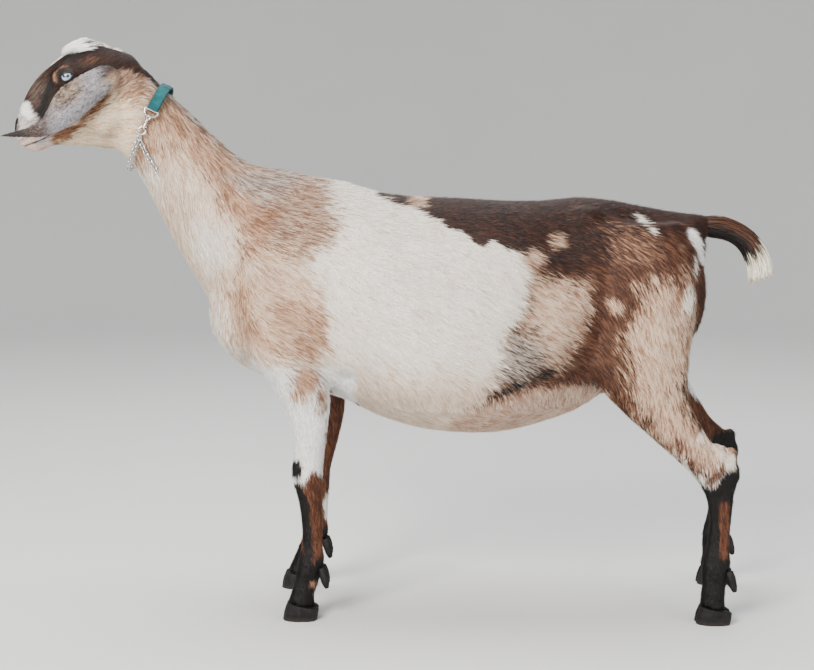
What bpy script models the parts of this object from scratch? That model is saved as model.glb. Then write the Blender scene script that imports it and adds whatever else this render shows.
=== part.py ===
"""Still, life-size model of a standing mini nubian doe with a show collar.

Metres, +Z up. The head points along -X and the animal's left side faces -Y.
The tables below have the floor at FLOOR, and at the end the whole is raised to
stand at z = 0. The flesh is modelled whole, smoothed, and then parted into
head, neck, torso, tail and legs with thin cuts. Ears, eyes, hooves, dewclaws
and the collar are pieces of their own.
"""

import math
import random
from typing import NamedTuple

import bmesh
import bpy
import numpy as np
from mathutils import Matrix, Vector
from mathutils.bvhtree import BVHTree
from mathutils.geometry import interpolate_bezier

FLOOR = -0.010
GAP = 0.0003
VOXEL = 0.0034
SIDES = (("left", -1.0), ("right", 1.0))

# Triangles that each stretch of flesh is brought down to before its cuts.
HEAD_TRIANGLES = 2400
NECK_TRIANGLES = 480
BODY_TRIANGLES = 3900
TAIL_TRIANGLES = 300
TAIL_SEED = 11
LOCK_SLIVER = 0.000001

# Planes that part the flesh, each through two points of the outline in side view.
NAPE, THROAT = (-0.372, 0.848), (-0.407, 0.700)
NECK_CREST, NECK_FRONT = (-0.262, 0.748), (-0.296, 0.490)
DOCK_TOP, DOCK_UNDER = (0.492, 0.634), (0.524, 0.584)


class Slice(NamedTuple):
    """Upright slice of the trunk at one place along it."""

    x: float
    top: float
    bottom: float
    half_width: float
    widest: float
    roof: float
    keel: float


TRUNK = (
    Slice(-0.285, 0.530, 0.440, 0.036, 0.50, 2.0, 2.0),
    Slice(-0.262, 0.622, 0.407, 0.068, 0.48, 2.0, 2.0),
    Slice(-0.232, 0.690, 0.379, 0.088, 0.46, 1.9, 1.9),
    Slice(-0.190, 0.702, 0.360, 0.104, 0.45, 1.8, 1.9),
    Slice(-0.135, 0.693, 0.347, 0.117, 0.44, 1.75, 1.9),
    Slice(-0.075, 0.683, 0.331, 0.135, 0.42, 1.8, 2.0),
    Slice(-0.010, 0.663, 0.302, 0.155, 0.40, 1.9, 2.2),
    Slice(0.055, 0.657, 0.284, 0.168, 0.39, 2.0, 2.3),
    Slice(0.120, 0.654, 0.278, 0.173, 0.39, 2.1, 2.4),
    Slice(0.185, 0.650, 0.279, 0.168, 0.40, 2.2, 2.3),
    Slice(0.245, 0.650, 0.292, 0.152, 0.42, 2.3, 2.2),
    Slice(0.300, 0.655, 0.309, 0.128, 0.46, 2.3, 2.0),
    Slice(0.345, 0.653, 0.336, 0.112, 0.52, 2.3, 2.0),
    Slice(0.400, 0.643, 0.366, 0.100, 0.58, 2.2, 2.0),
    Slice(0.450, 0.634, 0.405, 0.083, 0.62, 2.2, 2.0),
    Slice(0.487, 0.628, 0.466, 0.064, 0.65, 2.1, 2.0),
    Slice(0.506, 0.617, 0.525, 0.044, 0.60, 2.1, 2.0),
)


class NeckSlice(NamedTuple):
    """Slice of the neck, from a point of its crest to a point of its underside."""

    crest_x: float
    crest_z: float
    under_x: float
    under_z: float
    half_width: float
    roof: float
    keel: float


NECK = (
    NeckSlice(-0.425, 0.880, -0.455, 0.752, 0.034, 2.0, 2.0),
    NeckSlice(-0.388, 0.861, -0.417, 0.718, 0.041, 1.9, 2.1),
    NeckSlice(-0.350, 0.826, -0.388, 0.676, 0.045, 1.8, 2.1),
    NeckSlice(-0.312, 0.789, -0.364, 0.628, 0.050, 1.8, 2.1),
    NeckSlice(-0.272, 0.751, -0.335, 0.572, 0.059, 1.8, 2.0),
    NeckSlice(-0.230, 0.716, -0.300, 0.512, 0.074, 1.8, 2.0),
    NeckSlice(-0.180, 0.700, -0.262, 0.450, 0.088, 1.8, 2.0),
)


class LegSlice(NamedTuple):
    """Level slice of a leg: its middle, half its fore and aft length, half its width."""

    x: float
    y: float
    z: float
    half_length: float
    half_width: float


FORE_LEG = (
    LegSlice(-0.163, 0.052, 0.640, 0.046, 0.014),
    LegSlice(-0.170, 0.068, 0.560, 0.064, 0.032),
    LegSlice(-0.168, 0.077, 0.480, 0.072, 0.037),
    LegSlice(-0.157, 0.081, 0.415, 0.062, 0.036),
    LegSlice(-0.134, 0.084, 0.360, 0.047, 0.031),
    LegSlice(-0.124, 0.086, 0.320, 0.036, 0.0265),
    LegSlice(-0.121, 0.088, 0.278, 0.0275, 0.0225),
    LegSlice(-0.124, 0.089, 0.244, 0.0255, 0.0215),
    LegSlice(-0.125, 0.090, 0.218, 0.0252, 0.0215),
    LegSlice(-0.121, 0.091, 0.184, 0.0200, 0.0170),
    LegSlice(-0.118, 0.092, 0.146, 0.0172, 0.0142),
    LegSlice(-0.118, 0.093, 0.106, 0.0178, 0.0152),
    LegSlice(-0.120, 0.094, 0.078, 0.0218, 0.0190),
    LegSlice(-0.127, 0.094, 0.053, 0.0195, 0.0175),
    LegSlice(-0.134, 0.094, 0.029, 0.0195, 0.0195),
    LegSlice(-0.138, 0.094, 0.000, 0.0250, 0.0250),
)
HIND_LEG = (
    LegSlice(0.392, 0.062, 0.620, 0.072, 0.024),
    LegSlice(0.400, 0.078, 0.545, 0.086, 0.044),
    LegSlice(0.401, 0.088, 0.455, 0.080, 0.046),
    LegSlice(0.398, 0.096, 0.375, 0.076, 0.036),
    LegSlice(0.426, 0.102, 0.322, 0.058, 0.0275),
    LegSlice(0.4615, 0.106, 0.283, 0.049, 0.0230),
    LegSlice(0.494, 0.109, 0.255, 0.050, 0.0208),
    LegSlice(0.5135, 0.111, 0.230, 0.0415, 0.0202),
    LegSlice(0.5205, 0.112, 0.200, 0.0255, 0.0172),
    LegSlice(0.523, 0.113, 0.165, 0.0190, 0.0148),
    LegSlice(0.520, 0.114, 0.108, 0.0192, 0.0155),
    LegSlice(0.518, 0.115, 0.079, 0.0232, 0.0190),
    LegSlice(0.515, 0.116, 0.052, 0.0198, 0.0172),
    LegSlice(0.513, 0.116, 0.027, 0.0192, 0.0192),
    LegSlice(0.513, 0.116, 0.000, 0.0238, 0.0240),
)


class Step(NamedTuple):
    """How far a leg stands back from its table's place, and above it, at one height."""

    z: float
    back: float
    up: float


# The left legs stand as their tables say.
STEPS = {
    ("fore", "right"): (Step(0.000, -0.016, 0.0), Step(0.050, -0.010, 0.0), Step(0.080, -0.003, 0.0),
                        Step(0.150, 0.001, 0.0), Step(0.200, 0.005, 0.0), Step(0.245, 0.016, 0.0),
                        Step(0.290, 0.020, 0.0), Step(0.370, 0.017, 0.0), Step(0.500, 0.0, 0.0)),
    ("hind", "right"): (Step(0.000, 0.043, 0.0), Step(0.120, 0.043, 0.0), Step(0.200, 0.043, -0.008),
                        Step(0.260, 0.043, -0.010), Step(0.320, 0.044, -0.009), Step(0.365, 0.028, -0.005),
                        Step(0.430, 0.012, 0.0), Step(0.540, 0.0, 0.0)),
}

# The head's own frame: u along the face, v to the animal's left, w up through the forehead.
HEAD_ORIGIN = Vector((-0.4232, 0.0, 0.8452))
HEAD_YAW = math.radians(15.0)
HEAD_DROP = math.radians(30.0)


class HeadSlice(NamedTuple):
    """Slice across the head at u: highest and lowest point, half width, widest level, powers."""

    u: float
    top: float
    bottom: float
    half_width: float
    level: float
    roof: float
    keel: float


HEAD = (
    HeadSlice(-0.034, 0.020, -0.060, 0.032, -0.005, 2.0, 2.0),
    HeadSlice(-0.012, 0.044, -0.076, 0.038, 0.010, 2.1, 2.0),
    HeadSlice(0.014, 0.063, -0.102, 0.041, 0.016, 2.2, 1.8),
    HeadSlice(0.040, 0.071, -0.112, 0.042, 0.020, 2.3, 1.7),
    HeadSlice(0.066, 0.0725, -0.097, 0.041, 0.026, 2.3, 1.7),
    HeadSlice(0.090, 0.0675, -0.077, 0.038, 0.022, 2.2, 1.8),
    HeadSlice(0.114, 0.0615, -0.062, 0.033, 0.014, 2.2, 1.8),
    HeadSlice(0.136, 0.0515, -0.048, 0.029, 0.007, 2.2, 1.9),
    HeadSlice(0.156, 0.0380, -0.040, 0.027, 0.001, 2.2, 2.0),
    HeadSlice(0.173, 0.0250, -0.035, 0.025, -0.004, 2.2, 2.1),
    HeadSlice(0.185, 0.0120, -0.027, 0.019, -0.007, 2.1, 2.1),
    HeadSlice(0.191, -0.0020, -0.018, 0.009, -0.010, 2.0, 2.0),
)

EYE_RADIUS = 0.0140
EYE_SURFACE = (0.077, 0.0480, 0.041)
EYE_AXIS = Vector((0.27, 0.95, 0.14)).normalized()
LID_THICKNESS = 0.0017
LID_OPENING = (0.0112, 0.0064)
LID_TILT = math.radians(9.0)
NOSTRIL = (0.0045, 0.0030, 0.0082)
MOUTH_PATH = ((0.1895, 0.0, -0.0195), (0.183, 0.5, -0.0200), (0.166, 0.8, -0.0235), (0.148, 1.0, -0.0255),
              (0.133, 1.0, -0.0215))
MOUTH_DEPTH = 0.0016


class EarSlice(NamedTuple):
    """Slice across an ear: middle point in the head's frame, half width, cup depth, thickness."""

    u: float
    v: float
    w: float
    half_width: float
    cup: float
    thickness: float


LEFT_EAR = (
    EarSlice(0.004, 0.028, 0.012, 0.0150, 0.0060, 0.0080),
    EarSlice(0.018, 0.044, 0.010, 0.0200, 0.0085, 0.0062),
    EarSlice(0.038, 0.0575, 0.009, 0.0225, 0.0100, 0.0048),
    EarSlice(0.064, 0.0645, 0.008, 0.0245, 0.0105, 0.0042),
    EarSlice(0.090, 0.0640, 0.004, 0.0268, 0.0100, 0.0038),
    EarSlice(0.112, 0.0605, -0.004, 0.0235, 0.0080, 0.0034),
    EarSlice(0.134, 0.0575, -0.0095, 0.0165, 0.0056, 0.0030),
    EarSlice(0.156, 0.0560, -0.0085, 0.0110, 0.0038, 0.0026),
    EarSlice(0.180, 0.0545, 0.0000, 0.0062, 0.0020, 0.0022),
    EarSlice(0.200, 0.0530, 0.0085, 0.0030, 0.0008, 0.0018),
    EarSlice(0.209, 0.0525, 0.0125, 0.0012, 0.0002, 0.0014),
)
# The right ear hangs a little more and ends behind the muzzle.
RIGHT_EAR = (
    EarSlice(0.004, 0.028, 0.012, 0.0150, 0.0060, 0.0080),
    EarSlice(0.017, 0.045, 0.008, 0.0200, 0.0085, 0.0062),
    EarSlice(0.033, 0.0600, 0.002, 0.0225, 0.0100, 0.0048),
    EarSlice(0.053, 0.0720, -0.007, 0.0245, 0.0105, 0.0042),
    EarSlice(0.075, 0.0770, -0.017, 0.0262, 0.0100, 0.0038),
    EarSlice(0.096, 0.0760, -0.026, 0.0230, 0.0080, 0.0034),
    EarSlice(0.116, 0.0710, -0.031, 0.0165, 0.0056, 0.0030),
    EarSlice(0.136, 0.0640, -0.031, 0.0110, 0.0038, 0.0026),
    EarSlice(0.155, 0.0570, -0.025, 0.0062, 0.0020, 0.0022),
    EarSlice(0.169, 0.0520, -0.017, 0.0030, 0.0008, 0.0018),
    EarSlice(0.175, 0.0500, -0.012, 0.0012, 0.0002, 0.0014),
)
EAR_ARC_POINTS = 6


class TailSlice(NamedTuple):
    """Slice across the tail: middle point, half height and half width."""

    x: float
    z: float
    half_height: float
    half_width: float


TAIL = (
    TailSlice(0.430, 0.603, 0.018, 0.022),
    TailSlice(0.478, 0.609, 0.0205, 0.024),
    TailSlice(0.515, 0.608, 0.0205, 0.025),
    TailSlice(0.549, 0.602, 0.0185, 0.026),
    TailSlice(0.575, 0.587, 0.0185, 0.026),
    TailSlice(0.5905, 0.566, 0.0195, 0.024),
    TailSlice(0.599, 0.543, 0.0205, 0.020),
    TailSlice(0.604, 0.515, 0.0210, 0.014),
)
# The table above is the tail out to its hair. Its core keeps this share of that size where hair covers it,
# from the first place to the last one along the tail.
TAIL_CORE = 0.72
TAIL_HAIR_START, TAIL_CORE_END = 0.36, 0.85


class LockTier(NamedTuple):
    """Ring of locks round the tail: root and end along it, how many, half width and share of the size."""

    root: float
    tip: float
    count: int
    half_width: float
    share: float


TAIL_TIERS = (
    LockTier(0.42, 0.72, 5, 0.0130, 0.95),
    LockTier(0.53, 0.83, 5, 0.0130, 0.95),
    LockTier(0.64, 0.94, 5, 0.0125, 0.95),
    LockTier(0.74, 1.00, 6, 0.0115, 0.95),
    LockTier(0.77, 1.00, 3, 0.0120, 0.45),
)
TAIL_LOCK_THICKNESS = 0.0040


class PollLock(NamedTuple):
    """Lock between the ears, in the head's frame: its root, its length and its height over the skull."""

    u: float
    v: float
    length: float
    rise: float


POLL_LOCKS = (
    PollLock(0.058, -0.0075, 0.036, 0.0070), PollLock(0.058, 0.0070, 0.036, 0.0065),
    PollLock(0.044, -0.0155, 0.034, 0.0070), PollLock(0.045, 0.0000, 0.037, 0.0090),
    PollLock(0.044, 0.0155, 0.034, 0.0072), PollLock(0.030, -0.0085, 0.033, 0.0085),
    PollLock(0.030, 0.0080, 0.034, 0.0090), PollLock(0.014, -0.0125, 0.028, 0.0080),
    PollLock(0.014, 0.0125, 0.028, 0.0076),
)
POLL_LOCK_HALF_WIDTH, POLL_LOCK_THICKNESS = 0.0095, 0.0048

# The crown of the hooves slopes from front to heel.
CROWN_FRONT, CROWN_HEEL = 0.0300, 0.0195
HOOF_LENGTH, HOOF_WIDTH = 0.055, 0.0235
HOOF_CLEFT = 0.0016
DEWCLAW_LENGTH, DEWCLAW_RADIUS = 0.028, 0.0072
DEWCLAW_HEIGHT, DEWCLAW_SPREAD = 0.067, 0.0110

# The strap lies over the crest of the neck, between two rings that the chain joins under the throat.
COLLAR_CREST, COLLAR_THROAT = (-0.350, 0.826), (-0.408, 0.706)
STRAP_WIDTH, STRAP_THICKNESS = 0.018, 0.0030
STRAP_CLEARANCE = 0.0014
STRAP_END = math.radians(54.0)
STRAP_FOLD = 0.040
RING_RADIUS, RING_WIRE = 0.0112, 0.0015
RING_SET = 0.0032
SNAP_START, SNAP_END = math.radians(74.5), math.radians(104.0)
SNAP_RADIUS = 0.0024
CHAIN_START, CHAIN_END = math.radians(111.0), math.radians(287.0)
CHAIN_WIDTH, CHAIN_THICKNESS, LINK_PITCH = 0.0072, 0.0034, 0.0078
LOOSE_START, LOOSE_END = (-0.3865, 0.7460), (-0.3611, 0.6977)
SNAP_HOOK = 0.0058

COLOURS = {
    "coat": (0.62, 0.50, 0.40, 1.0),
    "ear": (0.52, 0.48, 0.47, 1.0),
    "hoof": (0.05, 0.045, 0.045, 1.0),
    "eye": (0.55, 0.66, 0.76, 1.0),
    "strap": (0.01, 0.28, 0.29, 1.0),
    "metal": (0.72, 0.72, 0.74, 1.0),
}
ROUGHNESS = {"coat": 0.75, "ear": 0.75, "hoof": 0.5, "eye": 0.08, "strap": 0.45, "metal": 0.2}


def head_frame():
    """Return the head's matrix: columns along the face, to its left and up, then its origin."""
    yaw_c, yaw_s = math.cos(HEAD_YAW), math.sin(HEAD_YAW)
    drop_c, drop_s = math.cos(HEAD_DROP), math.sin(HEAD_DROP)
    face = Vector((-yaw_c * drop_c, -yaw_s * drop_c, -drop_s))
    left = Vector((yaw_s, -yaw_c, 0.0))
    up = face.cross(left)
    matrix = Matrix((face, left, up)).transposed().to_4x4()
    matrix.translation = HEAD_ORIGIN
    return matrix


HEAD_FRAME = head_frame()


def on_head(u, v, w):
    """Turn a point of the head's frame into the model's."""
    return HEAD_FRAME @ Vector((u, v, w))


def material(name):
    """Make one plain finish from its colour and roughness."""
    made = bpy.data.materials.new(name)
    made.use_nodes = True
    shader = made.node_tree.nodes["Principled BSDF"]
    shader.inputs["Base Color"].default_value = COLOURS[name]
    shader.inputs["Roughness"].default_value = ROUGHNESS[name]
    shader.inputs["Metallic"].default_value = 1.0 if name == "metal" else 0.0
    return made


def smooth_rows(rows, count):
    """Read count rows off the smooth curve through a table's rows."""
    table = np.array(rows, dtype=float)
    steps = np.linalg.norm(np.diff(table[:, :3], axis=0), axis=1)
    knots = np.concatenate(([0.0], np.cumsum(steps)))
    slopes = np.gradient(table, knots, axis=0)
    wanted = np.linspace(0.0, knots[-1], count)
    index = np.clip(np.searchsorted(knots, wanted, side="right") - 1, 0, len(knots) - 2)
    span = (knots[index + 1] - knots[index])[:, None]
    f = (wanted - knots[index])[:, None] / span
    start, end = table[index], table[index + 1]
    leave, arrive = slopes[index] * span, slopes[index + 1] * span
    return (start * (2 * f**3 - 3 * f**2 + 1) + leave * (f**3 - 2 * f**2 + f)
            + end * (3 * f**2 - 2 * f**3) + arrive * (f**3 - f**2))


def section(centre, side, rise, fall, roof=2.0, keel=2.0, count=28):
    """Make one closed ring whose halves swell from the centre by rise and by fall."""
    angle = np.arange(count) * 2.0 * math.pi / count
    cosine, sine = np.cos(angle), np.sin(angle)
    power = 2.0 / np.where(sine > 0.0, roof, keel)
    across = np.sign(cosine) * np.abs(cosine) ** power
    height = np.abs(sine) ** power
    vertical = np.where((sine > 0.0)[:, None], np.outer(height, rise), np.outer(height, fall))
    return np.asarray(centre) + np.outer(across, side) + vertical


def mesh_object(name, vertices, faces):
    """Make an object from points and faces, its faces pointing out."""
    mesh = bpy.data.meshes.new(name)
    mesh.from_pydata([tuple(point) for point in vertices], [], faces)
    built = bmesh.new()
    built.from_mesh(mesh)
    bmesh.ops.recalc_face_normals(built, faces=built.faces)
    built.to_mesh(mesh)
    built.free()
    thing = bpy.data.objects.new(name, mesh)
    bpy.context.scene.collection.objects.link(thing)
    return thing


def loft(name, rings):
    """Bridge a row of rings and close both ends with a fan."""
    rings = [np.asarray(ring) for ring in rings]
    count = len(rings[0])
    points = np.vstack(rings + [rings[0].mean(axis=0)[None], rings[-1].mean(axis=0)[None]])
    faces = []
    for level in range(len(rings) - 1):
        low, high = level * count, (level + 1) * count
        for k in range(count):
            after = (k + 1) % count
            faces.append((low + k, low + after, high + after, high + k))
    first, last = len(rings) * count, len(rings) * count + 1
    final = (len(rings) - 1) * count
    for k in range(count):
        after = (k + 1) % count
        faces.append((first, after, k))
        faces.append((last, final + k, final + after))
    return mesh_object(name, points, faces)


def ellipsoid(name, centre, radii, turn=None, detail=3):
    """Make an ellipsoid, turned by a matrix about its centre."""
    built = bmesh.new()
    bmesh.ops.create_icosphere(built, subdivisions=detail, radius=1.0)
    spin = (turn or Matrix.Identity(3)).to_4x4()
    place = Matrix.Translation(centre) @ spin @ Matrix.Diagonal((*radii, 1.0))
    bmesh.ops.transform(built, matrix=place, verts=built.verts)
    mesh = bpy.data.meshes.new(name)
    built.to_mesh(mesh)
    built.free()
    thing = bpy.data.objects.new(name, mesh)
    bpy.context.scene.collection.objects.link(thing)
    return thing


def remove(thing):
    """Delete an object and its mesh."""
    mesh = thing.data
    bpy.data.objects.remove(thing)
    bpy.data.meshes.remove(mesh)


def apply_modifiers(thing):
    """Replace an object's mesh by the one that its modifiers make."""
    evaluated = thing.evaluated_get(bpy.context.evaluated_depsgraph_get())
    made = bpy.data.meshes.new_from_object(evaluated)
    made.name = thing.name
    old = thing.data
    thing.modifiers.clear()
    thing.data = made
    bpy.data.meshes.remove(old)


def joined(name, things):
    """Put the meshes of several objects into one object, without fusing them."""
    built = bmesh.new()
    for thing in things:
        copy = thing.data.copy()
        copy.transform(thing.matrix_world)
        built.from_mesh(copy)
        bpy.data.meshes.remove(copy)
        remove(thing)
    mesh = bpy.data.meshes.new(name)
    built.to_mesh(mesh)
    built.free()
    whole = bpy.data.objects.new(name, mesh)
    bpy.context.scene.collection.objects.link(whole)
    return whole


def duplicate(thing, name):
    """Copy an object with a mesh of its own."""
    copy = thing.copy()
    copy.data = thing.data.copy()
    copy.name = name
    bpy.context.scene.collection.objects.link(copy)
    return copy


def boolean(thing, other, operation, solver="EXACT"):
    """Cut or join an object with another one, which is then removed."""
    modifier = thing.modifiers.new("cut", "BOOLEAN")
    modifier.operation = operation
    modifier.solver = solver
    modifier.object = other
    apply_modifiers(thing)
    remove(other)


def fuse(thing, pieces):
    """Join many closed pieces to an object with one union."""
    group = bpy.data.collections.new("pieces")
    bpy.context.scene.collection.children.link(group)
    for piece in pieces:
        group.objects.link(piece)
    modifier = thing.modifiers.new("union", "BOOLEAN")
    modifier.operation = "UNION"
    modifier.solver = "MANIFOLD"
    modifier.operand_type = "COLLECTION"
    modifier.collection = group
    apply_modifiers(thing)
    for piece in pieces:
        remove(piece)
    bpy.data.collections.remove(group)


def tidy(thing, sliver=0.00001):
    """Keep the largest closed surface, without slivers, in triangles."""
    built = bmesh.new()
    built.from_mesh(thing.data)
    bmesh.ops.remove_doubles(built, verts=built.verts, dist=sliver)
    bmesh.ops.dissolve_degenerate(built, edges=built.edges, dist=sliver)
    bmesh.ops.triangulate(built, faces=built.faces)
    left = set(built.verts)
    islands = []
    while left:
        island, front = set(), [left.pop()]
        while front:
            vertex = front.pop()
            island.add(vertex)
            for edge in vertex.link_edges:
                other = edge.other_vert(vertex)
                if other in left:
                    left.discard(other)
                    front.append(other)
        islands.append(island)
    largest = max(islands, key=len)
    scraps = [vertex for island in islands if island is not largest for vertex in island]
    bmesh.ops.delete(built, geom=scraps, context="VERTS")
    built.to_mesh(thing.data)
    built.free()


def plane_through(upper, lower):
    """Return a point and the level normal, towards +X, of a plane seen edge on in side view."""
    along = Vector((lower[0] - upper[0], 0.0, lower[1] - upper[1])).normalized()
    normal = Vector((-along.z, 0.0, along.x))
    return Vector((upper[0], 0.0, upper[1])), normal


def keep_side(thing, point, normal, ahead):
    """Cut an object by a plane and keep the side ahead of it, or behind, half a gap away."""
    sign = 1.0 if ahead else -1.0
    built = bmesh.new()
    built.from_mesh(thing.data)
    shifted = point + normal * (sign * GAP / 2)
    geometry = built.verts[:] + built.edges[:] + built.faces[:]
    bmesh.ops.bisect_plane(built, geom=geometry, plane_co=shifted, plane_no=normal,
                           clear_inner=ahead, clear_outer=not ahead)
    rim = [edge for edge in built.edges if edge.is_boundary]
    bmesh.ops.contextual_create(built, geom=rim)
    bmesh.ops.triangulate(built, faces=[face for face in built.faces if len(face.verts) > 4])
    built.to_mesh(thing.data)
    built.free()


def settle_on(thing, point, normal, ahead):
    """Lay back on its cut plane whatever a later reduction moved off it."""
    sign = 1.0 if ahead else -1.0
    shifted = point + normal * (sign * GAP / 2)
    for vertex in thing.data.vertices:
        height = (vertex.co - shifted).dot(normal) * sign
        if height < GAP:
            vertex.co -= normal * (height * sign)


def decimate(thing, triangles):
    """Bring an object down to about so many triangles."""
    built = bmesh.new()
    built.from_mesh(thing.data)
    bmesh.ops.triangulate(built, faces=built.faces)
    built.to_mesh(thing.data)
    built.free()
    modifier = thing.modifiers.new("reduce", "DECIMATE")
    modifier.ratio = triangles / len(thing.data.polygons)
    apply_modifiers(thing)


def trunk_body():
    """Loft the trunk from chest to buttocks."""
    rings = []
    for x, top, bottom, half_width, widest, roof, keel in smooth_rows(TRUNK, 60):
        level = bottom + (top - bottom) * widest
        rings.append(section((x, 0.0, level), (0.0, half_width, 0.0), (0.0, 0.0, top - level),
                             (0.0, 0.0, bottom - level), roof, keel, 48))
    return loft("trunk", rings)


def neck_body():
    """Loft the neck between its crest and its underside."""
    rings = []
    for crest_x, crest_z, under_x, under_z, half_width, roof, keel in smooth_rows(NECK, 30):
        crest, under = np.array((crest_x, 0.0, crest_z)), np.array((under_x, 0.0, under_z))
        centre = (crest + under) / 2
        rings.append(section(centre, (0.0, half_width, 0.0), crest - centre, under - centre, roof, keel, 36))
    return loft("neck_body", rings)


def head_body():
    """Loft the skull, face and jaws along the head's own axis."""
    rings = []
    for u, top, bottom, half_width, level, roof, keel in smooth_rows(HEAD, 46):
        local = section((u, 0.0, level), (0.0, half_width, 0.0), (0.0, 0.0, top - level),
                        (0.0, 0.0, bottom - level), roof, keel, 36)
        rings.append([on_head(*point) for point in local])
    return loft("head_body", rings)


def head_swellings():
    """Make the brows, cheeks, poll and lips that stand out from the head's plain loft."""
    turn = HEAD_FRAME.to_3x3()
    forms = (
        ("brow", (0.073, 0.030, 0.040), (0.029, 0.0172, 0.0225)),
        ("cheek", (0.052, 0.026, -0.030), (0.040, 0.0200, 0.044)),
        ("face_crest", (0.100, 0.024, 0.004), (0.030, 0.0135, 0.016)),
        ("ear_root", (0.010, 0.028, 0.012), (0.018, 0.0160, 0.021)),
        ("lip", (0.167, 0.011, -0.010), (0.0175, 0.0155, 0.0145)),
        ("chin", (0.161, 0.006, -0.0295), (0.0200, 0.0145, 0.0105)),
        ("nose_wing", (0.164, 0.0110, 0.009), (0.0130, 0.0105, 0.0110)),
    )
    made = []
    for name, (u, v, w), radii in forms:
        for side, sign in SIDES:
            made.append(ellipsoid(f"{name}_{side}", on_head(u, -sign * v, w), radii, turn))
    made.append(ellipsoid("under_the_poll_hair", on_head(0.032, 0.0, 0.0600), (0.034, 0.022, 0.0140), turn))
    return made


def leg_rows(pair):
    """Return the table of a fore or a hind leg."""
    return FORE_LEG if pair == "fore" else HIND_LEG


def stepped(x, z, pair, side):
    """Move a point of a leg's table to where that leg is set."""
    steps = STEPS.get((pair, side))
    if steps is None:
        return x, z
    heights, backs, ups = zip(*steps)
    return x + float(np.interp(z, heights, backs)), z + float(np.interp(z, heights, ups))


def leg_body(pair, side, sign):
    """Loft one leg from inside the body down to the crown of the hooves."""
    rings = []
    for x, y, z, half_length, half_width in smooth_rows(leg_rows(pair), 64):
        at_x, at_z = stepped(x, z, pair, side)
        middle = (at_x, sign * y, at_z)
        rings.append(section(middle, (0.0, half_width, 0.0), (-half_length, 0.0, 0.0),
                             (half_length, 0.0, 0.0), 2.1, 2.0, 24))
    return loft(f"{pair}_{side}_body", rings)


def tail_frames(count):
    """Return the tail's middle points, its upward directions and its half sizes."""
    rows = smooth_rows(TAIL, count)
    middle = np.stack([rows[:, 0], np.zeros(count), rows[:, 1]], axis=1)
    along = np.gradient(middle, axis=0)
    along /= np.linalg.norm(along, axis=1)[:, None]
    upward = np.stack([-along[:, 2], np.zeros(count), along[:, 0]], axis=1)
    return middle, upward, rows[:, 2], rows[:, 3]


def tail_body():
    """Loft the tail's core along its raised and drooping line."""
    count = 40
    middle, upward, half_height, half_width = tail_frames(count)
    rings = []
    for k in range(round(TAIL_CORE_END * (count - 1)) + 1):
        covered = min(max((k / (count - 1) - TAIL_HAIR_START + 0.10) / 0.20, 0.0), 1.0)
        share = 1.0 - (1.0 - TAIL_CORE) * covered
        high, wide = half_height[k] * share, half_width[k] * share
        rings.append(section(middle[k], (0.0, wide, 0.0), upward[k] * high, -upward[k] * high, 2.0, 2.0, 20))
    return loft("tail_body", rings)


def lock(name, spine, across, half_width, thickness):
    """Make one flat lock that tapers along its bending spine: a diamond in section."""
    last = len(spine) - 1
    rings = []
    for k, place in enumerate(spine):
        t = k / last
        along = (spine[min(k + 1, last)] - spine[max(k - 1, 0)]).normalized()
        side = (across[k] - along * across[k].dot(along)).normalized()
        out = side.cross(along)
        wide = half_width * (0.70 + 0.9 * t - 1.42 * t * t)
        thick = thickness / 2 * (1.0 - 0.72 * t * t)
        rings.append([place + side * wide, place + out * thick, place - side * wide, place - out * thick])
    return loft(name, rings)


def tail_locks():
    """Make the locks that overlap in tiers down the tail to its blunt tip."""
    count = 60
    middle, upward, half_height, half_width = tail_frames(count)
    table = np.column_stack((middle, upward, half_height, half_width))
    draw = random.Random(TAIL_SEED)

    def on_tail(place, turn, share):
        """Return a point of the tail at a share of its full size, and the level direction across it."""
        at = [float(np.interp(place * (count - 1), np.arange(count), table[:, column])) for column in range(8)]
        up, left = Vector(at[3:6]), Vector((0.0, -1.0, 0.0))
        rise, spread = math.cos(turn) * at[6], math.sin(turn) * at[7]
        across = left * (math.cos(turn) * at[7]) - up * (math.sin(turn) * at[6])
        return Vector(at[0:3]) + (up * rise + left * spread) * share, across.normalized()

    made = []
    for level, tier in enumerate(TAIL_TIERS):
        for k in range(tier.count):
            turn = 2.0 * math.pi * (k + 0.5 * (level % 2)) / tier.count + draw.uniform(-0.10, 0.10)
            tip = tier.tip - draw.uniform(0.0, 0.03)
            spine, across = [], []
            for step in range(4):
                t = step / 3
                share = tier.share * (0.47 + 0.53 * math.sin(math.pi / 2 * min(t * 1.45, 1.0)))
                point, side = on_tail(tier.root + (tip - tier.root) * t, turn, share)
                spine.append(point)
                across.append(side)
            half = tier.half_width * draw.uniform(0.9, 1.1)
            made.append(lock(f"tail_lock_{level}_{k}", spine, across, half, TAIL_LOCK_THICKNESS))
    return made


def poll_locks(tree):
    """Make the locks that sweep back over the crown of the head."""
    turn = HEAD_FRAME.to_3x3()
    left, up, back = (turn @ Vector(way) for way in ((0.0, 1.0, 0.0), (0.0, 0.0, 1.0), (-1.0, 0.0, 0.0)))
    made = []
    for k, (u, v, length, rise) in enumerate(POLL_LOCKS):
        root = surface_point(tree, (u, v, 0.15), (u, v, 0.0)) - up * POLL_LOCK_THICKNESS
        tip = surface_point(tree, (u - length, v * 1.3, 0.15), (u - length, v * 1.3, 0.0)) + up * 0.0012
        first = root + up * (rise * 1.5) + back * (length * 0.20)
        second = tip + up * (rise * 0.8) - back * (length * 0.30)
        spine = interpolate_bezier(root, first, second, tip, 4)
        made.append(lock(f"poll_lock_{k}", spine, [left] * 4, POLL_LOCK_HALF_WIDTH, POLL_LOCK_THICKNESS))
    return made


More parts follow.
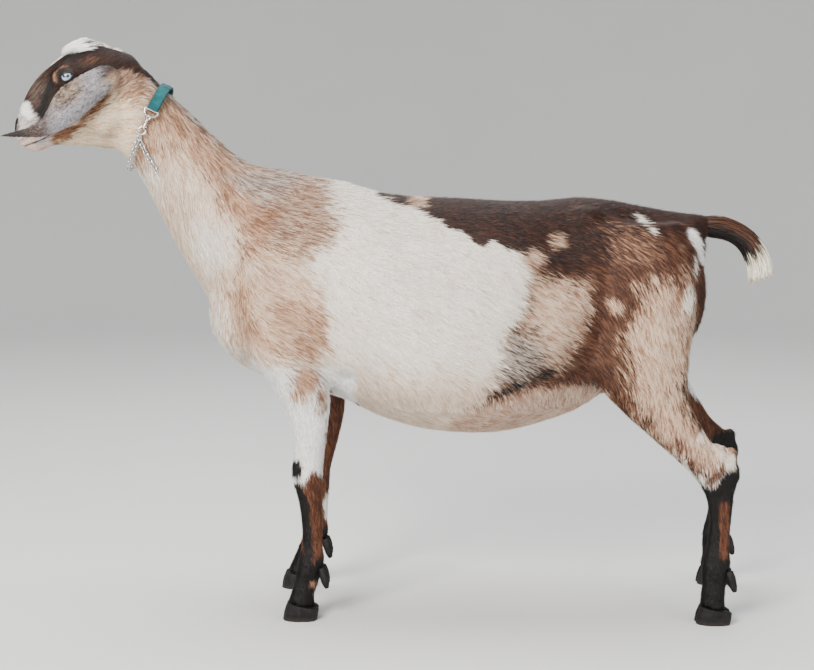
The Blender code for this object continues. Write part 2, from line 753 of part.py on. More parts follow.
def muscle_forms():
    """Make the muscles and bones that stand out from the trunk."""
    made = []
    for side, sign in SIDES:
        blade = Matrix.Rotation(math.radians(18.0), 3, "Y") @ Matrix.Rotation(sign * math.radians(13.0), 3, "X")
        thigh = Matrix.Rotation(math.radians(-12.0), 3, "Y")
        forms = (
            ("shoulder_point", (-0.222, 0.050, 0.474), (0.048, 0.034, 0.070), blade),
            ("shoulder_blade", (-0.176, 0.072, 0.572), (0.050, 0.026, 0.092), blade),
            ("upper_arm", (-0.152, 0.074, 0.452), (0.066, 0.040, 0.070), thigh),
            ("ribs", (0.020, 0.095, 0.470), (0.150, 0.052, 0.120), None),
            ("belly", (0.130, 0.090, 0.405), (0.150, 0.070, 0.115), None),
            ("hip", (0.306, 0.060, 0.622), (0.034, 0.032, 0.023), None),
            ("pin", (0.480, 0.040, 0.590), (0.022, 0.024, 0.025), None),
            ("thigh", (0.400, 0.076, 0.500), (0.082, 0.050, 0.105), thigh),
            ("buttock", (0.455, 0.054, 0.505), (0.051, 0.038, 0.090), None),
            ("stifle", (0.366, 0.092, 0.392), (0.036, 0.030, 0.040), None),
            ("hock_point", (0.5385, 0.111, 0.2530), (0.0110, 0.0115, 0.0200), None),
        )
        for name, (x, y, z), radii, turn in forms:
            if name == "hock_point":
                x, z = stepped(x, z, "hind", side)
            made.append(ellipsoid(f"{name}_{side}", (x, sign * y, z), radii, turn))
    made.append(ellipsoid("udder", (0.392, 0.0, 0.372), (0.052, 0.052, 0.048)))
    return made


def neighbour_pairs(mesh):
    """Return both ends of every edge of a mesh."""
    ends = np.empty(len(mesh.edges) * 2, dtype=np.int64)
    mesh.edges.foreach_get("vertices", ends)
    return ends.reshape(-1, 2)


def relax(mesh, weight, rounds, regrow=0.47):
    """Even out a surface where weight is above zero; regrow gives back what that shrinks."""
    count = len(mesh.vertices)
    points = np.empty(count * 3)
    mesh.vertices.foreach_get("co", points)
    points = points.reshape(-1, 3)
    first, second = neighbour_pairs(mesh).T
    valence = np.bincount(first, minlength=count) + np.bincount(second, minlength=count)
    for step in range(rounds * 2):
        factor = 0.5 if step % 2 == 0 else -regrow
        mean = np.stack([np.bincount(first, points[second, axis], count)
                         + np.bincount(second, points[first, axis], count) for axis in range(3)], axis=1)
        points = points + (mean / valence[:, None] - points) * (factor * weight)[:, None]
    mesh.vertices.foreach_set("co", points.ravel())
    mesh.update()


def vertex_arrays(mesh):
    """Return a mesh's points and normals as arrays."""
    points = np.empty(len(mesh.vertices) * 3)
    normals = np.empty(len(mesh.vertices) * 3)
    mesh.vertices.foreach_get("co", points)
    mesh.vertices.foreach_get("normal", normals)
    return points.reshape(-1, 3), normals.reshape(-1, 3)


def sculpt_body(mesh):
    """Press in the hollows and raise the ridges that name the animal's build."""
    points, normals = vertex_arrays(mesh)
    push = np.zeros(len(points))
    forms = (
        ("flank hollow", (0.268, 0.118, 0.590), (0.040, 0.060, 0.040), -0.009),
        ("behind the shoulder", (-0.078, 0.115, 0.520), (0.022, 0.060, 0.110), -0.006),
        ("before the shoulder", (-0.238, 0.075, 0.590), (0.024, 0.040, 0.055), -0.005),
        ("neck groove", (-0.345, 0.045, 0.665), (0.045, 0.025, 0.050), -0.003),
        ("elbow fold", (-0.072, 0.085, 0.372), (0.022, 0.040, 0.018), -0.004),
        ("breast groove", (-0.262, 0.000, 0.470), (0.034, 0.018, 0.060), -0.003),
        ("thigh seam", (0.448, 0.115, 0.470), (0.011, 0.040, 0.080), -0.004),
        ("gaskin hollow", (0.505, 0.106, 0.292), (0.012, 0.030, 0.022), -0.004),
        ("loin groove", (0.170, 0.060, 0.655), (0.120, 0.020, 0.020), -0.002),
        ("rump hollow", (0.400, 0.060, 0.628), (0.050, 0.030, 0.025), -0.004),
        ("teat", (0.378, 0.026, 0.326), (0.012, 0.011, 0.014), 0.008),
    )
    for _, (x, y, z), reach, amount in forms:
        for sign in (-1.0, 1.0):
            away = (points - np.array((x, sign * y, z))) / np.array(reach)
            push += amount * np.exp(-np.sum(away**2, axis=1)) * (0.5 if y == 0.0 else 1.0)
    points = points + normals * push[:, None]
    mesh.vertices.foreach_set("co", points.ravel())
    mesh.update()


def sculpt_head(mesh):
    """Model the temples, cheeks, nose bridge and lips in the head's frame."""
    points, normals = vertex_arrays(mesh)
    inverse = np.array(HEAD_FRAME.inverted())
    local = points @ inverse[:3, :3].T + inverse[:3, 3]
    push = np.zeros(len(points))
    forms = (
        ("temple", (0.044, 0.040, 0.052), (0.016, 0.016, 0.010), -0.0035),
        ("under the eye", (0.088, 0.042, 0.018), (0.018, 0.014, 0.007), -0.0030),
        ("jaw groove", (0.110, 0.032, -0.022), (0.034, 0.014, 0.010), -0.0028),
        ("throat corner", (0.030, 0.040, -0.074), (0.022, 0.020, 0.014), -0.0030),
        ("nose side", (0.140, 0.026, 0.028), (0.022, 0.012, 0.010), -0.0022),
        ("behind the lip", (0.146, 0.030, -0.008), (0.010, 0.012, 0.012), -0.0020),
        ("chin groove", (0.142, 0.016, -0.044), (0.008, 0.016, 0.010), -0.0020),
    )
    for _, (u, v, w), reach, amount in forms:
        for sign in (-1.0, 1.0):
            away = (local - np.array((u, sign * v, w))) / np.array(reach)
            push += amount * np.exp(-np.sum(away**2, axis=1))
    points = points + normals * push[:, None]
    mesh.vertices.foreach_set("co", points.ravel())
    mesh.update()


def flesh_body():
    """Fuse all the flesh into one smooth closed surface."""
    parts = [trunk_body(), neck_body(), head_body(), tail_body()]
    parts += head_swellings()
    parts += muscle_forms()
    for side, sign in SIDES:
        parts.append(leg_body("fore", side, sign))
        parts.append(leg_body("hind", side, sign))
    flesh = joined("flesh", parts)
    modifier = flesh.modifiers.new("skin", "REMESH")
    modifier.mode = "VOXEL"
    modifier.voxel_size = VOXEL
    apply_modifiers(flesh)
    points, _ = vertex_arrays(flesh.data)
    legs = np.clip((points[:, 2] - 0.27) / 0.10, 0.0, 1.0)
    head = np.clip((points[:, 0] + 0.46) / 0.06, 0.0, 1.0)
    relax(flesh.data, 0.35 + 0.65 * legs * head, 14)
    relax(flesh.data, legs * head, 60)
    points, _ = vertex_arrays(flesh.data)
    breast = np.exp(-(((points[:, 0] + 0.25) / 0.06) ** 2) - ((points[:, 2] - 0.48) / 0.10) ** 2)
    relax(flesh.data, breast, 18, 0.0)
    sculpt_body(flesh.data)
    sculpt_head(flesh.data)
    relax(flesh.data, np.full(len(points), 0.8), 2)
    return flesh


def parted_flesh(flesh):
    """Part the flesh into head, neck, body with legs, and tail."""
    nape = plane_through(NAPE, THROAT)
    chest = plane_through(NECK_CREST, NECK_FRONT)
    dock = plane_through(DOCK_TOP, DOCK_UNDER)
    stretches = (
        ("head", ((nape, False),), HEAD_TRIANGLES),
        ("neck", ((nape, True), (chest, False)), NECK_TRIANGLES),
        ("torso", ((chest, True), (dock, False)), BODY_TRIANGLES),
        ("tail", ((dock, True),), TAIL_TRIANGLES),
    )
    nodes = {}
    for name, cuts, triangles in stretches:
        piece = duplicate(flesh, name)
        for (point, normal), ahead in cuts:
            keep_side(piece, point, normal, ahead)
        tidy(piece)
        decimate(piece, triangles)
        for (point, normal), ahead in cuts:
            settle_on(piece, point, normal, ahead)
        tidy(piece)
        nodes[name] = piece
    remove(flesh)
    return nodes


def grown_outline(corners, amount):
    """Move every side of a convex outline, listed anticlockwise, outwards by amount."""
    count = len(corners)
    lines = []
    for k in range(count):
        start, end = np.array(corners[k]), np.array(corners[(k + 1) % count])
        way = (end - start) / np.linalg.norm(end - start)
        outward = np.array((way[1], -way[0]))
        lines.append((outward, outward @ start + amount))
    grown = []
    for k in range(count):
        (a, p), (b, q) = lines[k - 1], lines[k]
        grown.append(tuple(np.linalg.solve(np.array((a, b)), np.array((p, q)))))
    return grown


def leg_cutter(name, outline, front_low, front_high, back, sign, grow):
    """Make the block that holds one leg: an outline in Y and Z between two ends in X."""
    corners = grown_outline(outline, grow)
    low, high = outline[0][1], outline[2][1]
    points = []
    for y, z in corners:
        ahead = front_low + (front_high - front_low) * (z - low) / (high - low)
        points.append((ahead - grow, sign * y, z))
    for y, z in corners:
        points.append((back + grow, sign * y, z))
    count = len(corners)
    faces = [tuple(range(count)), tuple(range(count, 2 * count))]
    faces += [(k, (k + 1) % count, count + (k + 1) % count, count + k) for k in range(count)]
    return mesh_object(name, points, faces)


LEG_BLOCKS = {
    "fore": (((0.008, -0.05), (0.20, -0.05), (0.20, 0.415), (0.115, 0.398), (0.046, 0.356)), -0.26, -0.235, -0.066),
    "hind": (((0.012, -0.05), (0.25, -0.05), (0.25, 0.600), (0.108, 0.600), (0.034, 0.375)), 0.280, 0.346, 0.70),
}


def part_legs(torso):
    """Cut the four legs off the body and close both sides of each cut."""
    legs = {}
    for pair, (outline, front_low, front_high, back) in LEG_BLOCKS.items():
        for side, sign in SIDES:
            name = f"leg_{pair}_{side}"
            leg = duplicate(torso, name)
            block = leg_cutter("block", outline, front_low, front_high, back, sign, 0.0)
            boolean(leg, block, "INTERSECT")
            legs[pair, side] = leg
    for pair, (outline, front_low, front_high, back) in LEG_BLOCKS.items():
        for side, sign in SIDES:
            block = leg_cutter("block", outline, front_low, front_high, back, sign, GAP)
            boolean(torso, block, "DIFFERENCE")
    for leg in legs.values():
        tidy(leg)
    tidy(torso)
    return legs


def hoof(name, foot_x, foot_y, inward):
    """Make one claw of a cloven hoof, its flat sole on the floor and its top on the crown."""
    outer = HOOF_CLEFT / 2 + HOOF_WIDTH
    inner = HOOF_CLEFT / 2
    half = HOOF_LENGTH / 2
    # Outline of the sole, from the toe round the outer wall to the heel and back up the cleft.
    outline = (
        (-half, inner + 0.006), (-half * 0.86, outer * 0.66), (-half * 0.52, outer * 0.90), (-half * 0.05, outer),
        (half * 0.50, outer * 0.97), (half * 0.86, outer * 0.80), (half, outer * 0.42), (half * 0.90, inner + 0.0015),
        (half * 0.30, inner), (-half * 0.40, inner), (-half * 0.88, inner + 0.0010),
    )
    levels = ((0.0, 1.0, 0.0), (0.5, 0.985, 0.0020), (1.0, 0.90, 0.0050))
    slope = (CROWN_FRONT - CROWN_HEEL) / HOOF_LENGTH
    rings = []
    for height, scale, back in levels:
        ring = []
        for along, across in outline:
            x = along * scale + back
            y = inner + (across - inner) * (scale if height < 1.0 else 0.96)
            top = CROWN_FRONT - slope * (x + half) - GAP
            ring.append((foot_x + x, foot_y + inward * y, FLOOR + top * height))
        rings.append(ring)
    count = len(outline)
    points = [point for ring in rings for point in ring]
    faces = [tuple(range(count)), tuple(range(2 * count, 3 * count))]
    for level in range(2):
        for k in range(count):
            after = (k + 1) % count
            faces.append((level * count + k, level * count + after, (level + 1) * count + after,
                          (level + 1) * count + k))
    claw = mesh_object(name, points, faces)
    tidy(claw)
    return claw


def cut_at_crown(leg, foot_x):
    """End a leg on the sloping plane where its hooves begin."""
    half = HOOF_LENGTH / 2
    normal = Vector((CROWN_FRONT - CROWN_HEEL, 0.0, HOOF_LENGTH)).normalized()
    keep_side(leg, Vector((foot_x - half, 0.0, FLOOR + CROWN_FRONT + GAP / 2)), normal, True)
    tidy(leg)


def dewclaw(name, base, outward, grow=0.0):
    """Make one blunt horny nub behind the fetlock, pointing down and back."""
    way = Vector((0.26, outward * 0.20, -0.94)).normalized()
    side = way.cross(Vector((0.0, 1.0, 0.0))).normalized()
    depth = way.cross(side)
    rings = []
    for along, scale in ((-0.28, 0.86), (0.12, 1.0), (0.62, 0.82), (0.92, 0.44)):
        centre = base + way * (along * DEWCLAW_LENGTH + (grow if scale < 0.6 else 0.0))
        radius = DEWCLAW_RADIUS * scale + grow
        rings.append(section(centre, side * radius * 1.1, depth * radius, -depth * radius, 2.0, 2.0, 6))
    return loft(name, rings)


def make_feet(legs):
    """Finish each leg with its crown cut, its two hooves and its two dewclaws."""
    nodes = {}
    for (pair, side), leg in legs.items():
        sign = -1.0 if side == "left" else 1.0
        rows = leg_rows(pair)
        crown = rows[-1]
        foot_x, foot_y = stepped(crown.x, crown.z, pair, side)[0], sign * crown.y
        cut_at_crown(leg, foot_x)
        fetlock = min(rows, key=lambda row: abs(row.z - DEWCLAW_HEIGHT))
        heel = stepped(fetlock.x, fetlock.z, pair, side)[0] + fetlock.half_length * 0.88
        for claw, way in (("outer", sign), ("inner", -sign)):
            name = f"hoof_{pair}_{side}_{claw}"
            nodes[name] = hoof(name, foot_x, foot_y, way)
            name = f"dewclaw_{pair}_{side}_{claw}"
            base = Vector((heel, foot_y + way * DEWCLAW_SPREAD, DEWCLAW_HEIGHT))
            nodes[name] = dewclaw(name, base, way)
            boolean(leg, dewclaw("pocket", base, way, GAP), "DIFFERENCE")
        tidy(leg)
        nodes[f"leg_{pair}_{side}"] = leg
    return nodes


def eye_frame(sign):
    """Return the matrix of one eye: its X along the slit, Y up the lids, Z out of the head."""
    out = Vector((EYE_AXIS.x, -sign * EYE_AXIS.y, EYE_AXIS.z))
    along = Vector((math.cos(LID_TILT), 0.0, math.sin(LID_TILT)))
    along = (along - out * along.dot(out)).normalized()
    rise = out.cross(along)
    centre = Vector((EYE_SURFACE[0], -sign * EYE_SURFACE[1], EYE_SURFACE[2])) - out * EYE_RADIUS
    local = Matrix((along, rise, out)).transposed().to_4x4()
    local.translation = centre
    return HEAD_FRAME @ local


def ball(name, matrix, radius, rings=8, segments=14):
    """Make a ball whose poles lie on the matrix's Z axis."""
    built = bmesh.new()
    bmesh.ops.create_uvsphere(built, u_segments=segments, v_segments=rings, radius=radius)
    mesh = bpy.data.meshes.new(name)
    built.to_mesh(mesh)
    built.free()
    thing = bpy.data.objects.new(name, mesh)
    thing.matrix_world = matrix
    bpy.context.scene.collection.objects.link(thing)
    return thing


def almond(name, matrix):
    """Make the lens-shaped block that opens the lids."""
    half_length, half_height = LID_OPENING
    steps = 9
    outline = []
    for k in range(steps):
        t = -1.0 + 2.0 * k / (steps - 1)
        outline.append((t * half_length, half_height * (1.0 - t * t) ** 0.75))
    for k in range(1, steps - 1):
        t = 1.0 - 2.0 * k / (steps - 1)
        outline.append((t * half_length, -half_height * 0.86 * (1.0 - t * t) ** 0.75))
    points = [(x, y, depth) for depth in (EYE_RADIUS * 0.35, EYE_RADIUS * 2.0) for x, y in outline]
    count = len(outline)
    faces = [tuple(range(count)), tuple(range(count, 2 * count))]
    faces += [(k, (k + 1) % count, count + (k + 1) % count, count + k) for k in range(count)]
    block = mesh_object(name, points, faces)
    block.matrix_world = matrix
    return block


def surface_point(tree, local_from, local_to):
    """Return where a line between two points of the head's frame first meets the head."""
    start, end = on_head(*local_from), on_head(*local_to)
    return tree.ray_cast(start, (end - start).normalized())[0]


def tree_of(thing):
    """Return a search tree of an object's surface, in the model's frame."""
    built = bmesh.new()
    built.from_mesh(thing.data)
    built.transform(thing.matrix_world)
    tree = BVHTree.FromBMesh(built)
    built.free()
    return tree


def mouth_cutter(tree):
    """Make the thin wedge that draws the line of the mouth round both sides."""
    route = []
    for sign in (-1.0, 1.0):
        side = []
        for u, spread, w in MOUTH_PATH:
            start = (u + 0.04 * (1.0 - spread), sign * 0.08 * spread, w)
            side.append(surface_point(tree, start, (u - 0.03, 0.0, w)))
        route.append(side)
    points = list(reversed(route[0])) + route[1][1:]
    rings = []
    for k, place in enumerate(points):
        ahead = points[min(k + 1, len(points) - 1)] - points[max(k - 1, 0)]
        along = ahead.normalized()
        up = HEAD_FRAME.to_3x3() @ Vector((0.0, 0.0, 1.0))
        out = up.cross(along).normalized()
        rise = along.cross(out).normalized() * (MOUTH_DEPTH * 0.55)
        depth = out * MOUTH_DEPTH
        rings.append(section(place, depth, rise, -rise, 2.0, 2.0, 6))
    return loft("mouth_line", rings)


def finish_head(head):
    """Open the lids, set the eyes in, and cut the nostrils and the line of the mouth."""
    nodes = {}
    boolean(head, mouth_cutter(tree_of(head)), "DIFFERENCE")
    for side, sign in SIDES:
        matrix = eye_frame(sign)
        boolean(head, ball("lid", matrix, EYE_RADIUS + LID_THICKNESS, 10, 16), "UNION")
        boolean(head, almond("opening", matrix), "DIFFERENCE")
        boolean(head, ball("socket", matrix, EYE_RADIUS + GAP), "DIFFERENCE")
        nodes[f"eye_{side}"] = ball(f"eye_{side}", matrix, EYE_RADIUS)
        turn = HEAD_FRAME.to_3x3() @ Matrix.Rotation(-sign * math.radians(28.0), 3, "Z")
        turn = turn @ Matrix.Rotation(math.radians(24.0), 3, "Y")
        place = on_head(0.1795, -sign * 0.0150, 0.0085)
        boolean(head, ellipsoid("nostril", place, NOSTRIL, turn, 2), "DIFFERENCE")
    tidy(head)
    nodes["head"] = head
    return nodes


def ear(side, sign, rows, head_shell):
    """Make one long cupped ear and fit its root to the head."""
    slices = smooth_rows(rows, 13)
    middle = np.array([on_head(row[0], -sign * row[1], row[2]) for row in slices])
    along = np.gradient(middle, axis=0)
    along /= np.linalg.norm(along, axis=1)[:, None]
    outward = np.array(HEAD_FRAME.to_3x3() @ Vector((0.0, -sign, 0.12)))
    rings = []
    for centre, way, (_, _, _, half_width, cup, thickness) in zip(middle, along, slices):
        out = outward - way * (outward @ way)
        out /= np.linalg.norm(out)
        across = np.cross(way, out)
        outer, inner = [], []
        for k in range(EAR_ARC_POINTS):
            t = -1.0 + 2.0 * k / (EAR_ARC_POINTS - 1)
            bow = cup * (1.0 - t * t)
            thick = thickness * (1.0 - 0.62 * t * t)
            outer.append(centre + across * (t * half_width) + out * (bow + thick / 2))
            inner.append(centre + across * (t * half_width) + out * (bow - thick / 2))
        rings.append(outer + inner[::-1])
    made = loft(f"ear_{side}", rings)
    boolean(made, duplicate(head_shell, "shell"), "DIFFERENCE")
    tidy(made)
    return made


def grown_copy(thing, amount):
    """Copy an object with its surface moved outwards by amount."""
    copy = duplicate(thing, "grown")
    points, normals = vertex_arrays(copy.data)
    copy.data.vertices.foreach_set("co", (points + normals * amount).ravel())
    return copy


def collar_frame():
    """Return the centre, the upward, the left and the normal direction of the collar's plane."""
    crest = Vector((COLLAR_CREST[0], 0.0, COLLAR_CREST[1]))
    throat = Vector((COLLAR_THROAT[0], 0.0, COLLAR_THROAT[1]))
    up = (crest - throat).normalized()
    left = Vector((0.0, -1.0, 0.0))
    return (crest + throat) / 2, up, left, up.cross(left)


def girth(tree, shift, count=96):
    """Return the radius of the flesh round the collar's plane, moved along its normal by shift."""
    centre, up, left, normal = collar_frame()
    start = centre + normal * shift
    radii = []
    for k in range(count):
        angle = 2.0 * math.pi * k / count
        way = up * math.cos(angle) + left * math.sin(angle)
        place, _, _, _ = tree.ray_cast(start + way * 0.20, -way)
        radii.append((place - start).length)
    return np.array(radii)


def collar_radius(tree, half_width):
    """Return a smooth function of angle that clears the flesh over a band's whole width."""
    widest = np.max([girth(tree, shift) for shift in (-half_width, 0.0, half_width)], axis=0)
    count = len(widest)
    spread = np.max([np.roll(widest, k) for k in (-1, 0, 1)], axis=0)
    kernel = np.array((1.0, 2.0, 3.0, 2.0, 1.0)) / 9.0
    evened = sum(weight * np.roll(spread, k - 2) for k, weight in enumerate(kernel))

    def radius(angle):
        return float(np.interp(angle % (2 * math.pi), np.arange(count + 1) * 2 * math.pi / count,
                               np.append(evened, evened[0])))
    return radius


def collar_point(radius, angle, lift, shift=0.0):
    """Return a point of the collar's plane at an angle from the crest, to the animal's left."""
    centre, up, left, normal = collar_frame()
    way = up * math.cos(angle) + left * math.sin(angle)
    return centre + way * (radius(angle) + lift) + normal * shift


def strap(radius):
    """Make the leather strap with both ends folded back round their rings."""
    rings = []
    steps = 20
    low = STRAP_CLEARANCE
    half = STRAP_WIDTH / 2
    for k in range(steps + 1):
        angle = -STRAP_END + 2.0 * STRAP_END * k / steps
        from_end = (STRAP_END - abs(angle)) * radius(angle)
        high = low + STRAP_THICKNESS * (2.0 if from_end < STRAP_FOLD else 1.0)
        corners = ((low, -half), (high - 0.0006, -half), (high, -half * 0.7), (high, half * 0.7),
                   (high - 0.0006, half), (low, half))
        rings.append([collar_point(radius, angle, lift, shift) for lift, shift in corners])
    return loft("collar_strap", rings)


def wire_loop(name, points, wire, sides=6):
    """Make a closed wire through a loop of points that lie in one plane."""
    count = len(points)
    middle = sum(points, Vector()) / count
    flat = (points[0] - middle).cross(points[count // 4] - middle).normalized()
    built = []
    for k, place in enumerate(points):
        along = (points[(k + 1) % count] - points[k - 1]).normalized()
        out = along.cross(flat)
        for j in range(sides):
            turn = 2.0 * math.pi * j / sides
            built.append(place + (flat * math.cos(turn) + out * math.sin(turn)) * wire)
    faces = []
    for k in range(count):
        here, after = k * sides, ((k + 1) % count) * sides
        for j in range(sides):
            faces.append((here + j, here + (j + 1) % sides, after + (j + 1) % sides, after + j))
    return mesh_object(name, built, faces)


def collar_rings(radius):
    """Make the D ring at each end of the strap, its bar just clear of the leather."""
    _, _, _, normal = collar_frame()
    nodes = {}
    for side, sign in SIDES:
        angle = -sign * (STRAP_END + RING_SET / radius(STRAP_END))
        lift = STRAP_CLEARANCE + STRAP_THICKNESS
        centre = collar_point(radius, angle, lift)
        down = (collar_point(radius, angle - sign * 0.10, lift) - centre).normalized()
        steps = 9
        points = []
        for k in range(steps + 1):
            turn = math.pi * k / steps
            points.append(centre + normal * (RING_RADIUS * math.cos(turn)) + down * (RING_RADIUS * math.sin(turn)))
        nodes[f"collar_ring_{side}"] = wire_loop(f"collar_ring_{side}", points, RING_WIRE)
    return nodes


def rod(name, points, radii, sides=8):
    """Make a round rod through points, each with its own radius."""
    helper = Vector((0.0, -1.0, 0.0))
    rings = []
    for k, place in enumerate(points):
        along = (points[min(k + 1, len(points) - 1)] - points[max(k - 1, 0)]).normalized()
        side = along.cross(helper).normalized()
        out = side.cross(along)
        rings.append(section(place, side * radii[k], out * radii[k], -out * radii[k], 2.0, 2.0, sides))
    return loft(name, rings)


def snap(radius):
    """Make the snap below the left ring: a swivel barrel, a shank and a bent hook in one."""
    lift = STRAP_CLEARANCE + SNAP_RADIUS * 1.35
    reach = SNAP_END - SNAP_START
    shank = [collar_point(radius, SNAP_START + reach * f, lift) for f in (0.0, 0.20, 0.26, 0.45, 0.62)]
    girths = [SNAP_RADIUS * scale for scale in (1.35, 1.35, 0.85, 0.75, 1.15)]
    made = rod("collar_snap", shank, girths)
    along = (shank[-1] - shank[-2]).normalized()
    side = along.cross(Vector((0.0, -1.0, 0.0))).normalized()
    middle = shank[-1] + along * (SNAP_HOOK - SNAP_RADIUS * 0.6)
    bow = []
    for k in range(10):
        turn = math.radians(300.0 * k / 9)
        bow.append(middle + side * (SNAP_HOOK * math.sin(turn)) - along * (SNAP_HOOK * math.cos(turn)))
    fuse(made, [rod("hook", bow, [SNAP_RADIUS * 0.62] * 10, 6)])
    tidy(made)
    return made


def strand(name, route, out_from):
    """Make a run of chain: lobes that turn flat and edge on by turns, like its links."""
    length = sum((route[k + 1] - route[k]).length for k in range(len(route) - 1))
    lobes = round(length / LINK_PITCH)
    travelled = np.cumsum([0.0] + [(route[k + 1] - route[k]).length for k in range(len(route) - 1)])
    table = np.array([tuple(point) for point in route])

    def at(distance):
        return Vector([float(np.interp(distance, travelled, table[:, axis])) for axis in range(3)])

    rings = []
    for k in range(2 * lobes + 1):
        distance = length * k / (2 * lobes)
        along = (at(min(distance + 0.002, length)) - at(max(distance - 0.002, 0.0))).normalized()
        out = (at(distance) - out_from(at(distance))).normalized()
        out = (out - along * out.dot(along)).normalized()
        side = along.cross(out)
        wide, thick = CHAIN_WIDTH / 2, CHAIN_THICKNESS / 2
        if k % 4 == 3:
            wide, thick = thick * 1.3, wide * 0.8
        elif k % 2 == 0:
            wide, thick = wide * 0.55, thick
        rings.append(section(at(distance), side * wide, out * thick, -out * thick, 2.0, 2.0, 6))
    return loft(name, rings)


def chain(radius, tree):
    """Make the chain: from the snap under the throat to the right ring, and its loose end."""
    lift = STRAP_CLEARANCE + CHAIN_WIDTH * 0.4
    centre = collar_frame()[0]
    round_throat = [collar_point(radius, CHAIN_START + (CHAIN_END - CHAIN_START) * k / 90, lift) for k in range(91)]
    made = strand("collar_chain", round_throat, lambda place: centre)
    hanging = []
    for k in range(12):
        f = k / 11
        x = LOOSE_START[0] + (LOOSE_END[0] - LOOSE_START[0]) * f
        z = LOOSE_START[1] + (LOOSE_END[1] - LOOSE_START[1]) * f - 0.003 * math.sin(math.pi * f)
        hit, _, _, _ = tree.ray_cast(Vector((x, -0.3, z)), Vector((0.0, 1.0, 0.0)))
        hanging.append(hit + Vector((0.0, -lift - 0.0016, 0.0)))
    hanging.insert(0, round_throat[0].lerp(hanging[0], 0.35))
    fuse(made, [strand("loose", hanging, lambda place: Vector((place.x, 0.0, place.z)))])
    tidy(made)
    return made


def make_collar(flesh_nodes):
    """Lay the collar round the neck, clear of it on every side."""
    whole = joined("neck_and_head", [duplicate(node, "copy") for node in flesh_nodes])
    tree = tree_of(whole)
    remove(whole)
    radius = collar_radius(tree, STRAP_WIDTH / 2)
    nodes = collar_rings(radius)
    nodes["collar_strap"] = strap(radius)
    nodes["collar_snap"] = snap(radius)
    nodes["collar_chain"] = chain(radius, tree)
    return nodes


def main():
    """Build the whole model and stand it over the origin."""
    for thing in list(bpy.data.objects):
        bpy.data.objects.remove(thing)
    finishes = {name: material(name) for name in COLOURS}
    flesh = flesh_body()
    nodes = parted_flesh(flesh)
    legs = part_legs(nodes["torso"])
    nodes.update(make_feet(legs))
    nodes.update(finish_head(nodes["head"]))
    shell = grown_copy(nodes["head"], GAP)
    nodes["ear_left"] = ear("left", -1.0, LEFT_EAR, shell)
    nodes["ear_right"] = ear("right", 1.0, RIGHT_EAR, shell)
    remove(shell)
    nodes.update(make_collar([nodes["head"], nodes["neck"], nodes["torso"]]))
    fuse(nodes["head"], poll_locks(tree_of(nodes["head"])))
    fuse(nodes["tail"], tail_locks())
    tidy(nodes["head"], LOCK_SLIVER)
    tidy(nodes["tail"], LOCK_SLIVER)

    root = bpy.data.objects.new("goat", None)
    bpy.context.scene.collection.objects.link(root)
    prefixes = (("ear", "ear"), ("hoof", "hoof"), ("dewclaw", "hoof"), ("eye", "eye"),
                ("collar_strap", "strap"), ("collar", "metal"))
    for name, thing in nodes.items():
        thing.name = name
        finish = next((key for prefix, key in prefixes if name.startswith(prefix)), "coat")
        thing.data.materials.clear()
        thing.data.materials.append(finishes[finish])
        thing.data.shade_smooth()
        thing.data.set_sharp_from_angle(angle=math.radians(40.0))
        thing.parent = root

    bpy.context.view_layer.update()
    corners = [thing.matrix_world @ Vector(corner) for thing in nodes.values() for corner in thing.bound_box]
    middle = [(min(point[axis] for point in corners) + max(point[axis] for point in corners)) / 2 for axis in (0, 1)]
    root.location = (-middle[0], -middle[1], -FLOOR)


main()
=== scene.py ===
"""Looks of the standing mini nubian doe: skin, coat, ears, eyes, claws and collar.

Metres, +Z up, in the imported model's own frame. The head points along -X and the
animal's left side faces -Y. Tables of places are in the part's own frame, and
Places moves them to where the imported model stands.
"""

from __future__ import annotations

import logging
import math
from dataclasses import dataclass, field
from enum import Enum
from typing import Any, Callable, Iterable, Sequence

import bmesh
import bpy
import numpy as np
from mathutils import Matrix, Vector
from mathutils.bvhtree import BVHTree

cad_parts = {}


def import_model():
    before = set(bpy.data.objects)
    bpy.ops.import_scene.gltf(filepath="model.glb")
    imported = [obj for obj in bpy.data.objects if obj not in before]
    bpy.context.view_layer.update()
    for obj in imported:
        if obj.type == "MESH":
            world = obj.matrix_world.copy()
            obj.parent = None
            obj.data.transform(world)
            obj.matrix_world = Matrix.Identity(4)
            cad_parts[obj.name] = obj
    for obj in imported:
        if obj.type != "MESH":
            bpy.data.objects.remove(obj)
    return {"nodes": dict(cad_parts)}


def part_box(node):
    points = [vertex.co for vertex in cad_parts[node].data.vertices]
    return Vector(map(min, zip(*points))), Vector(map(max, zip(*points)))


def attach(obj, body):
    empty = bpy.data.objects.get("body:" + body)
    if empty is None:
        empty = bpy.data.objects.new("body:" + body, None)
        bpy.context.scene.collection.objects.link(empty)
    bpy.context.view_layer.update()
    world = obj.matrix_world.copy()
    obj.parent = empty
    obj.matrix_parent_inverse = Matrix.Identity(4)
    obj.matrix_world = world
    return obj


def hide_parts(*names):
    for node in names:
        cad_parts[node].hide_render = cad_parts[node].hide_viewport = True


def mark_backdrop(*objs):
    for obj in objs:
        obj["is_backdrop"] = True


LOG = logging.getLogger("goat")
SIDES = (("left", -1.0), ("right", 1.0))
# Further than any place of the scene, in metres.
FAR = 1e9
# Half length and width of the coat's streaks, and how far single tufts stray from them.
STREAK_HALF = 0.0048
STREAK_WIDTH = 0.0019
STREAK_STRAY = 2.2
Colour = tuple[float, float, float]
Pair = tuple[float, float]
Triple = tuple[float, float, float]
Loft = tuple[np.ndarray, list[tuple[int, ...]]]


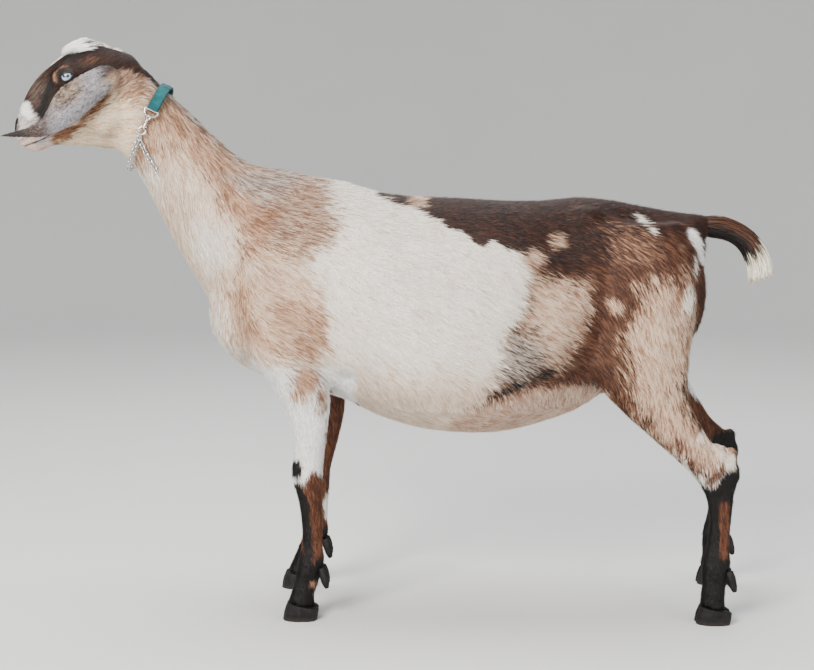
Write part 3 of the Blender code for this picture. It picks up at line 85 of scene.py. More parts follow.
def paint(red: int, green: int, blue: int) -> Colour:
    """Turn a colour as a screen shows it, 0 to 255, into the shader's linear one."""
    values = []
    for part in (red, green, blue):
        share = part / 255.0
        values.append(share / 12.92 if share <= 0.04045 else ((share + 0.055) / 1.055) ** 2.4)
    return values[0], values[1], values[2]


def unit(vectors: np.ndarray) -> np.ndarray:
    """Return vectors brought to length one."""
    return vectors / np.maximum(np.linalg.norm(vectors, axis=-1, keepdims=True), 1e-9)


def step(values: np.ndarray, low: float, high: float) -> np.ndarray:
    """Return 0 below low, 1 above high and a smooth rise between them."""
    f = np.clip((values - low) / (high - low), 0.0, 1.0)
    return f * f * (3.0 - 2.0 * f)


def ramp(depth: np.ndarray, edge: float) -> np.ndarray:
    """Return 0 outside, 1 inside and a straight rise of width edge where depth is zero."""
    return np.clip(depth / edge + 0.5, 0.0, 1.0)


def toward(values: np.ndarray, goal: Any, share: np.ndarray) -> np.ndarray:
    """Return rows of values moved towards goal, each by its own share."""
    return values + (np.array(goal) - values) * share[:, None]


def hump(values: np.ndarray, width: np.ndarray | float) -> np.ndarray:
    """Return 1 where values are zero and a smooth fall to 0 on both sides."""
    return np.exp(-((values / width) ** 2))


def picked(share: np.ndarray | float, own: np.ndarray, crisp: float) -> np.ndarray:
    """Return 1 for tufts whose own number is below share and 0 above it, with a short slope between."""
    return np.clip((share - own) * crisp + 0.5, 0.0, 1.0)


def along_surface(ways: np.ndarray, normals: np.ndarray) -> np.ndarray:
    """Return directions laid flat on the surface that has these normals."""
    return unit(ways - normals * np.sum(ways * normals, axis=1)[:, None])


def read_rows(at: np.ndarray | float, grid: np.ndarray, table: np.ndarray) -> np.ndarray:
    """Return the rows of a table at places between the steps of its grid."""
    return np.stack([np.interp(at, grid, column) for column in table.T], axis=-1)


def axes(x: Vector, y: Vector, z: Vector, origin: Vector) -> Matrix:
    """Return the frame with these axes and this origin."""
    frame = Matrix((x, y, z)).transposed().to_4x4()
    frame.translation = origin
    return frame


def in_frame(frame: Matrix, points: np.ndarray) -> np.ndarray:
    """Return points in a frame's own coordinates."""
    back = np.array(frame.inverted())
    return points @ back[:3, :3].T + back[:3, 3]


def from_line(places: np.ndarray, line: Sequence[Sequence[float]]) -> tuple[np.ndarray, np.ndarray]:
    """Measure places against a line of straight stretches.

    Args:
        places: the places, one a row.
        line: the line's corners, as many numbers each as a place.

    Returns:
        How far each place lies from the line, and the share of the line up to its nearest spot.
    """
    corners = np.array(line)
    nearest, reach = np.full(len(places), FAR), np.zeros(len(places))
    for k, (start, end) in enumerate(zip(corners[:-1], corners[1:])):
        way = end - start
        f = np.clip(((places - start) @ way) / (way @ way), 0.0, 1.0)
        away = np.linalg.norm(places - start - f[:, None] * way, axis=1)
        reach = np.where(away < nearest, (k + f) / (len(corners) - 1), reach)
        nearest = np.minimum(nearest, away)
    return nearest, reach


def oval(centre: Vector, first: Vector, second: Vector, halves: Pair,
         turns: Iterable[float]) -> list[Vector]:
    """Return places on an oval.

    Args:
        centre: the oval's centre.
        first: the way in which the turn starts.
        second: the way that it comes to after a quarter turn.
        halves: half the oval's length in these two ways.
        turns: the angle of each place.

    Returns:
        The places.
    """
    return [centre + first * (halves[0] * math.cos(turn)) + second * (halves[1] * math.sin(turn))
            for turn in turns]


def circle(count: int) -> list[float]:
    """Return the angles of count even steps round a circle."""
    return [2.0 * math.pi * k / count for k in range(count)]


class Noise:
    """Smooth random values through space, the same on each run."""

    def __init__(self, seed: int, size: int = 32) -> None:
        """Fill a lattice with seeded random values."""
        self.size = size
        self.table = np.random.default_rng(seed).random((size, size, size)) * 2.0 - 1.0

    def at(self, points: np.ndarray, scale: float) -> np.ndarray:
        """Read the noise at points.

        Args:
            points: places, one a row.
            scale: size of one swell in metres.

        Returns:
            A value from -1 to 1 for each point.
        """
        place = points / scale
        cell = np.floor(place).astype(np.int64)
        f = place - cell
        f = f * f * (3.0 - 2.0 * f)
        total = np.zeros(len(points))
        for corner in range(8):
            offset = np.array((corner & 1, (corner >> 1) & 1, (corner >> 2) & 1))
            index = (cell + offset) % self.size
            weight = np.prod(np.where(offset == 1, f, 1.0 - f), axis=1)
            total += self.table[index[:, 0], index[:, 1], index[:, 2]] * weight
        return total


def ranked(values: np.ndarray) -> np.ndarray:
    """Spread values evenly from 0 to 1, in their own order."""
    order = np.empty(len(values))
    order[np.argsort(values)] = (np.arange(len(values)) + 0.5) / max(len(values), 1)
    return order


def streaks(points: np.ndarray, lie: np.ndarray, seed: int, own: np.ndarray) -> np.ndarray:
    """Give neighbours along the lie of the hair like numbers, so that tones fall in streaks.

    Args:
        points: roots of the tufts.
        lie: the lie at each root.
        seed: seed of the noise.
        own: a random number for each tuft.

    Returns:
        Numbers spread evenly from 0 to 1.
    """
    noise = Noise(seed)
    total = np.zeros(len(points))
    for reach in np.linspace(-STREAK_HALF, STREAK_HALF, 5):
        total += noise.at(points + lie * reach, STREAK_WIDTH)
    total /= np.std(total) + 1e-9
    return ranked(total + (own - 0.5) * STREAK_STRAY)


# Mesh helpers


def new_object(name: str, mesh: bpy.types.Mesh) -> bpy.types.Object:
    """Put a mesh into the scene as an object at the origin."""
    thing = bpy.data.objects.new(name, mesh)
    bpy.context.scene.collection.objects.link(thing)
    return thing


def remove(thing: bpy.types.Object) -> None:
    """Delete an object and its mesh."""
    mesh = thing.data
    bpy.data.objects.remove(thing)
    bpy.data.meshes.remove(mesh)


def mesh_object(name: str, points: Iterable[Sequence[float]], faces: Iterable[Sequence[int]],
                smooth: bool = True) -> bpy.types.Object:
    """Make an object from points and faces, its faces pointing out.

    Args:
        name: the object's name.
        points: places in metres.
        faces: the points of each face.
        smooth: whether the surface is shaded smooth.

    Returns:
        The new object.
    """
    mesh = bpy.data.meshes.new(name)
    mesh.from_pydata([tuple(point) for point in points], [], [tuple(face) for face in faces])
    built = bmesh.new()
    built.from_mesh(mesh)
    bmesh.ops.remove_doubles(built, verts=built.verts, dist=1e-7)
    bmesh.ops.recalc_face_normals(built, faces=built.faces)
    built.to_mesh(mesh)
    built.free()
    mesh.shade_smooth() if smooth else mesh.shade_flat()
    return new_object(name, mesh)


def arrays(mesh: bpy.types.Mesh) -> tuple[np.ndarray, np.ndarray]:
    """Return a mesh's points and normals, one a row."""
    points = np.empty(len(mesh.vertices) * 3, dtype=np.float32)
    normals = np.empty(len(mesh.vertices) * 3, dtype=np.float32)
    mesh.vertices.foreach_get("co", points)
    mesh.vertices.foreach_get("normal", normals)
    return points.reshape(-1, 3).astype(float), normals.reshape(-1, 3).astype(float)


def set_points(mesh: bpy.types.Mesh, points: np.ndarray) -> None:
    """Move a mesh's points."""
    mesh.vertices.foreach_set("co", points.astype(np.float32).ravel())
    mesh.update()


def store(mesh: bpy.types.Mesh, name: str, kind: str, values: np.ndarray, domain: str = "POINT") -> None:
    """Write an attribute of a mesh.

    Args:
        mesh: the mesh.
        name: the attribute's name.
        kind: its Blender type, such as FLOAT_VECTOR.
        values: one value or row for each element.
        domain: what carries it.
    """
    if name in mesh.attributes:
        mesh.attributes.remove(mesh.attributes[name])
    made = mesh.attributes.new(name, kind, domain)
    if kind == "FLOAT_COLOR":
        values = np.hstack([values, np.ones((len(values), 1))])
    fields = {"FLOAT": "value", "INT": "value", "FLOAT_VECTOR": "vector", "FLOAT_COLOR": "color"}
    kinds = np.int32 if kind == "INT" else np.float32
    made.data.foreach_set(fields[kind], np.ascontiguousarray(values, dtype=kinds).ravel())


def fetch(mesh: bpy.types.Mesh, name: str, width: int) -> np.ndarray:
    """Read an attribute of a mesh's points, width numbers each."""
    values = np.empty(len(mesh.vertices) * width, dtype=np.float32)
    mesh.attributes[name].data.foreach_get("value" if width == 1 else "vector", values)
    return values.reshape(-1, width) if width > 1 else values


def evaluated(thing: bpy.types.Object, name: str) -> bpy.types.Mesh:
    """Return the mesh that an object's modifiers make."""
    graph = bpy.context.evaluated_depsgraph_get()
    made = bpy.data.meshes.new_from_object(thing.evaluated_get(graph))
    made.name = name
    return made


def bake_modifiers(thing: bpy.types.Object) -> None:
    """Replace an object's mesh by the one that its modifiers make."""
    made = evaluated(thing, thing.name)
    old = thing.data
    thing.modifiers.clear()
    thing.data = made
    bpy.data.meshes.remove(old)


def rounded(thing: bpy.types.Object) -> None:
    """Round an object's mesh by one level of subdivision."""
    modifier = thing.modifiers.new("round", "SUBSURF")
    modifier.levels = modifier.render_levels = 1
    bake_modifiers(thing)


def voxels(thing: bpy.types.Object, size: float) -> None:
    """Fuse an object's closed shells into one even surface."""
    modifier = thing.modifiers.new("fuse", "REMESH")
    modifier.mode = "VOXEL"
    modifier.voxel_size = size
    bake_modifiers(thing)


def relax(mesh: bpy.types.Mesh, weight: np.ndarray | float, rounds: int, regrow: float = 0.5) -> None:
    """Even out a surface.

    Args:
        mesh: the mesh.
        weight: how strongly each point moves, 0 to 1.
        rounds: how many rounds of shrinking, each followed by one of growing back.
        regrow: the strength of growing back.
    """
    points, _ = arrays(mesh)
    count = len(points)
    ends = np.empty(len(mesh.edges) * 2, dtype=np.int32)
    mesh.edges.foreach_get("vertices", ends)
    first, second = ends.reshape(-1, 2).T
    valence = np.bincount(first, minlength=count) + np.bincount(second, minlength=count)
    weight = np.broadcast_to(weight, count)
    for turn in range(rounds * 2):
        factor = 0.5 if turn % 2 == 0 else -regrow
        mean = np.stack([np.bincount(first, points[second, axis], count)
                         + np.bincount(second, points[first, axis], count) for axis in range(3)], axis=1)
        points = points + (mean / valence[:, None] - points) * (factor * weight)[:, None]
    set_points(mesh, points)


def loose_copy(node: str, swell: float = 0.0) -> bmesh.types.BMesh:
    """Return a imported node's surface, merged and moved outwards by swell."""
    built = bmesh.new()
    built.from_mesh(FRAME["nodes"][node].data)
    bmesh.ops.remove_doubles(built, verts=built.verts, dist=1e-6)
    built.normal_update()
    for vertex in built.verts:
        vertex.co += vertex.normal * swell
    return built


def joined(name: str, pieces: Iterable[bmesh.types.BMesh]) -> bpy.types.Object:
    """Put several surfaces into one object, without fusing them."""
    mesh = bpy.data.meshes.new(name)
    whole = bmesh.new()
    for piece in pieces:
        piece.to_mesh(mesh)
        piece.free()
        whole.from_mesh(mesh)
    whole.to_mesh(mesh)
    whole.free()
    return new_object(name, mesh)


def tree_of(things: Iterable[bpy.types.Object]) -> BVHTree:
    """Return one search tree of several objects at the origin."""
    built = bmesh.new()
    for thing in things:
        built.from_mesh(thing.data)
    tree = BVHTree.FromBMesh(built)
    built.free()
    return tree


def loft_data(rings: Sequence[np.ndarray], closed: bool = False) -> Loft:
    """Bridge a row of rings.

    Args:
        rings: rings of as many points each.
        closed: whether the last ring meets the first; otherwise both ends get a fan.

    Returns:
        The points and the faces.
    """
    rings = [np.asarray(ring, dtype=float) for ring in rings]
    count, levels = len(rings[0]), len(rings)
    faces: list[tuple[int, ...]] = []
    for level in range(levels if closed else levels - 1):
        low, high = level * count, (level + 1) % levels * count
        for k in range(count):
            after = (k + 1) % count
            faces.append((low + k, low + after, high + after, high + k))
    points = np.vstack(rings)
    if not closed:
        points = np.vstack([points, rings[0].mean(axis=0)[None], rings[-1].mean(axis=0)[None]])
        first, last, final = levels * count, levels * count + 1, (levels - 1) * count
        for k in range(count):
            after = (k + 1) % count
            faces.append((first, after, k))
            faces.append((last, final + k, final + after))
    return points, faces


def tube_rings(path: Sequence[Vector], radii: Sequence[float], flat: Vector, sides: int,
               closed: bool = False) -> list[np.ndarray]:
    """Return round sections along a path that stays nearly square to flat."""
    rings = []
    count = len(path)
    for k, place in enumerate(path):
        ahead = path[(k + 1) % count] if closed else path[min(k + 1, count - 1)]
        behind = path[k - 1] if closed else path[max(k - 1, 0)]
        along = (ahead - behind).normalized()
        out = along.cross(flat).normalized()
        up = out.cross(along)
        rings.append(np.array([place + (up * math.cos(a) + out * math.sin(a)) * radii[k]
                               for a in circle(sides)]))
    return rings


def smooth_rows(rows: Sequence[Sequence[float]], count: int) -> np.ndarray:
    """Read count rows off the smooth curve through a table's rows."""
    table = np.array(rows, dtype=float)
    knots = np.concatenate(([0.0], np.cumsum(np.linalg.norm(np.diff(table[:, :2], axis=0), axis=1))))
    slopes = np.gradient(table, knots, axis=0)
    wanted = np.linspace(0.0, knots[-1], count)
    index = np.clip(np.searchsorted(knots, wanted, side="right") - 1, 0, len(knots) - 2)
    span = (knots[index + 1] - knots[index])[:, None]
    f = (wanted - knots[index])[:, None] / span
    start, end = table[index], table[index + 1]
    return (start * (2 * f**3 - 3 * f**2 + 1) + slopes[index] * span * (f**3 - 2 * f**2 + f)
            + end * (3 * f**2 - 2 * f**3) + slopes[index + 1] * span * (f**3 - f**2))


class Places:
    """Where the part's own frame and the head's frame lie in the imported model's frame."""

    head_origin = Vector((-0.4232, 0.0, 0.8452))
    head_yaw = math.radians(15.0)
    head_drop = math.radians(30.0)
    # Lowest corner of the near fore claw in the part's own frame.
    claw_corner = Vector((-0.1655, -0.1183, -0.0100))

    def __init__(self) -> None:
        """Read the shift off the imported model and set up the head's frame."""
        self.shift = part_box("hoof_fore_left_outer")[0] - self.claw_corner
        yaw_c, yaw_s = math.cos(self.head_yaw), math.sin(self.head_yaw)
        drop_c, drop_s = math.cos(self.head_drop), math.sin(self.head_drop)
        face = Vector((-yaw_c * drop_c, -yaw_s * drop_c, -drop_s))
        left = Vector((yaw_s, -yaw_c, 0.0))
        self.head = axes(face, left, face.cross(left), self.head_origin + self.shift)

    def world(self, x: float, y: float, z: float) -> Vector:
        """Move a place of the part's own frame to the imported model's."""
        return Vector((x, y, z)) + self.shift

    def own(self, points: np.ndarray) -> np.ndarray:
        """Move points back to the part's own frame."""
        return points - np.array(self.shift)

    def on_head(self, u: float, v: float, w: float) -> Vector:
        """Turn a place of the head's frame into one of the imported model's."""
        return self.head @ Vector((u, v, w))

    def head_way(self, u: float, v: float, w: float) -> Vector:
        """Turn a direction of the head's frame."""
        return self.head.to_3x3() @ Vector((u, v, w))

    def in_head(self, points: np.ndarray) -> np.ndarray:
        """Return points in the head's frame."""
        return in_frame(self.head, points)


# Node building


class Wire:
    """A node's socket that Python's arithmetic works on."""

    def __init__(self, bench: "Bench", socket: bpy.types.NodeSocket) -> None:
        """Wrap one output socket of the bench's tree."""
        self.bench = bench
        self.socket = socket

    def _math(self, operation: str, first: Any, second: Any) -> "Wire":
        """Add one Math node."""
        return self.bench.make("ShaderNodeMath", 0, {"operation": operation}, {0: first, 1: second})

    def __add__(self, other: Any) -> "Wire":
        """Add."""
        return self._math("ADD", self, other)

    __radd__ = __add__

    def __sub__(self, other: Any) -> "Wire":
        """Take away."""
        return self._math("SUBTRACT", self, other)

    def __rsub__(self, other: Any) -> "Wire":
        """Take away from a number."""
        return self._math("SUBTRACT", other, self)

    def __mul__(self, other: Any) -> "Wire":
        """Multiply."""
        return self._math("MULTIPLY", self, other)

    __rmul__ = __mul__

    def __truediv__(self, other: Any) -> "Wire":
        """Divide."""
        return self._math("DIVIDE", self, other)

    def __pow__(self, other: Any) -> "Wire":
        """Raise to a power."""
        return self._math("POWER", self, other)

    def __abs__(self) -> "Wire":
        """Drop the sign."""
        return self._math("ABSOLUTE", self, 0.0)

    def rise(self, low: float, high: float) -> "Wire":
        """Return 0 below low, 1 above high and a smooth rise between them."""
        return self.bench.make("ShaderNodeMapRange", 0, {"interpolation_type": "SMOOTHSTEP"},
                               {"Value": self, "From Min": low, "From Max": high})


class Bench:
    """Adds nodes to one tree, shader or geometry."""

    def __init__(self, tree: bpy.types.NodeTree) -> None:
        """Work on an empty tree."""
        self.tree = tree

    def node(self, kind: str, settings: dict[str, Any], inputs: dict[Any, Any]) -> bpy.types.Node:
        """Add one node.

        Args:
            kind: the node's type.
            settings: its own settings, set before its sockets.
            inputs: values or wires of its sockets, by name or number.

        Returns:
            The node.
        """
        made = self.tree.nodes.new(kind)
        for name, value in settings.items():
            setattr(made, name, value)
        for key, value in inputs.items():
            socket = made.inputs[key]
            if isinstance(value, Wire):
                self.tree.links.new(value.socket, socket)
            elif value is not None:
                socket.default_value = value
        return made

    def make(self, kind: str, output: str | int, settings: dict[str, Any] | None = None,
             inputs: dict[Any, Any] | None = None) -> Wire:
        """Add one node and return one of its outputs as a wire."""
        return Wire(self, self.node(kind, settings or {}, inputs or {}).outputs[output])


class GeometryBench(Bench):
    """Builds one tree of geometry nodes that sets copies of a shape on places."""

    def __init__(self, name: str, inputs: dict[str, str]) -> None:
        """Start a tree.

        Args:
            name: the tree's name.
            inputs: the kind of each input, by name, besides the geometry and the finish.
        """
        super().__init__(bpy.data.node_groups.new(name, "GeometryNodeTree"))
        for key, kind in {"Geometry": "Geometry", **inputs, "Finish": "Material"}.items():
            self.tree.interface.new_socket(key, in_out="INPUT", socket_type=f"NodeSocket{kind}")
        self.tree.interface.new_socket("Geometry", in_out="OUTPUT", socket_type="NodeSocketGeometry")
        group = self.node("NodeGroupInput", {}, {})
        self.given = {socket.name: Wire(self, socket) for socket in group.outputs if socket.name}

    def named(self, name: str, kind: str = "FLOAT") -> Wire:
        """Read one attribute."""
        return self.make("GeometryNodeInputNamedAttribute", 0, {"data_type": kind}, {"Name": name})

    def stored(self, geometry: Wire, name: str, value: Wire, kind: str = "FLOAT_VECTOR") -> Wire:
        """Write one attribute of a geometry's points."""
        return self.make("GeometryNodeStoreNamedAttribute", 0, {"data_type": kind, "domain": "POINT"},
                         {"Geometry": geometry, "Name": name, "Value": value})

    def drawn(self, seed: int, low: float = 0.0, high: float = 1.0) -> Wire:
        """Draw a number from low to high for each element."""
        return self.make("FunctionNodeRandomValue", 1, {"data_type": "FLOAT"},
                         {2: low, 3: high, "Seed": seed})

    def vector(self, operation: str, inputs: dict[Any, Any]) -> Wire:
        """Add one Vector Math node."""
        return self.make("ShaderNodeVectorMath", 0, {"operation": operation}, inputs)

    def joined_up(self, x: Any, y: Any, z: Any) -> Wire:
        """Return the vector of three numbers."""
        return self.make("ShaderNodeCombineXYZ", 0, {}, {0: x, 1: y, 2: z})

    def turned(self, along: Wire, facing: Wire) -> Wire:
        """Return the turn that brings Z to along and X near facing."""
        kind = "FunctionNodeAlignRotationToVector"
        turn = self.make(kind, 0, {"axis": "Z"}, {"Vector": along})
        return self.make(kind, 0, {"axis": "X", "pivot_axis": "Z"}, {"Rotation": turn, "Vector": facing})

    def close(self, places: Wire, shape: Wire, turn: Wire, size: Wire) -> bpy.types.NodeTree:
        """Set the shape on each place, make the copies real and end the tree.

        Args:
            places: the points that carry the copies.
            shape: the mesh that is copied.
            turn: each copy's turn.
            size: each copy's scale along its own axes.

        Returns:
            The tree.
        """
        made = self.make("GeometryNodeInstanceOnPoints", 0, {},
                         {"Points": places, "Instance": shape, "Rotation": turn, "Scale": size})
        made = self.make("GeometryNodeRealizeInstances", 0, {}, {"Geometry": made})
        made = self.make("GeometryNodeSetMaterial", 0, {},
                         {"Geometry": made, "Material": self.given["Finish"]})
        self.node("NodeGroupOutput", {}, {0: made})
        return self.tree


def run_tree(holder: bpy.types.Object, tree: bpy.types.NodeTree, name: str,
             values: dict[str, Any]) -> bpy.types.Mesh:
    """Run a geometry tree on an object and return the plain mesh that it makes.

    Args:
        holder: the object that the tree starts from.
        tree: the geometry nodes.
        name: the new mesh's name.
        values: the tree's inputs by name.

    Returns:
        The mesh, with the modifier removed from the holder.
    """
    modifier = holder.modifiers.new("tree", "NODES")
    modifier.node_group = tree
    sockets = {item.name: item.identifier for item in tree.interface.items_tree if item.in_out == "INPUT"}
    for key, value in values.items():
        modifier[sockets[key]] = value
    made = evaluated(holder, name)
    holder.modifiers.clear()
    return made


class ShaderBench(Bench):
    """Builds one material."""

    def __init__(self, name: str) -> None:
        """Start a material with an empty tree."""
        self.material = bpy.data.materials.new(name)
        self.material.use_nodes = True
        super().__init__(self.material.node_tree)
        self.tree.nodes.clear()

    def place(self) -> Wire:
        """Return the Object coordinates."""
        return self.make("ShaderNodeTexCoord", "Object")

    def attribute(self, name: str, output: str = "Color") -> Wire:
        """Return an attribute of the mesh."""
        return self.make("ShaderNodeAttribute", output, {"attribute_name": name})

    def split(self, vector: Wire) -> tuple[Wire, Wire, Wire]:
        """Return the three numbers of a vector."""
        node = self.node("ShaderNodeSeparateXYZ", {}, {0: vector})
        return Wire(self, node.outputs[0]), Wire(self, node.outputs[1]), Wire(self, node.outputs[2])

    def noise(self, vector: Wire, scale: float, detail: float = 3.0, roughness: float = 0.55) -> Wire:
        """Return noise with so many swells a metre."""
        return self.make("ShaderNodeTexNoise", "Fac", {},
                         {"Vector": vector, "Scale": scale, "Detail": detail, "Roughness": roughness})

    def stretched(self, vector: Wire, scale: Triple, turn: Triple = (0.0, 0.0, 0.0)) -> Wire:
        """Return a vector turned and scaled along its axes."""
        return self.make("ShaderNodeMapping", 0, {}, {"Vector": vector, "Scale": scale, "Rotation": turn})

    def mixed(self, factor: Any, first: Any, second: Any, blend: str = "MIX") -> Wire:
        """Return a mix of two colours."""
        colours = [(*item, 1.0) if isinstance(item, tuple) else item for item in (first, second)]
        return self.make("ShaderNodeMix", 2, {"data_type": "RGBA", "blend_type": blend},
                         {0: factor, 6: colours[0], 7: colours[1]})

    def bump(self, height: Wire, depth: float, below: Wire | None = None) -> Wire:
        """Return a normal that stands up by depth metres where height is one."""
        return self.make("ShaderNodeBump", 0, {}, {"Height": height, "Distance": depth, "Strength": 1.0,
                                                   "Normal": below})

    def finish(self, inputs: dict[str, Any]) -> bpy.types.Material:
        """Close the material with one Principled shader and return it."""
        filled = {key: (*value, 1.0) if key in ("Base Color", "Specular Tint", "Sheen Tint")
                  and isinstance(value, tuple) else value for key, value in inputs.items()}
        shader = self.make("ShaderNodeBsdfPrincipled", 0, {}, filled)
        self.node("ShaderNodeOutputMaterial", {}, {"Surface": shader})
        return self.material


# Finishes


def skin_finish(roughness: float = 0.72, relief: float = 0.0006) -> bpy.types.Material:
    """Return skin seen between the tufts, in the coat's own colours, with short hair as relief."""
    bench = ShaderBench("skin")
    place = bench.place()
    hairs = bench.noise(bench.stretched(place, (420.0, 420.0, 120.0), (0.0, 0.5, 0.0)), 1.0, 3.0)
    colour = bench.attribute("coat_colour")
    colour = bench.mixed(hairs.rise(0.35, 0.7) * 0.5, colour, (0.55, 0.50, 0.46), "MULTIPLY")
    pores = bench.noise(place, 900.0, 2.0)
    normal = bench.bump(hairs + pores * 0.3, relief)
    wet = bench.attribute("wet", "Fac")
    return bench.finish({"Base Color": colour, "Roughness": roughness - wet * 0.38,
                         "Specular IOR Level": 0.35, "Normal": normal})


def coat_finish(name: str = "coat", roughness: float = 0.52, painted_root_shade: float = 0.48, sheen: float = 0.02,
                tip_shade: float = 1.12) -> bpy.types.Material:
    """Return goat hair: darker at the root as painted shade of the coat's depth, paler at the tip."""
    bench = ShaderBench(name)
    colour = bench.attribute("coat_colour")
    along = bench.attribute("along", "Fac")
    # Painted shade: the hair darkens towards its root, where along is low, and pales towards its tip.
    shade = along * (tip_shade - painted_root_shade) + painted_root_shade
    grain = bench.noise(bench.place(), 700.0, 2.0)
    shade = shade * (grain * 0.30 + 0.85)
    grey = bench.make("ShaderNodeCombineColor", 0, {}, {0: shade, 1: shade, 2: shade})
    colour = bench.mixed(1.0, colour, grey, "MULTIPLY")
    return bench.finish({"Base Color": colour, "Roughness": roughness,
                         "Specular IOR Level": 0.24, "Sheen Weight": sheen,
                         "Sheen Roughness": 0.45})


def horn_finish(horn: Colour = paint(14, 12, 13), pale: Colour = paint(32, 29, 29),
                dust: Colour = paint(58, 52, 47)) -> bpy.types.Material:
    """Return dull dark claw horn with growth rings and dust at the sole."""
    bench = ShaderBench("claw_horn")
    place = bench.place()
    _, _, height = bench.split(place)
    warp = bench.noise(place, 45.0, 2.0)
    rings = bench.noise(bench.stretched(place, (30.0, 30.0, 520.0)), 1.0, 2.0)
    fibres = bench.noise(bench.stretched(place, (420.0, 420.0, 90.0)), 1.0, 3.0)
    colour = bench.mixed((fibres * 0.5 + warp * 0.5).rise(0.35, 0.70), horn, pale)
    blotch = bench.noise(place, 160.0, 3.0)
    low = (1.0 - height.rise(0.001, 0.009)) * 0.4 + blotch.rise(0.5, 0.75) * 0.2
    colour = bench.mixed(low, colour, dust)
    normal = bench.bump(rings + fibres * 0.35 + blotch * 0.4, 0.0004)
    return bench.finish({"Base Color": colour, "Roughness": blotch * 0.25 + 0.50,
                         "Specular IOR Level": 0.18, "Normal": normal})


def eye_finish(iris: Colour = paint(190, 206, 222), inner: Colour = paint(112, 136, 166),
               rim: Colour = paint(34, 30, 32), pupil: Colour = paint(10, 12, 22), iris_reach: float = 0.53,
               pupil_half: Pair = (0.38, 0.135)) -> bpy.types.Material:
    """Return a polished glass eye: pale blue iris, level slit pupil and dark rim."""
    bench = ShaderBench("glass_eye")
    gaze = bench.attribute("gaze", "Vector")
    along, across, _ = bench.split(gaze)
    away = (along * along + across * across) ** 0.5
    turn = bench.make("ShaderNodeMath", 0, {"operation": "ARCTAN2"}, {0: across, 1: along})
    fan = bench.make("ShaderNodeCombineXYZ", 0, {}, {0: turn * 9.0, 1: away * 2.0})
    spokes = bench.make("ShaderNodeTexNoise", "Fac", {"noise_dimensions": "2D"},
                        {"Vector": fan, "Scale": 2.2, "Detail": 3.0})
    colour = bench.mixed(spokes.rise(0.35, 0.65), inner, iris)
    long, tall = pupil_half
    slit = ((abs(along) / long) ** 3.0 + (abs(across) / tall) ** 2.4).rise(0.75, 1.15)
    halo = ((abs(along) / (long * 1.25)) ** 3.0 + (abs(across) / (tall * 1.7)) ** 2.4).rise(0.6, 1.3)
    colour = bench.mixed(halo, inner, colour)
    colour = bench.mixed(slit, pupil, colour)
    colour = bench.mixed(away.rise(iris_reach - 0.07, iris_reach + 0.02), colour, rim)
    return bench.finish({"Base Color": colour, "Roughness": 0.22, "Specular IOR Level": 0.5,
                         "Coat Weight": 1.0, "Coat Roughness": 0.03})


def leather_finish(dye: Colour = paint(0, 92, 97), deep: Colour = paint(0, 68, 74),
                   edge: Colour = paint(0, 50, 56)) -> bpy.types.Material:
    """Return teal dyed leather with a fine grain, darker cut edges and a mottled tone."""
    bench = ShaderBench("teal_leather")
    place = bench.place()
    across, _, _ = bench.split(bench.attribute("strap_place", "Vector"))
    cells = bench.make("ShaderNodeTexVoronoi", "Distance", {"feature": "DISTANCE_TO_EDGE"},
                       {"Vector": place, "Scale": 1300.0})
    mottle = bench.noise(place, 90.0, 4.0)
    colour = bench.mixed(mottle.rise(0.35, 0.7), deep, dye)
    colour = bench.mixed(abs(across).rise(0.86, 0.99), colour, edge)
    normal = bench.bump(cells.rise(0.0, 0.12) + mottle * 0.6, 0.00012)
    return bench.finish({"Base Color": colour, "Roughness": mottle * 0.20 + 0.44,
                         "Specular IOR Level": 0.26, "Normal": normal})


def thread_finish(thread: Colour = paint(8, 18, 20)) -> bpy.types.Material:
    """Return dark waxed thread, twisted."""
    bench = ShaderBench("waxed_thread")
    twist = bench.noise(bench.stretched(bench.place(), (1500.0, 1500.0, 600.0)), 1.0, 2.0)
    colour = bench.mixed(twist.rise(0.3, 0.7), thread, paint(18, 38, 41))
    return bench.finish({"Base Color": colour, "Roughness": 0.6, "Normal": bench.bump(twist, 0.0002)})


def metal_finish(chrome: Colour = paint(198, 199, 203)) -> bpy.types.Material:
    """Return bright chrome with fine scratches and dull spots."""
    bench = ShaderBench("chrome")
    place = bench.place()
    scratches = bench.noise(bench.stretched(place, (3000.0, 700.0, 700.0)), 1.0, 2.0)
    spots = bench.noise(place, 260.0, 3.0)
    colour = bench.mixed(spots.rise(0.62, 0.8) * 0.4, chrome, paint(150, 148, 146))
    return bench.finish({"Base Color": colour, "Metallic": 1.0,
                         "Roughness": spots * 0.16 + scratches * 0.10 + 0.06,
                         "Normal": bench.bump(scratches + spots, 0.00004)})


def floor_finish(pale: Colour = paint(206, 208, 208)) -> bpy.types.Material:
    """Return a matt pale studio floor."""
    bench = ShaderBench("studio_floor")
    cloud = bench.noise(bench.place(), 1.3, 3.0)
    colour = bench.mixed(cloud, pale, paint(214, 215, 214))
    return bench.finish({"Base Color": colour, "Roughness": 0.85, "Specular IOR Level": 0.2})


# Markings


@dataclass(frozen=True)
class Tone:
    """Two colours of hair that grow mixed, and the share of the paler one."""

    dark: Colour
    pale: Colour
    share: float


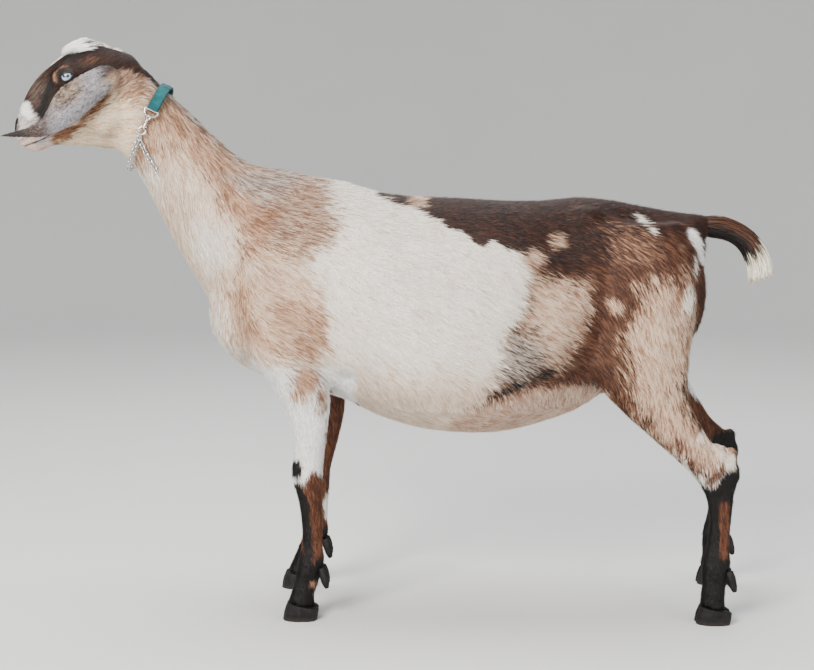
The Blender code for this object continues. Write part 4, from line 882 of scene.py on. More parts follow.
CREAM = Tone(paint(222, 194, 170), paint(253, 246, 236), 0.86)
WHITE = Tone(paint(228, 220, 213), paint(254, 252, 249), 0.90)
TAN = Tone(paint(150, 106, 79), paint(208, 170, 141), 0.50)
FAWN = Tone(paint(190, 147, 118), paint(236, 208, 183), 0.60)
FLANK = Tone(paint(132, 93, 70), paint(214, 184, 160), 0.56)
THIGH = Tone(paint(154, 108, 81), paint(230, 198, 171), 0.60)
GREY_TAN = Tone(paint(122, 98, 84), paint(202, 188, 178), 0.46)
SHOULDER_BROWN = Tone(paint(124, 90, 70), paint(198, 168, 146), 0.44)
RUST = Tone(paint(132, 90, 66), paint(194, 152, 124), 0.38)
# Brown of the jaw, also used for the painted shadow of the ear on the jaw.
JAW_BROWN_AND_EAR_SHADOW = Tone(paint(92, 54, 34), paint(168, 118, 86), 0.36)
DARK_BROWN = Tone(paint(34, 17, 12), paint(72, 40, 28), 0.28)
MID_BROWN = Tone(paint(62, 33, 21), paint(118, 76, 53), 0.30)
ORANGE_ROAN = Tone(paint(64, 34, 23), paint(178, 134, 106), 0.38)
LEG_BROWN = Tone(paint(72, 38, 23), paint(126, 78, 52), 0.34)
FACE_BROWN = Tone(paint(31, 17, 12), paint(68, 40, 28), 0.30)
FACE_DARK = Tone(paint(14, 9, 8), paint(32, 20, 15), 0.25)
FACE_GREY = Tone(paint(46, 32, 26), paint(116, 96, 84), 0.34)
NEAR_BLACK = Tone(paint(8, 6, 6), paint(24, 17, 15), 0.25)
LOW_CREAM = Tone(paint(216, 180, 154), paint(246, 226, 206), 0.66)
ROAN_GREY = Tone(paint(104, 92, 88), paint(224, 219, 216), 0.58)
GREY_BROWN = Tone(paint(78, 60, 52), paint(204, 188, 174), 0.46)
PINK = Tone(paint(200, 160, 146), paint(240, 222, 210), 0.52)
CHEEK_CREAM = Tone(paint(218, 176, 134), paint(252, 234, 208), 0.62)
BELLY = Tone(paint(182, 141, 117), paint(230, 202, 181), 0.50)
TAIL_WHITE = Tone(paint(206, 188, 156), paint(252, 246, 230), 0.72)


class Half(Enum):
    """Which half of the animal a marking lies on."""

    BOTH = 0.0
    LEFT = -1.0
    RIGHT = 1.0


@dataclass(frozen=True)
class Patch:
    """Marking with a straight-sided outline in side view, ragged at its edge.

    A marking of the body is drawn in x and z of the part's own frame, and one of the
    head in u and w of the head's frame. So are blots and streaks.
    """

    tone: Tone
    outline: tuple[Pair, ...]
    edge: float = 0.008
    ragged: float = 0.007
    half: Half = Half.BOTH

    def depth(self, flat: np.ndarray) -> np.ndarray:
        """Return how far inside the outline each place lies, below zero outside."""
        corners = np.array((*self.outline, self.outline[0]))
        nearest, _ = from_line(flat, corners)
        inside = np.zeros(len(flat), dtype=bool)
        for start, end in zip(corners[:-1], corners[1:]):
            crosses = (start[1] > flat[:, 1]) != (end[1] > flat[:, 1])
            rise = end[1] - start[1] if end[1] != start[1] else 1e-9
            border = start[0] + (flat[:, 1] - start[1]) * (end[0] - start[0]) / rise
            inside ^= crosses & (flat[:, 0] < border)
        return np.where(inside, nearest, -nearest)


@dataclass(frozen=True)
class Blot:
    """Marking with an oval outline in side view."""

    tone: Tone
    centre: Pair
    radii: Pair
    turn: float = 0.0
    edge: float = 0.008
    ragged: float = 0.005
    half: Half = Half.BOTH

    def depth(self, flat: np.ndarray) -> np.ndarray:
        """Return about how far inside the oval each place lies, below zero outside."""
        turn = math.radians(self.turn)
        away = flat - np.array(self.centre)
        along = away[:, 0] * math.cos(turn) + away[:, 1] * math.sin(turn)
        across = away[:, 1] * math.cos(turn) - away[:, 0] * math.sin(turn)
        reach = np.hypot(along / self.radii[0], across / self.radii[1])
        return (1.0 - reach) * min(self.radii)


@dataclass(frozen=True)
class Streak:
    """Marking that follows a line of places in side view."""

    tone: Tone
    line: tuple[Pair, ...]
    radius: float
    edge: float = 0.004
    ragged: float = 0.002
    half: Half = Half.BOTH

    def depth(self, flat: np.ndarray) -> np.ndarray:
        """Return how far inside the streak each place lies, below zero outside."""
        return self.radius - from_line(flat, self.line)[0]


Mark = Patch | Blot | Streak
SADDLE_EDGE = (
    (-0.030, 0.690), (-0.016, 0.657), (-0.001, 0.652), (0.023, 0.643), (0.063, 0.632), (0.077, 0.619),
    (0.110, 0.608), (0.142, 0.587), (0.160, 0.591), (0.180, 0.580), (0.204, 0.573), (0.218, 0.558),
    (0.221, 0.533), (0.212, 0.492), (0.191, 0.470), (0.185, 0.445), (0.188, 0.411), (0.178, 0.378),
    (0.150, 0.341), (0.180, 0.250), (0.420, 0.250), (0.620, 0.400), (0.660, 0.700), (0.300, 0.740),
    (0.0, 0.720),
)
BODY_MARKS: tuple[Mark, ...] = (
    Patch(TAN, ((-0.50, 0.95), (-0.36, 0.88), (-0.25, 0.77), (-0.14, 0.72), (-0.106, 0.69),
          (-0.086, 0.616), (-0.103, 0.580), (-0.135, 0.545), (-0.215, 0.530), (-0.262, 0.580),
          (-0.315, 0.650), (-0.372, 0.705), (-0.46, 0.70)), 0.056, 0.016),
    Patch(SHOULDER_BROWN, ((-0.42, 0.92), (-0.20, 0.74), (-0.236, 0.700), (-0.292, 0.748),
          (-0.345, 0.797), (-0.392, 0.836)), 0.050, 0.014),
    Blot(FAWN, (-0.335, 0.700), (0.030, 0.060), 32.0, 0.040, 0.014),
    Patch(SHOULDER_BROWN, ((-0.200, 0.700), (-0.126, 0.705), (-0.101, 0.672), (-0.084, 0.616),
          (-0.101, 0.582), (-0.133, 0.550), (-0.168, 0.545), (-0.196, 0.575), (-0.196, 0.640)), 0.044,
          0.014),
    Streak(RUST, ((-0.180, 0.640), (-0.204, 0.600), (-0.224, 0.565), (-0.238, 0.535)), 0.014, 0.022,
           0.008),
    Blot(GREY_TAN, (-0.178, 0.674), (0.068, 0.026), -8.0, 0.030, 0.010),
    Blot(SHOULDER_BROWN, (-0.133, 0.655), (0.034, 0.022), -10.0, 0.026, 0.010),
    Blot(RUST, (-0.263, 0.650), (0.020, 0.026), -14.0, 0.026, 0.008),
    Blot(LOW_CREAM, (-0.300, 0.600), (0.060, 0.120), 27.0, 0.040, 0.012),
    Blot(CREAM, (-0.276, 0.580), (0.032, 0.040), 20.0, 0.040, 0.012),
    Blot(FAWN, (-0.182, 0.485), (0.084, 0.090), 0.0, 0.064, 0.018),
    Streak(TAN, ((-0.228, 0.520), (-0.222, 0.480), (-0.204, 0.445), (-0.176, 0.430)), 0.010, 0.036,
           0.008),
    Blot(TAN, (-0.158, 0.476), (0.026, 0.024), 0.0, 0.040, 0.010),
    Blot(TAN, (-0.116, 0.432), (0.026, 0.058), 4.0, 0.044, 0.012),
    Patch(LOW_CREAM, ((-0.10, 0.400), (0.050, 0.385), (0.200, 0.400), (0.240, 0.250), (-0.10, 0.250)),
          0.070, 0.010),
    Patch(DARK_BROWN, SADDLE_EDGE, 0.007, 0.009),
    Blot(ORANGE_ROAN, (0.388, 0.566), (0.060, 0.036), -38.0, 0.050, 0.014),
    Blot(MID_BROWN, (0.455, 0.560), (0.030, 0.045), 0.0, 0.040, 0.012),
    Patch(MID_BROWN, ((0.236, 0.545), (0.330, 0.560), (0.420, 0.560), (0.490, 0.560), (0.520, 0.540),
          (0.500, 0.480), (0.400, 0.250), (0.180, 0.250), (0.150, 0.340), (0.205, 0.480)), 0.050, 0.018),
    Patch(FLANK, ((0.219, 0.542), (0.262, 0.536), (0.306, 0.524), (0.322, 0.490), (0.306, 0.448),
          (0.290, 0.404), (0.250, 0.390), (0.205, 0.400), (0.186, 0.440), (0.200, 0.475),
          (0.214, 0.492)), 0.044, 0.016),
    Blot(FAWN, (0.256, 0.478), (0.034, 0.046), -22.0, 0.040, 0.012),
    Patch(MID_BROWN, ((0.336, 0.545), (0.386, 0.522), (0.376, 0.470), (0.352, 0.430), (0.352, 0.370),
          (0.334, 0.340), (0.302, 0.372), (0.288, 0.405), (0.308, 0.450), (0.324, 0.490)), 0.030, 0.014),
    Patch(THIGH, ((0.388, 0.520), (0.436, 0.530), (0.470, 0.505), (0.478, 0.430), (0.456, 0.360),
          (0.475, 0.290), (0.520, 0.270), (0.520, 0.235), (0.470, 0.225), (0.420, 0.280), (0.384, 0.330),
          (0.366, 0.375), (0.372, 0.450)), 0.044, 0.016),
    Blot(FAWN, (0.424, 0.420), (0.036, 0.075), 2.0, 0.044, 0.012),
    Blot(FLANK, (0.468, 0.470), (0.014, 0.060), 4.0, 0.024, 0.010),
    Blot(GREY_BROWN, (0.208, 0.412), (0.030, 0.046), -14.0, 0.030, 0.010),
    Streak(NEAR_BLACK, ((0.250, 0.393), (0.222, 0.386), (0.196, 0.372), (0.172, 0.353)), 0.005, 0.018,
           0.006),
    Patch(BELLY, ((0.100, 0.318), (0.165, 0.352), (0.215, 0.368), (0.300, 0.370), (0.345, 0.356),
          (0.360, 0.240), (0.080, 0.240)), 0.014, 0.006),
    # Thin rust line where the side turns under to the belly: painted shade of that turn.
    Streak(RUST, ((0.120, 0.336), (0.180, 0.350), (0.222, 0.367), (0.300, 0.369)), 0.002, 0.008, 0.003),
    Blot(FLANK, (0.044, 0.651), (0.016, 0.010), -8.0, 0.010, 0.005),
    Blot(FLANK, (0.224, 0.566), (0.019, 0.017), 0.0, 0.018, 0.006),
    Blot(FLANK, (0.262, 0.590), (0.012, 0.013), 0.0, 0.014, 0.005),
    Blot(CREAM, (0.397, 0.621), (0.012, 0.006), -40.0, 0.008, 0.004),
    Blot(CREAM, (0.412, 0.607), (0.006, 0.004), -30.0, 0.006, 0.003),
    Blot(CREAM, (0.480, 0.553), (0.005, 0.013), 8.0, 0.007, 0.004),
    Blot(CREAM, (0.468, 0.500), (0.007, 0.016), -12.0, 0.012, 0.005),
    Blot(FAWN, (0.353, 0.492), (0.012, 0.008), -40.0, 0.014, 0.006),
    Blot(FAWN, (0.412, 0.533), (0.008, 0.006), -40.0, 0.010, 0.004),
    Streak(WHITE, ((0.476, 0.600), (0.488, 0.582), (0.495, 0.562)), 0.006, 0.006, 0.004),
)
LEG_MARKS: tuple[Mark, ...] = (
    Patch(WHITE, ((-0.22, 0.420), (-0.05, 0.420), (-0.05, 0.200), (-0.22, 0.200)), 0.014, 0.010,
          Half.LEFT),
    Blot(TAN, (-0.128, 0.378), (0.024, 0.036), 0.0, 0.022, 0.010, Half.LEFT),
    Blot(SHOULDER_BROWN, (-0.103, 0.354), (0.009, 0.026), 4.0, 0.014, 0.006, Half.LEFT),
    Patch(LEG_BROWN, ((-0.20, 0.205), (-0.138, 0.205), (-0.124, 0.222), (-0.114, 0.233), (-0.104, 0.217),
          (-0.099, 0.232), (-0.098, 0.262), (-0.098, 0.285), (-0.094, 0.300), (-0.090, 0.318),
          (-0.05, 0.330), (-0.05, -0.05), (-0.20, -0.05)), 0.008, 0.005, Half.LEFT),
    Patch(LEG_BROWN, ((-0.22, 0.400), (-0.06, 0.390), (-0.04, -0.05), (-0.22, -0.05)), 0.020, 0.010,
          Half.RIGHT),
    Blot(WHITE, (-0.100, 0.127), (0.009, 0.025), 4.0, 0.005, 0.004, Half.RIGHT),
    Blot(NEAR_BLACK, (-0.143, 0.234), (0.0125, 0.0165), 0.0, 0.005, 0.003),
    Blot(GREY_BROWN, (-0.137, 0.210), (0.008, 0.007), 0.0, 0.008, 0.004),
    Streak(NEAR_BLACK, ((-0.142, 0.206), (-0.132, 0.182), (-0.1275, 0.150), (-0.126, 0.115),
           (-0.124, 0.090)), 0.0085, 0.007, 0.004),
    Patch(NEAR_BLACK, ((-0.26, 0.100), (-0.134, 0.104), (-0.112, 0.088), (-0.104, 0.096), (-0.06, 0.100),
          (-0.06, -0.05), (-0.26, -0.05)), 0.010, 0.007),
    Blot(RUST, (-0.117, 0.049), (0.005, 0.006), 0.0, 0.006, 0.003),
    Blot(GREY_BROWN, (-0.113, 0.034), (0.004, 0.003), 0.0, 0.005, 0.002),
    Patch(LEG_BROWN, ((0.40, 0.400), (0.62, 0.380), (0.62, 0.215), (0.44, 0.215)), 0.016, 0.008,
          Half.RIGHT),
    Blot(WHITE, (0.512, 0.350), (0.036, 0.013), -66.0, 0.008, 0.005, Half.RIGHT),
    Streak(LEG_BROWN, ((0.452, 0.276), (0.472, 0.250), (0.494, 0.230), (0.506, 0.220), (0.522, 0.240)),
           0.007, 0.022, 0.006, Half.LEFT),
    Streak(RUST, ((0.500, 0.305), (0.520, 0.285), (0.540, 0.266)), 0.008, 0.020, 0.005, Half.LEFT),
    Patch(NEAR_BLACK, ((0.440, 0.262), (0.459, 0.250), (0.478, 0.230), (0.492, 0.217), (0.506, 0.208),
          (0.516, 0.220), (0.526, 0.234), (0.541, 0.238), (0.549, 0.262), (0.62, 0.262), (0.62, -0.05),
          (0.44, -0.05)), 0.012, 0.006),
    Blot(CREAM, (0.534, 0.250), (0.007, 0.009), -30.0, 0.008, 0.003, Half.LEFT),
    Streak(WHITE, ((0.460, 0.244), (0.474, 0.229), (0.487, 0.212)), 0.003, 0.005, 0.003, Half.LEFT),
    Streak(LEG_BROWN, ((0.527, 0.180), (0.528, 0.140), (0.528, 0.102)), 0.0075, 0.006, 0.003),
)
HEAD_MARKS: tuple[Mark, ...] = (
    Patch(CHEEK_CREAM, ((-0.10, -0.005), (0.010, 0.006), (0.050, 0.004), (0.100, -0.012),
          (0.150, -0.014), (0.200, -0.030), (0.200, -0.16), (-0.10, -0.16)), 0.012, 0.006),
    Patch(TAN, ((-0.10, 0.000), (0.000, 0.010), (0.030, -0.010), (0.006, -0.050), (-0.10, -0.10)), 0.030,
          0.010),
    Blot(SHOULDER_BROWN, (-0.022, -0.018), (0.034, 0.020), 24.0, 0.030, 0.010),
    # Brown along the jaw under the ear's lower edge: partly the coat's own brown, partly painted shadow of
    # the hanging ear.
    Blot(JAW_BROWN_AND_EAR_SHADOW, (0.134, -0.028), (0.030, 0.012), 8.0, 0.012, 0.005),
    Streak(JAW_BROWN_AND_EAR_SHADOW, ((0.132, -0.036), (0.100, -0.033), (0.068, -0.025), (0.040, -0.016)), 0.007, 0.016,
           0.005),
    Streak(JAW_BROWN_AND_EAR_SHADOW, ((0.156, -0.034), (0.115, -0.065), (0.074, -0.089)), 0.0025, 0.009, 0.003),
    Blot(FACE_DARK, (0.042, 0.062), (0.026, 0.010), 6.0, 0.014, 0.005),
    # Warmer brown behind the eye: the coat's own brown, lifted by painted sheen.
    Blot(MID_BROWN, (0.030, 0.044), (0.014, 0.005), 20.0, 0.016, 0.004),
    Blot(FACE_GREY, (0.126, 0.043), (0.022, 0.011), -34.0, 0.018, 0.006),
    Streak(NEAR_BLACK, ((0.084, 0.056), (0.104, 0.040), (0.122, 0.026), (0.141, 0.009)), 0.0050, 0.006,
           0.002),
    Patch(ROAN_GREY, ((0.150, 0.060), (0.148, 0.040), (0.146, 0.020), (0.143, 0.006), (0.155, 0.000),
          (0.170, -0.012), (0.22, -0.012), (0.22, 0.060)), 0.007, 0.005),
    Patch(WHITE, ((0.148, 0.060), (0.148, 0.036), (0.150, 0.014), (0.158, 0.012), (0.163, 0.024),
          (0.166, 0.06)), 0.007, 0.005),
    Patch(PINK, ((0.146, -0.014), (0.166, -0.010), (0.22, -0.006), (0.22, -0.06), (0.150, -0.06)), 0.006,
          0.003),
    Blot(ROAN_GREY, (0.156, -0.026), (0.014, 0.006), 0.0, 0.006, 0.003),
    Streak(NEAR_BLACK, ((0.175, 0.021), (0.185, 0.010)), 0.0030, 0.003, 0.001),
)
NAPE_MARKS: tuple[Mark, ...] = (
    Patch(GREY_BROWN, ((-0.40, 0.89), (-0.19, 0.71), (-0.232, 0.709), (-0.272, 0.743), (-0.313, 0.781),
          (-0.351, 0.817), (-0.376, 0.834)), 0.014, 0.006),
    Patch(FACE_BROWN, ((-0.470, 0.930), (-0.340, 0.826), (-0.354, 0.824), (-0.3723, 0.8370),
          (-0.3933, 0.8480), (-0.4162, 0.8560), (-0.440, 0.850)), 0.012, 0.006),
)


@dataclass
class Markings:
    """The colours of the animal's hair, by place."""

    places: Places
    eye: Pair = (0.077, 0.042)
    nape: tuple[Pair, Pair] = ((-0.372, 0.848), (-0.407, 0.700))
    crest: tuple[Pair, ...] = ((-0.410, 0.874), (-0.388, 0.861), (-0.350, 0.826), (-0.312, 0.789),
                               (-0.272, 0.751), (-0.236, 0.716))
    topline: tuple[Pair, ...] = ((-0.240, 0.722), (-0.190, 0.706), (-0.135, 0.697), (-0.096, 0.690))

    def __post_init__(self) -> None:
        """Seed the noise that breaks the edges."""
        self.coarse = Noise(5)
        self.fine = Noise(9)

    def head_share(self, own: np.ndarray) -> np.ndarray:
        """Return 1 on the head and 0 behind the nape."""
        (top_x, top_z), (low_x, low_z) = self.nape
        along = np.array((low_x - top_x, low_z - top_z))
        along /= np.linalg.norm(along)
        ahead = (own[:, 0] - top_x) * along[1] - (own[:, 2] - top_z) * along[0]
        return step(ahead, -0.012, 0.012)

    def colours(self, points: np.ndarray, pick: np.ndarray | None = None,
                dither: np.ndarray | None = None) -> np.ndarray:
        """Work out the hair colour at places on the skin.

        Args:
            points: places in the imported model's frame.
            pick: a number from 0 to 1 for each tuft, which settles whether it is a pale or a dark one;
                without it the mean colour is given.
            dither: a number from 0 to 1 for each tuft, which settles on which side of an edge it falls.

        Returns:
            A linear colour for each place.
        """
        own = self.places.own(points)
        local = self.places.in_head(points)
        on_head = self.head_share(own)
        warp = self.coarse.at(points, 0.030) * 0.6 + self.fine.at(points, 0.011) * 0.4
        dark = np.tile(np.array(CREAM.dark), (len(points), 1))
        pale = np.tile(np.array(CREAM.pale), (len(points), 1))
        share = np.full(len(points), CREAM.share)

        def lay(tone: Tone, mask: np.ndarray) -> None:
            """Lay one tone over the rest where mask is one."""
            nonlocal dark, pale, share
            if dither is not None:
                mask = picked(mask * 1.4 - 0.2, dither, 2.5)
            dark, pale = toward(dark, tone.dark, mask), toward(pale, tone.pale, mask)
            share = share + (tone.share - share) * mask

        def lay_all(marks: Sequence[Mark], places: np.ndarray, zone: np.ndarray | float) -> None:
            """Lay markings in their order, with ragged edges, where zone is one."""
            for mark in marks:
                mask = ramp(mark.depth(places[:, (0, 2)]) + warp * mark.ragged, mark.edge)
                if mark.half is not Half.BOTH:
                    mask = mask * (own[:, 1] * mark.half.value > 0.0)
                lay(mark.tone, mask * zone)

        lay_all(BODY_MARKS, own, 1.0 - on_head)
        lay_all(LEG_MARKS, own, step(-own[:, 2], -0.405, -0.385))
        self._crest(own, lay, warp)
        bare = np.hypot((own[:, 2] - 0.572) / 0.020, own[:, 1] / 0.011)
        lay(NEAR_BLACK, picked(1.0, bare, 3.0) * (own[:, 0] > 0.470))
        lay(FACE_BROWN, on_head)
        lay_all(HEAD_MARKS, local, on_head)
        lay_all(NAPE_MARKS, own, 1.0)
        self._face(local, on_head, warp, lay)
        chosen = share if pick is None else picked(share, pick, 2.2)
        colour = dark + (pale - dark) * chosen[:, None]
        return colour * (1.0 + 0.08 * self.coarse.at(points, 0.05))[:, None]

    def _crest(self, own: np.ndarray, lay: Any, warp: np.ndarray) -> None:
        """Lay the dark line along the top of the neck and the withers."""
        for line, wide, narrow in ((self.crest, 0.020, 0.0065), (self.topline, 0.006, 0.004)):
            nearest, _ = from_line(own, [(x, 0.0, z) for x, z in line])
            lay(SHOULDER_BROWN, ramp(wide - nearest + warp * 0.008, 0.030) * 0.9)
            lay(DARK_BROWN, ramp(narrow - nearest + warp * 0.004, 0.008))

    def _face(self, local: np.ndarray, on_head: np.ndarray, warp: np.ndarray, lay: Any) -> None:
        """Lay the blaze, the pale ring round the eye, the dark lids and the white poll."""
        u, v, w = local.T
        from_eye = np.hypot(u - self.eye[0], (w - self.eye[1]) * 1.15)
        beside = (np.abs(v) > 0.022) * on_head
        above = step(w - self.eye[1] + 0.35 * (u - self.eye[0]), -0.002, 0.008)
        ring = hump(from_eye - 0.0170, 0.0028) * above
        lay(RUST, np.clip(ring * 0.80 + warp * 0.45 - 0.16, 0.0, 1.0) * beside)
        lay(NEAR_BLACK, ramp(0.0118 - from_eye, 0.003) * beside)
        half = 0.010 * np.clip((0.104 - u) / 0.045, 0.0, 1.0)
        blaze = ramp(half - np.abs(v) + warp * 0.0025, 0.003) * (u > 0.045) * (w > 0.03)
        lay(WHITE, blaze * on_head * (half > 0.0))
        crown = ramp(0.022 - np.hypot((u - 0.038) * 0.95, v * 1.1) + warp * 0.004, 0.005)
        lay(WHITE, crown * (w > 0.052) * on_head)


# Skin


@dataclass(frozen=True)
class Dent:
    """Hollow or swelling of the skin: its centre, its reach and how far it moves."""

    centre: Triple
    reach: Triple
    push: float
    both: bool = True


BODY_DENTS = (
    Dent((-0.268, 0.000, 0.640), (0.020, 0.010, 0.080), -0.0015, False),
    Dent((-0.300, 0.062, 0.640), (0.014, 0.022, 0.050), 0.0020),
    Dent((-0.278, 0.060, 0.560), (0.012, 0.024, 0.040), -0.0030),
    Dent((-0.092, 0.118, 0.470), (0.010, 0.050, 0.050), -0.0030),
    Dent((-0.060, 0.105, 0.378), (0.012, 0.040, 0.012), -0.0040),
    Dent((-0.050, 0.080, 0.352), (0.010, 0.030, 0.010), 0.0030),
    Dent((0.288, 0.112, 0.420), (0.016, 0.040, 0.040), -0.0040),
    Dent((0.318, 0.112, 0.395), (0.010, 0.030, 0.030), 0.0030),
    Dent((0.470, 0.105, 0.340), (0.010, 0.030, 0.050), -0.0030),
    Dent((0.509, 0.112, 0.270), (0.006, 0.020, 0.040), -0.0030),
    Dent((0.522, 0.112, 0.262), (0.004, 0.020, 0.040), 0.0015),
    Dent((-0.128, 0.108, 0.300), (0.006, 0.010, 0.040), 0.0012),
    Dent((-0.108, 0.100, 0.150), (0.0030, 0.030, 0.060), -0.0016),
    Dent((-0.124, 0.110, 0.220), (0.014, 0.008, 0.010), 0.0014),
    Dent((0.516, 0.122, 0.160), (0.0030, 0.020, 0.050), -0.0016),
    Dent((0.060, 0.150, 0.330), (0.090, 0.030, 0.004), 0.0018),
)
HEAD_DENTS = (
    Dent((0.060, 0.036, 0.064), (0.016, 0.012, 0.005), 0.0018),
    Dent((0.058, 0.046, 0.058), (0.014, 0.010, 0.003), -0.0012),
    Dent((0.094, 0.040, 0.032), (0.006, 0.012, 0.010), -0.0022),
    Dent((0.112, 0.034, 0.010), (0.026, 0.010, 0.004), 0.0012),
    Dent((0.100, 0.032, -0.016), (0.030, 0.012, 0.006), -0.0014),
    Dent((0.140, 0.030, 0.012), (0.018, 0.010, 0.005), -0.0012),
    Dent((0.160, 0.024, -0.014), (0.014, 0.010, 0.004), 0.0014),
    Dent((0.140, 0.026, -0.020), (0.005, 0.010, 0.008), -0.0018),
    Dent((0.186, 0.000, 0.002), (0.010, 0.0020, 0.010), -0.0016, False),
)


class Region(Enum):
    """Stretches of the coat, each one piece, with the axis that it is unwrapped about."""

    HEAD = 0
    NECK = 1
    BARREL_FRONT_LEFT = 2
    BARREL_REAR_LEFT = 3
    BARREL_FRONT_RIGHT = 4
    BARREL_REAR_RIGHT = 5
    FORE_LEGS = 6
    HIND_LEGS = 7


@dataclass
class Skin:
    """The one skin under the coat, from muzzle to tail and down to the crown of the claws."""

    places: Places
    markings: Markings
    voxel: float = 0.0052
    overlap: float = 0.0006
    # Depth of the skin under the solids: everywhere, and more where the coat is thick.
    depth: Pair = (0.0012, 0.0016)
    # Length of the hair: body, and what legs, feet, crowns, fetlocks and mane add.
    body_hair: float = 0.0140
    hair_changes: tuple[float, ...] = (-0.0045, -0.0030, 0.0040, 0.0040, 0.0030)
    head_hair: Pair = (0.0080, -0.0044)
    body_width: Pair = (0.00145, -0.00035)
    head_width: float = 0.00092
    # Tufts on a square metre: body and what legs add, head and what the muzzle adds.
    body_tufts: Pair = (204000.0, 136000.0)
    head_tufts: Pair = (470000.0, 160000.0)
    mouth_depth: float = 0.0026
    nostril_depth: float = 0.0050
    socket_depth: float = 0.0058
    flesh: tuple[str, ...] = ("head", "neck", "torso", "leg_fore_left", "leg_fore_right", "leg_hind_left",
                              "leg_hind_right")
    eye_radius: float = 0.0140
    eye_surface: Triple = (0.077, 0.0480, 0.041)
    eye_axis: Triple = (0.27, 0.95, 0.14)
    lid_opening: Pair = (0.0104, 0.0053)
    lid_tilt: float = math.radians(9.0)
    nostril_line: tuple[Triple, ...] = ((0.1885, 0.0055, -0.0010), (0.1865, 0.0105, 0.0040),
                                        (0.1820, 0.0150, 0.0100), (0.1760, 0.0185, 0.0160),
                                        (0.1700, 0.0190, 0.0200))
    # Line of the mouth in side view, from its corner to the front of the lips.
    mouth_line: tuple[Pair, ...] = ((0.133, -0.0205), (0.148, -0.0250), (0.166, -0.0232), (0.183, -0.0200),
                                    (0.192, -0.0195))

    def eye_frame(self, sign: float) -> Matrix:
        """Return one eye's frame: X along the lids, Y up them, Z out of the head."""
        out = Vector((self.eye_axis[0], -sign * self.eye_axis[1], self.eye_axis[2])).normalized()
        along = Vector((math.cos(self.lid_tilt), 0.0, math.sin(self.lid_tilt)))
        along = (along - out * along.dot(out)).normalized()
        u, v, w = self.eye_surface
        centre = Vector((u, -sign * v, w)) - out * self.eye_radius
        return self.places.head @ axes(along, out.cross(along), out, centre)

    def build(self, tail: bmesh.types.BMesh) -> bpy.types.Object:
        """Fuse the flesh, smooth it, sink it under the coat and model its folds.

        Args:
            tail: the closed core of the tail.

        Returns:
            The skin.
        """
        pieces = [loose_copy(node, self.overlap) for node in self.flesh] + [tail]
        for _, sign in SIDES:
            ball = bmesh.new()
            bmesh.ops.create_icosphere(ball, subdivisions=3, radius=self.eye_radius + 0.0004)
            ball.transform(self.eye_frame(sign))
            pieces.append(ball)
        skin = joined("skin", pieces)
        voxels(skin, self.voxel)
        relax(skin.data, 0.9, 6)
        self._flatten_poll(skin.data)
        self._refine(skin.data)
        relax(skin.data, 0.8, 3)
        self._sink(skin.data)
        self._model_body(skin.data)
        self._model_head(skin.data)
        skin.data.shade_smooth()
        self._fields(skin.data)
        return skin

    def _head_zone(self, points: np.ndarray) -> np.ndarray:
        """Return 1 for points ahead of the nape and 0 behind it."""
        return self.markings.head_share(self.places.own(points))

    def _flatten_poll(self, mesh: bpy.types.Mesh) -> None:
        """Take the solid's coarse locks off the crown."""
        points, _ = arrays(mesh)
        u, v, w = self.places.in_head(points).T
        poll = step(w, 0.040, 0.052) * step(-np.abs(v), -0.036, -0.026)
        poll = poll * step(u, -0.040, -0.020) * step(-u, -0.09, -0.07)
        relax(mesh, poll, 40, 0.30)

    def _refine(self, mesh: bpy.types.Mesh) -> None:
        """Halve the mesh size on the head, and again round the eyes, the nostrils and the mouth."""
        for level in range(2):
            points, _ = arrays(mesh)
            local = self.places.in_head(points)
            if level == 0:
                wanted = self._head_zone(points) > 0.5
            else:
                u, v, w = local.T
                eyes = np.hypot(u - self.eye_surface[0], w - self.eye_surface[2]) < 0.022
                wanted = (eyes & (np.abs(v) > 0.018)) | (u > 0.150) & (w < 0.03)
            built = bmesh.new()
            built.from_mesh(mesh)
            flags = wanted.tolist()
            edges = [edge for edge in built.edges if all(flags[vertex.index] for vertex in edge.verts)]
            bmesh.ops.subdivide_edges(built, edges=edges, cuts=1, use_grid_fill=True)
            bmesh.ops.triangulate(built, faces=[face for face in built.faces if len(face.verts) > 4])
            built.to_mesh(mesh)
            built.free()

    def _sink(self, mesh: bpy.types.Mesh) -> None:
        """Lay the skin inside the solids by the depth of the coat."""
        points, normals = arrays(mesh)
        own = self.places.own(points)
        thin, thick = self.depth
        depth = thin + thick * step(own[:, 2], 0.12, 0.42) * (1.0 - self._head_zone(points))
        set_points(mesh, points - normals * (depth + self.overlap)[:, None])

    def _pushed(self, places: np.ndarray, dents: Iterable[Dent]) -> np.ndarray:
        """Return how far each place moves along its normal."""
        push = np.zeros(len(places))
        for dent in dents:
            for sign in ((-1.0, 1.0) if dent.both else (1.0,)):
                centre = np.array(dent.centre) * np.array((1.0, sign, 1.0))
                away = (places - centre) / np.array(dent.reach)
                push += dent.push * np.exp(-np.sum(away**2, axis=1))
        return push

    def _model_body(self, mesh: bpy.types.Mesh) -> None:
        """Press the folds, tendons and veins of the body into the skin."""
        points, normals = arrays(mesh)
        push = self._pushed(self.places.own(points), BODY_DENTS)
        set_points(mesh, points + normals * push[:, None])

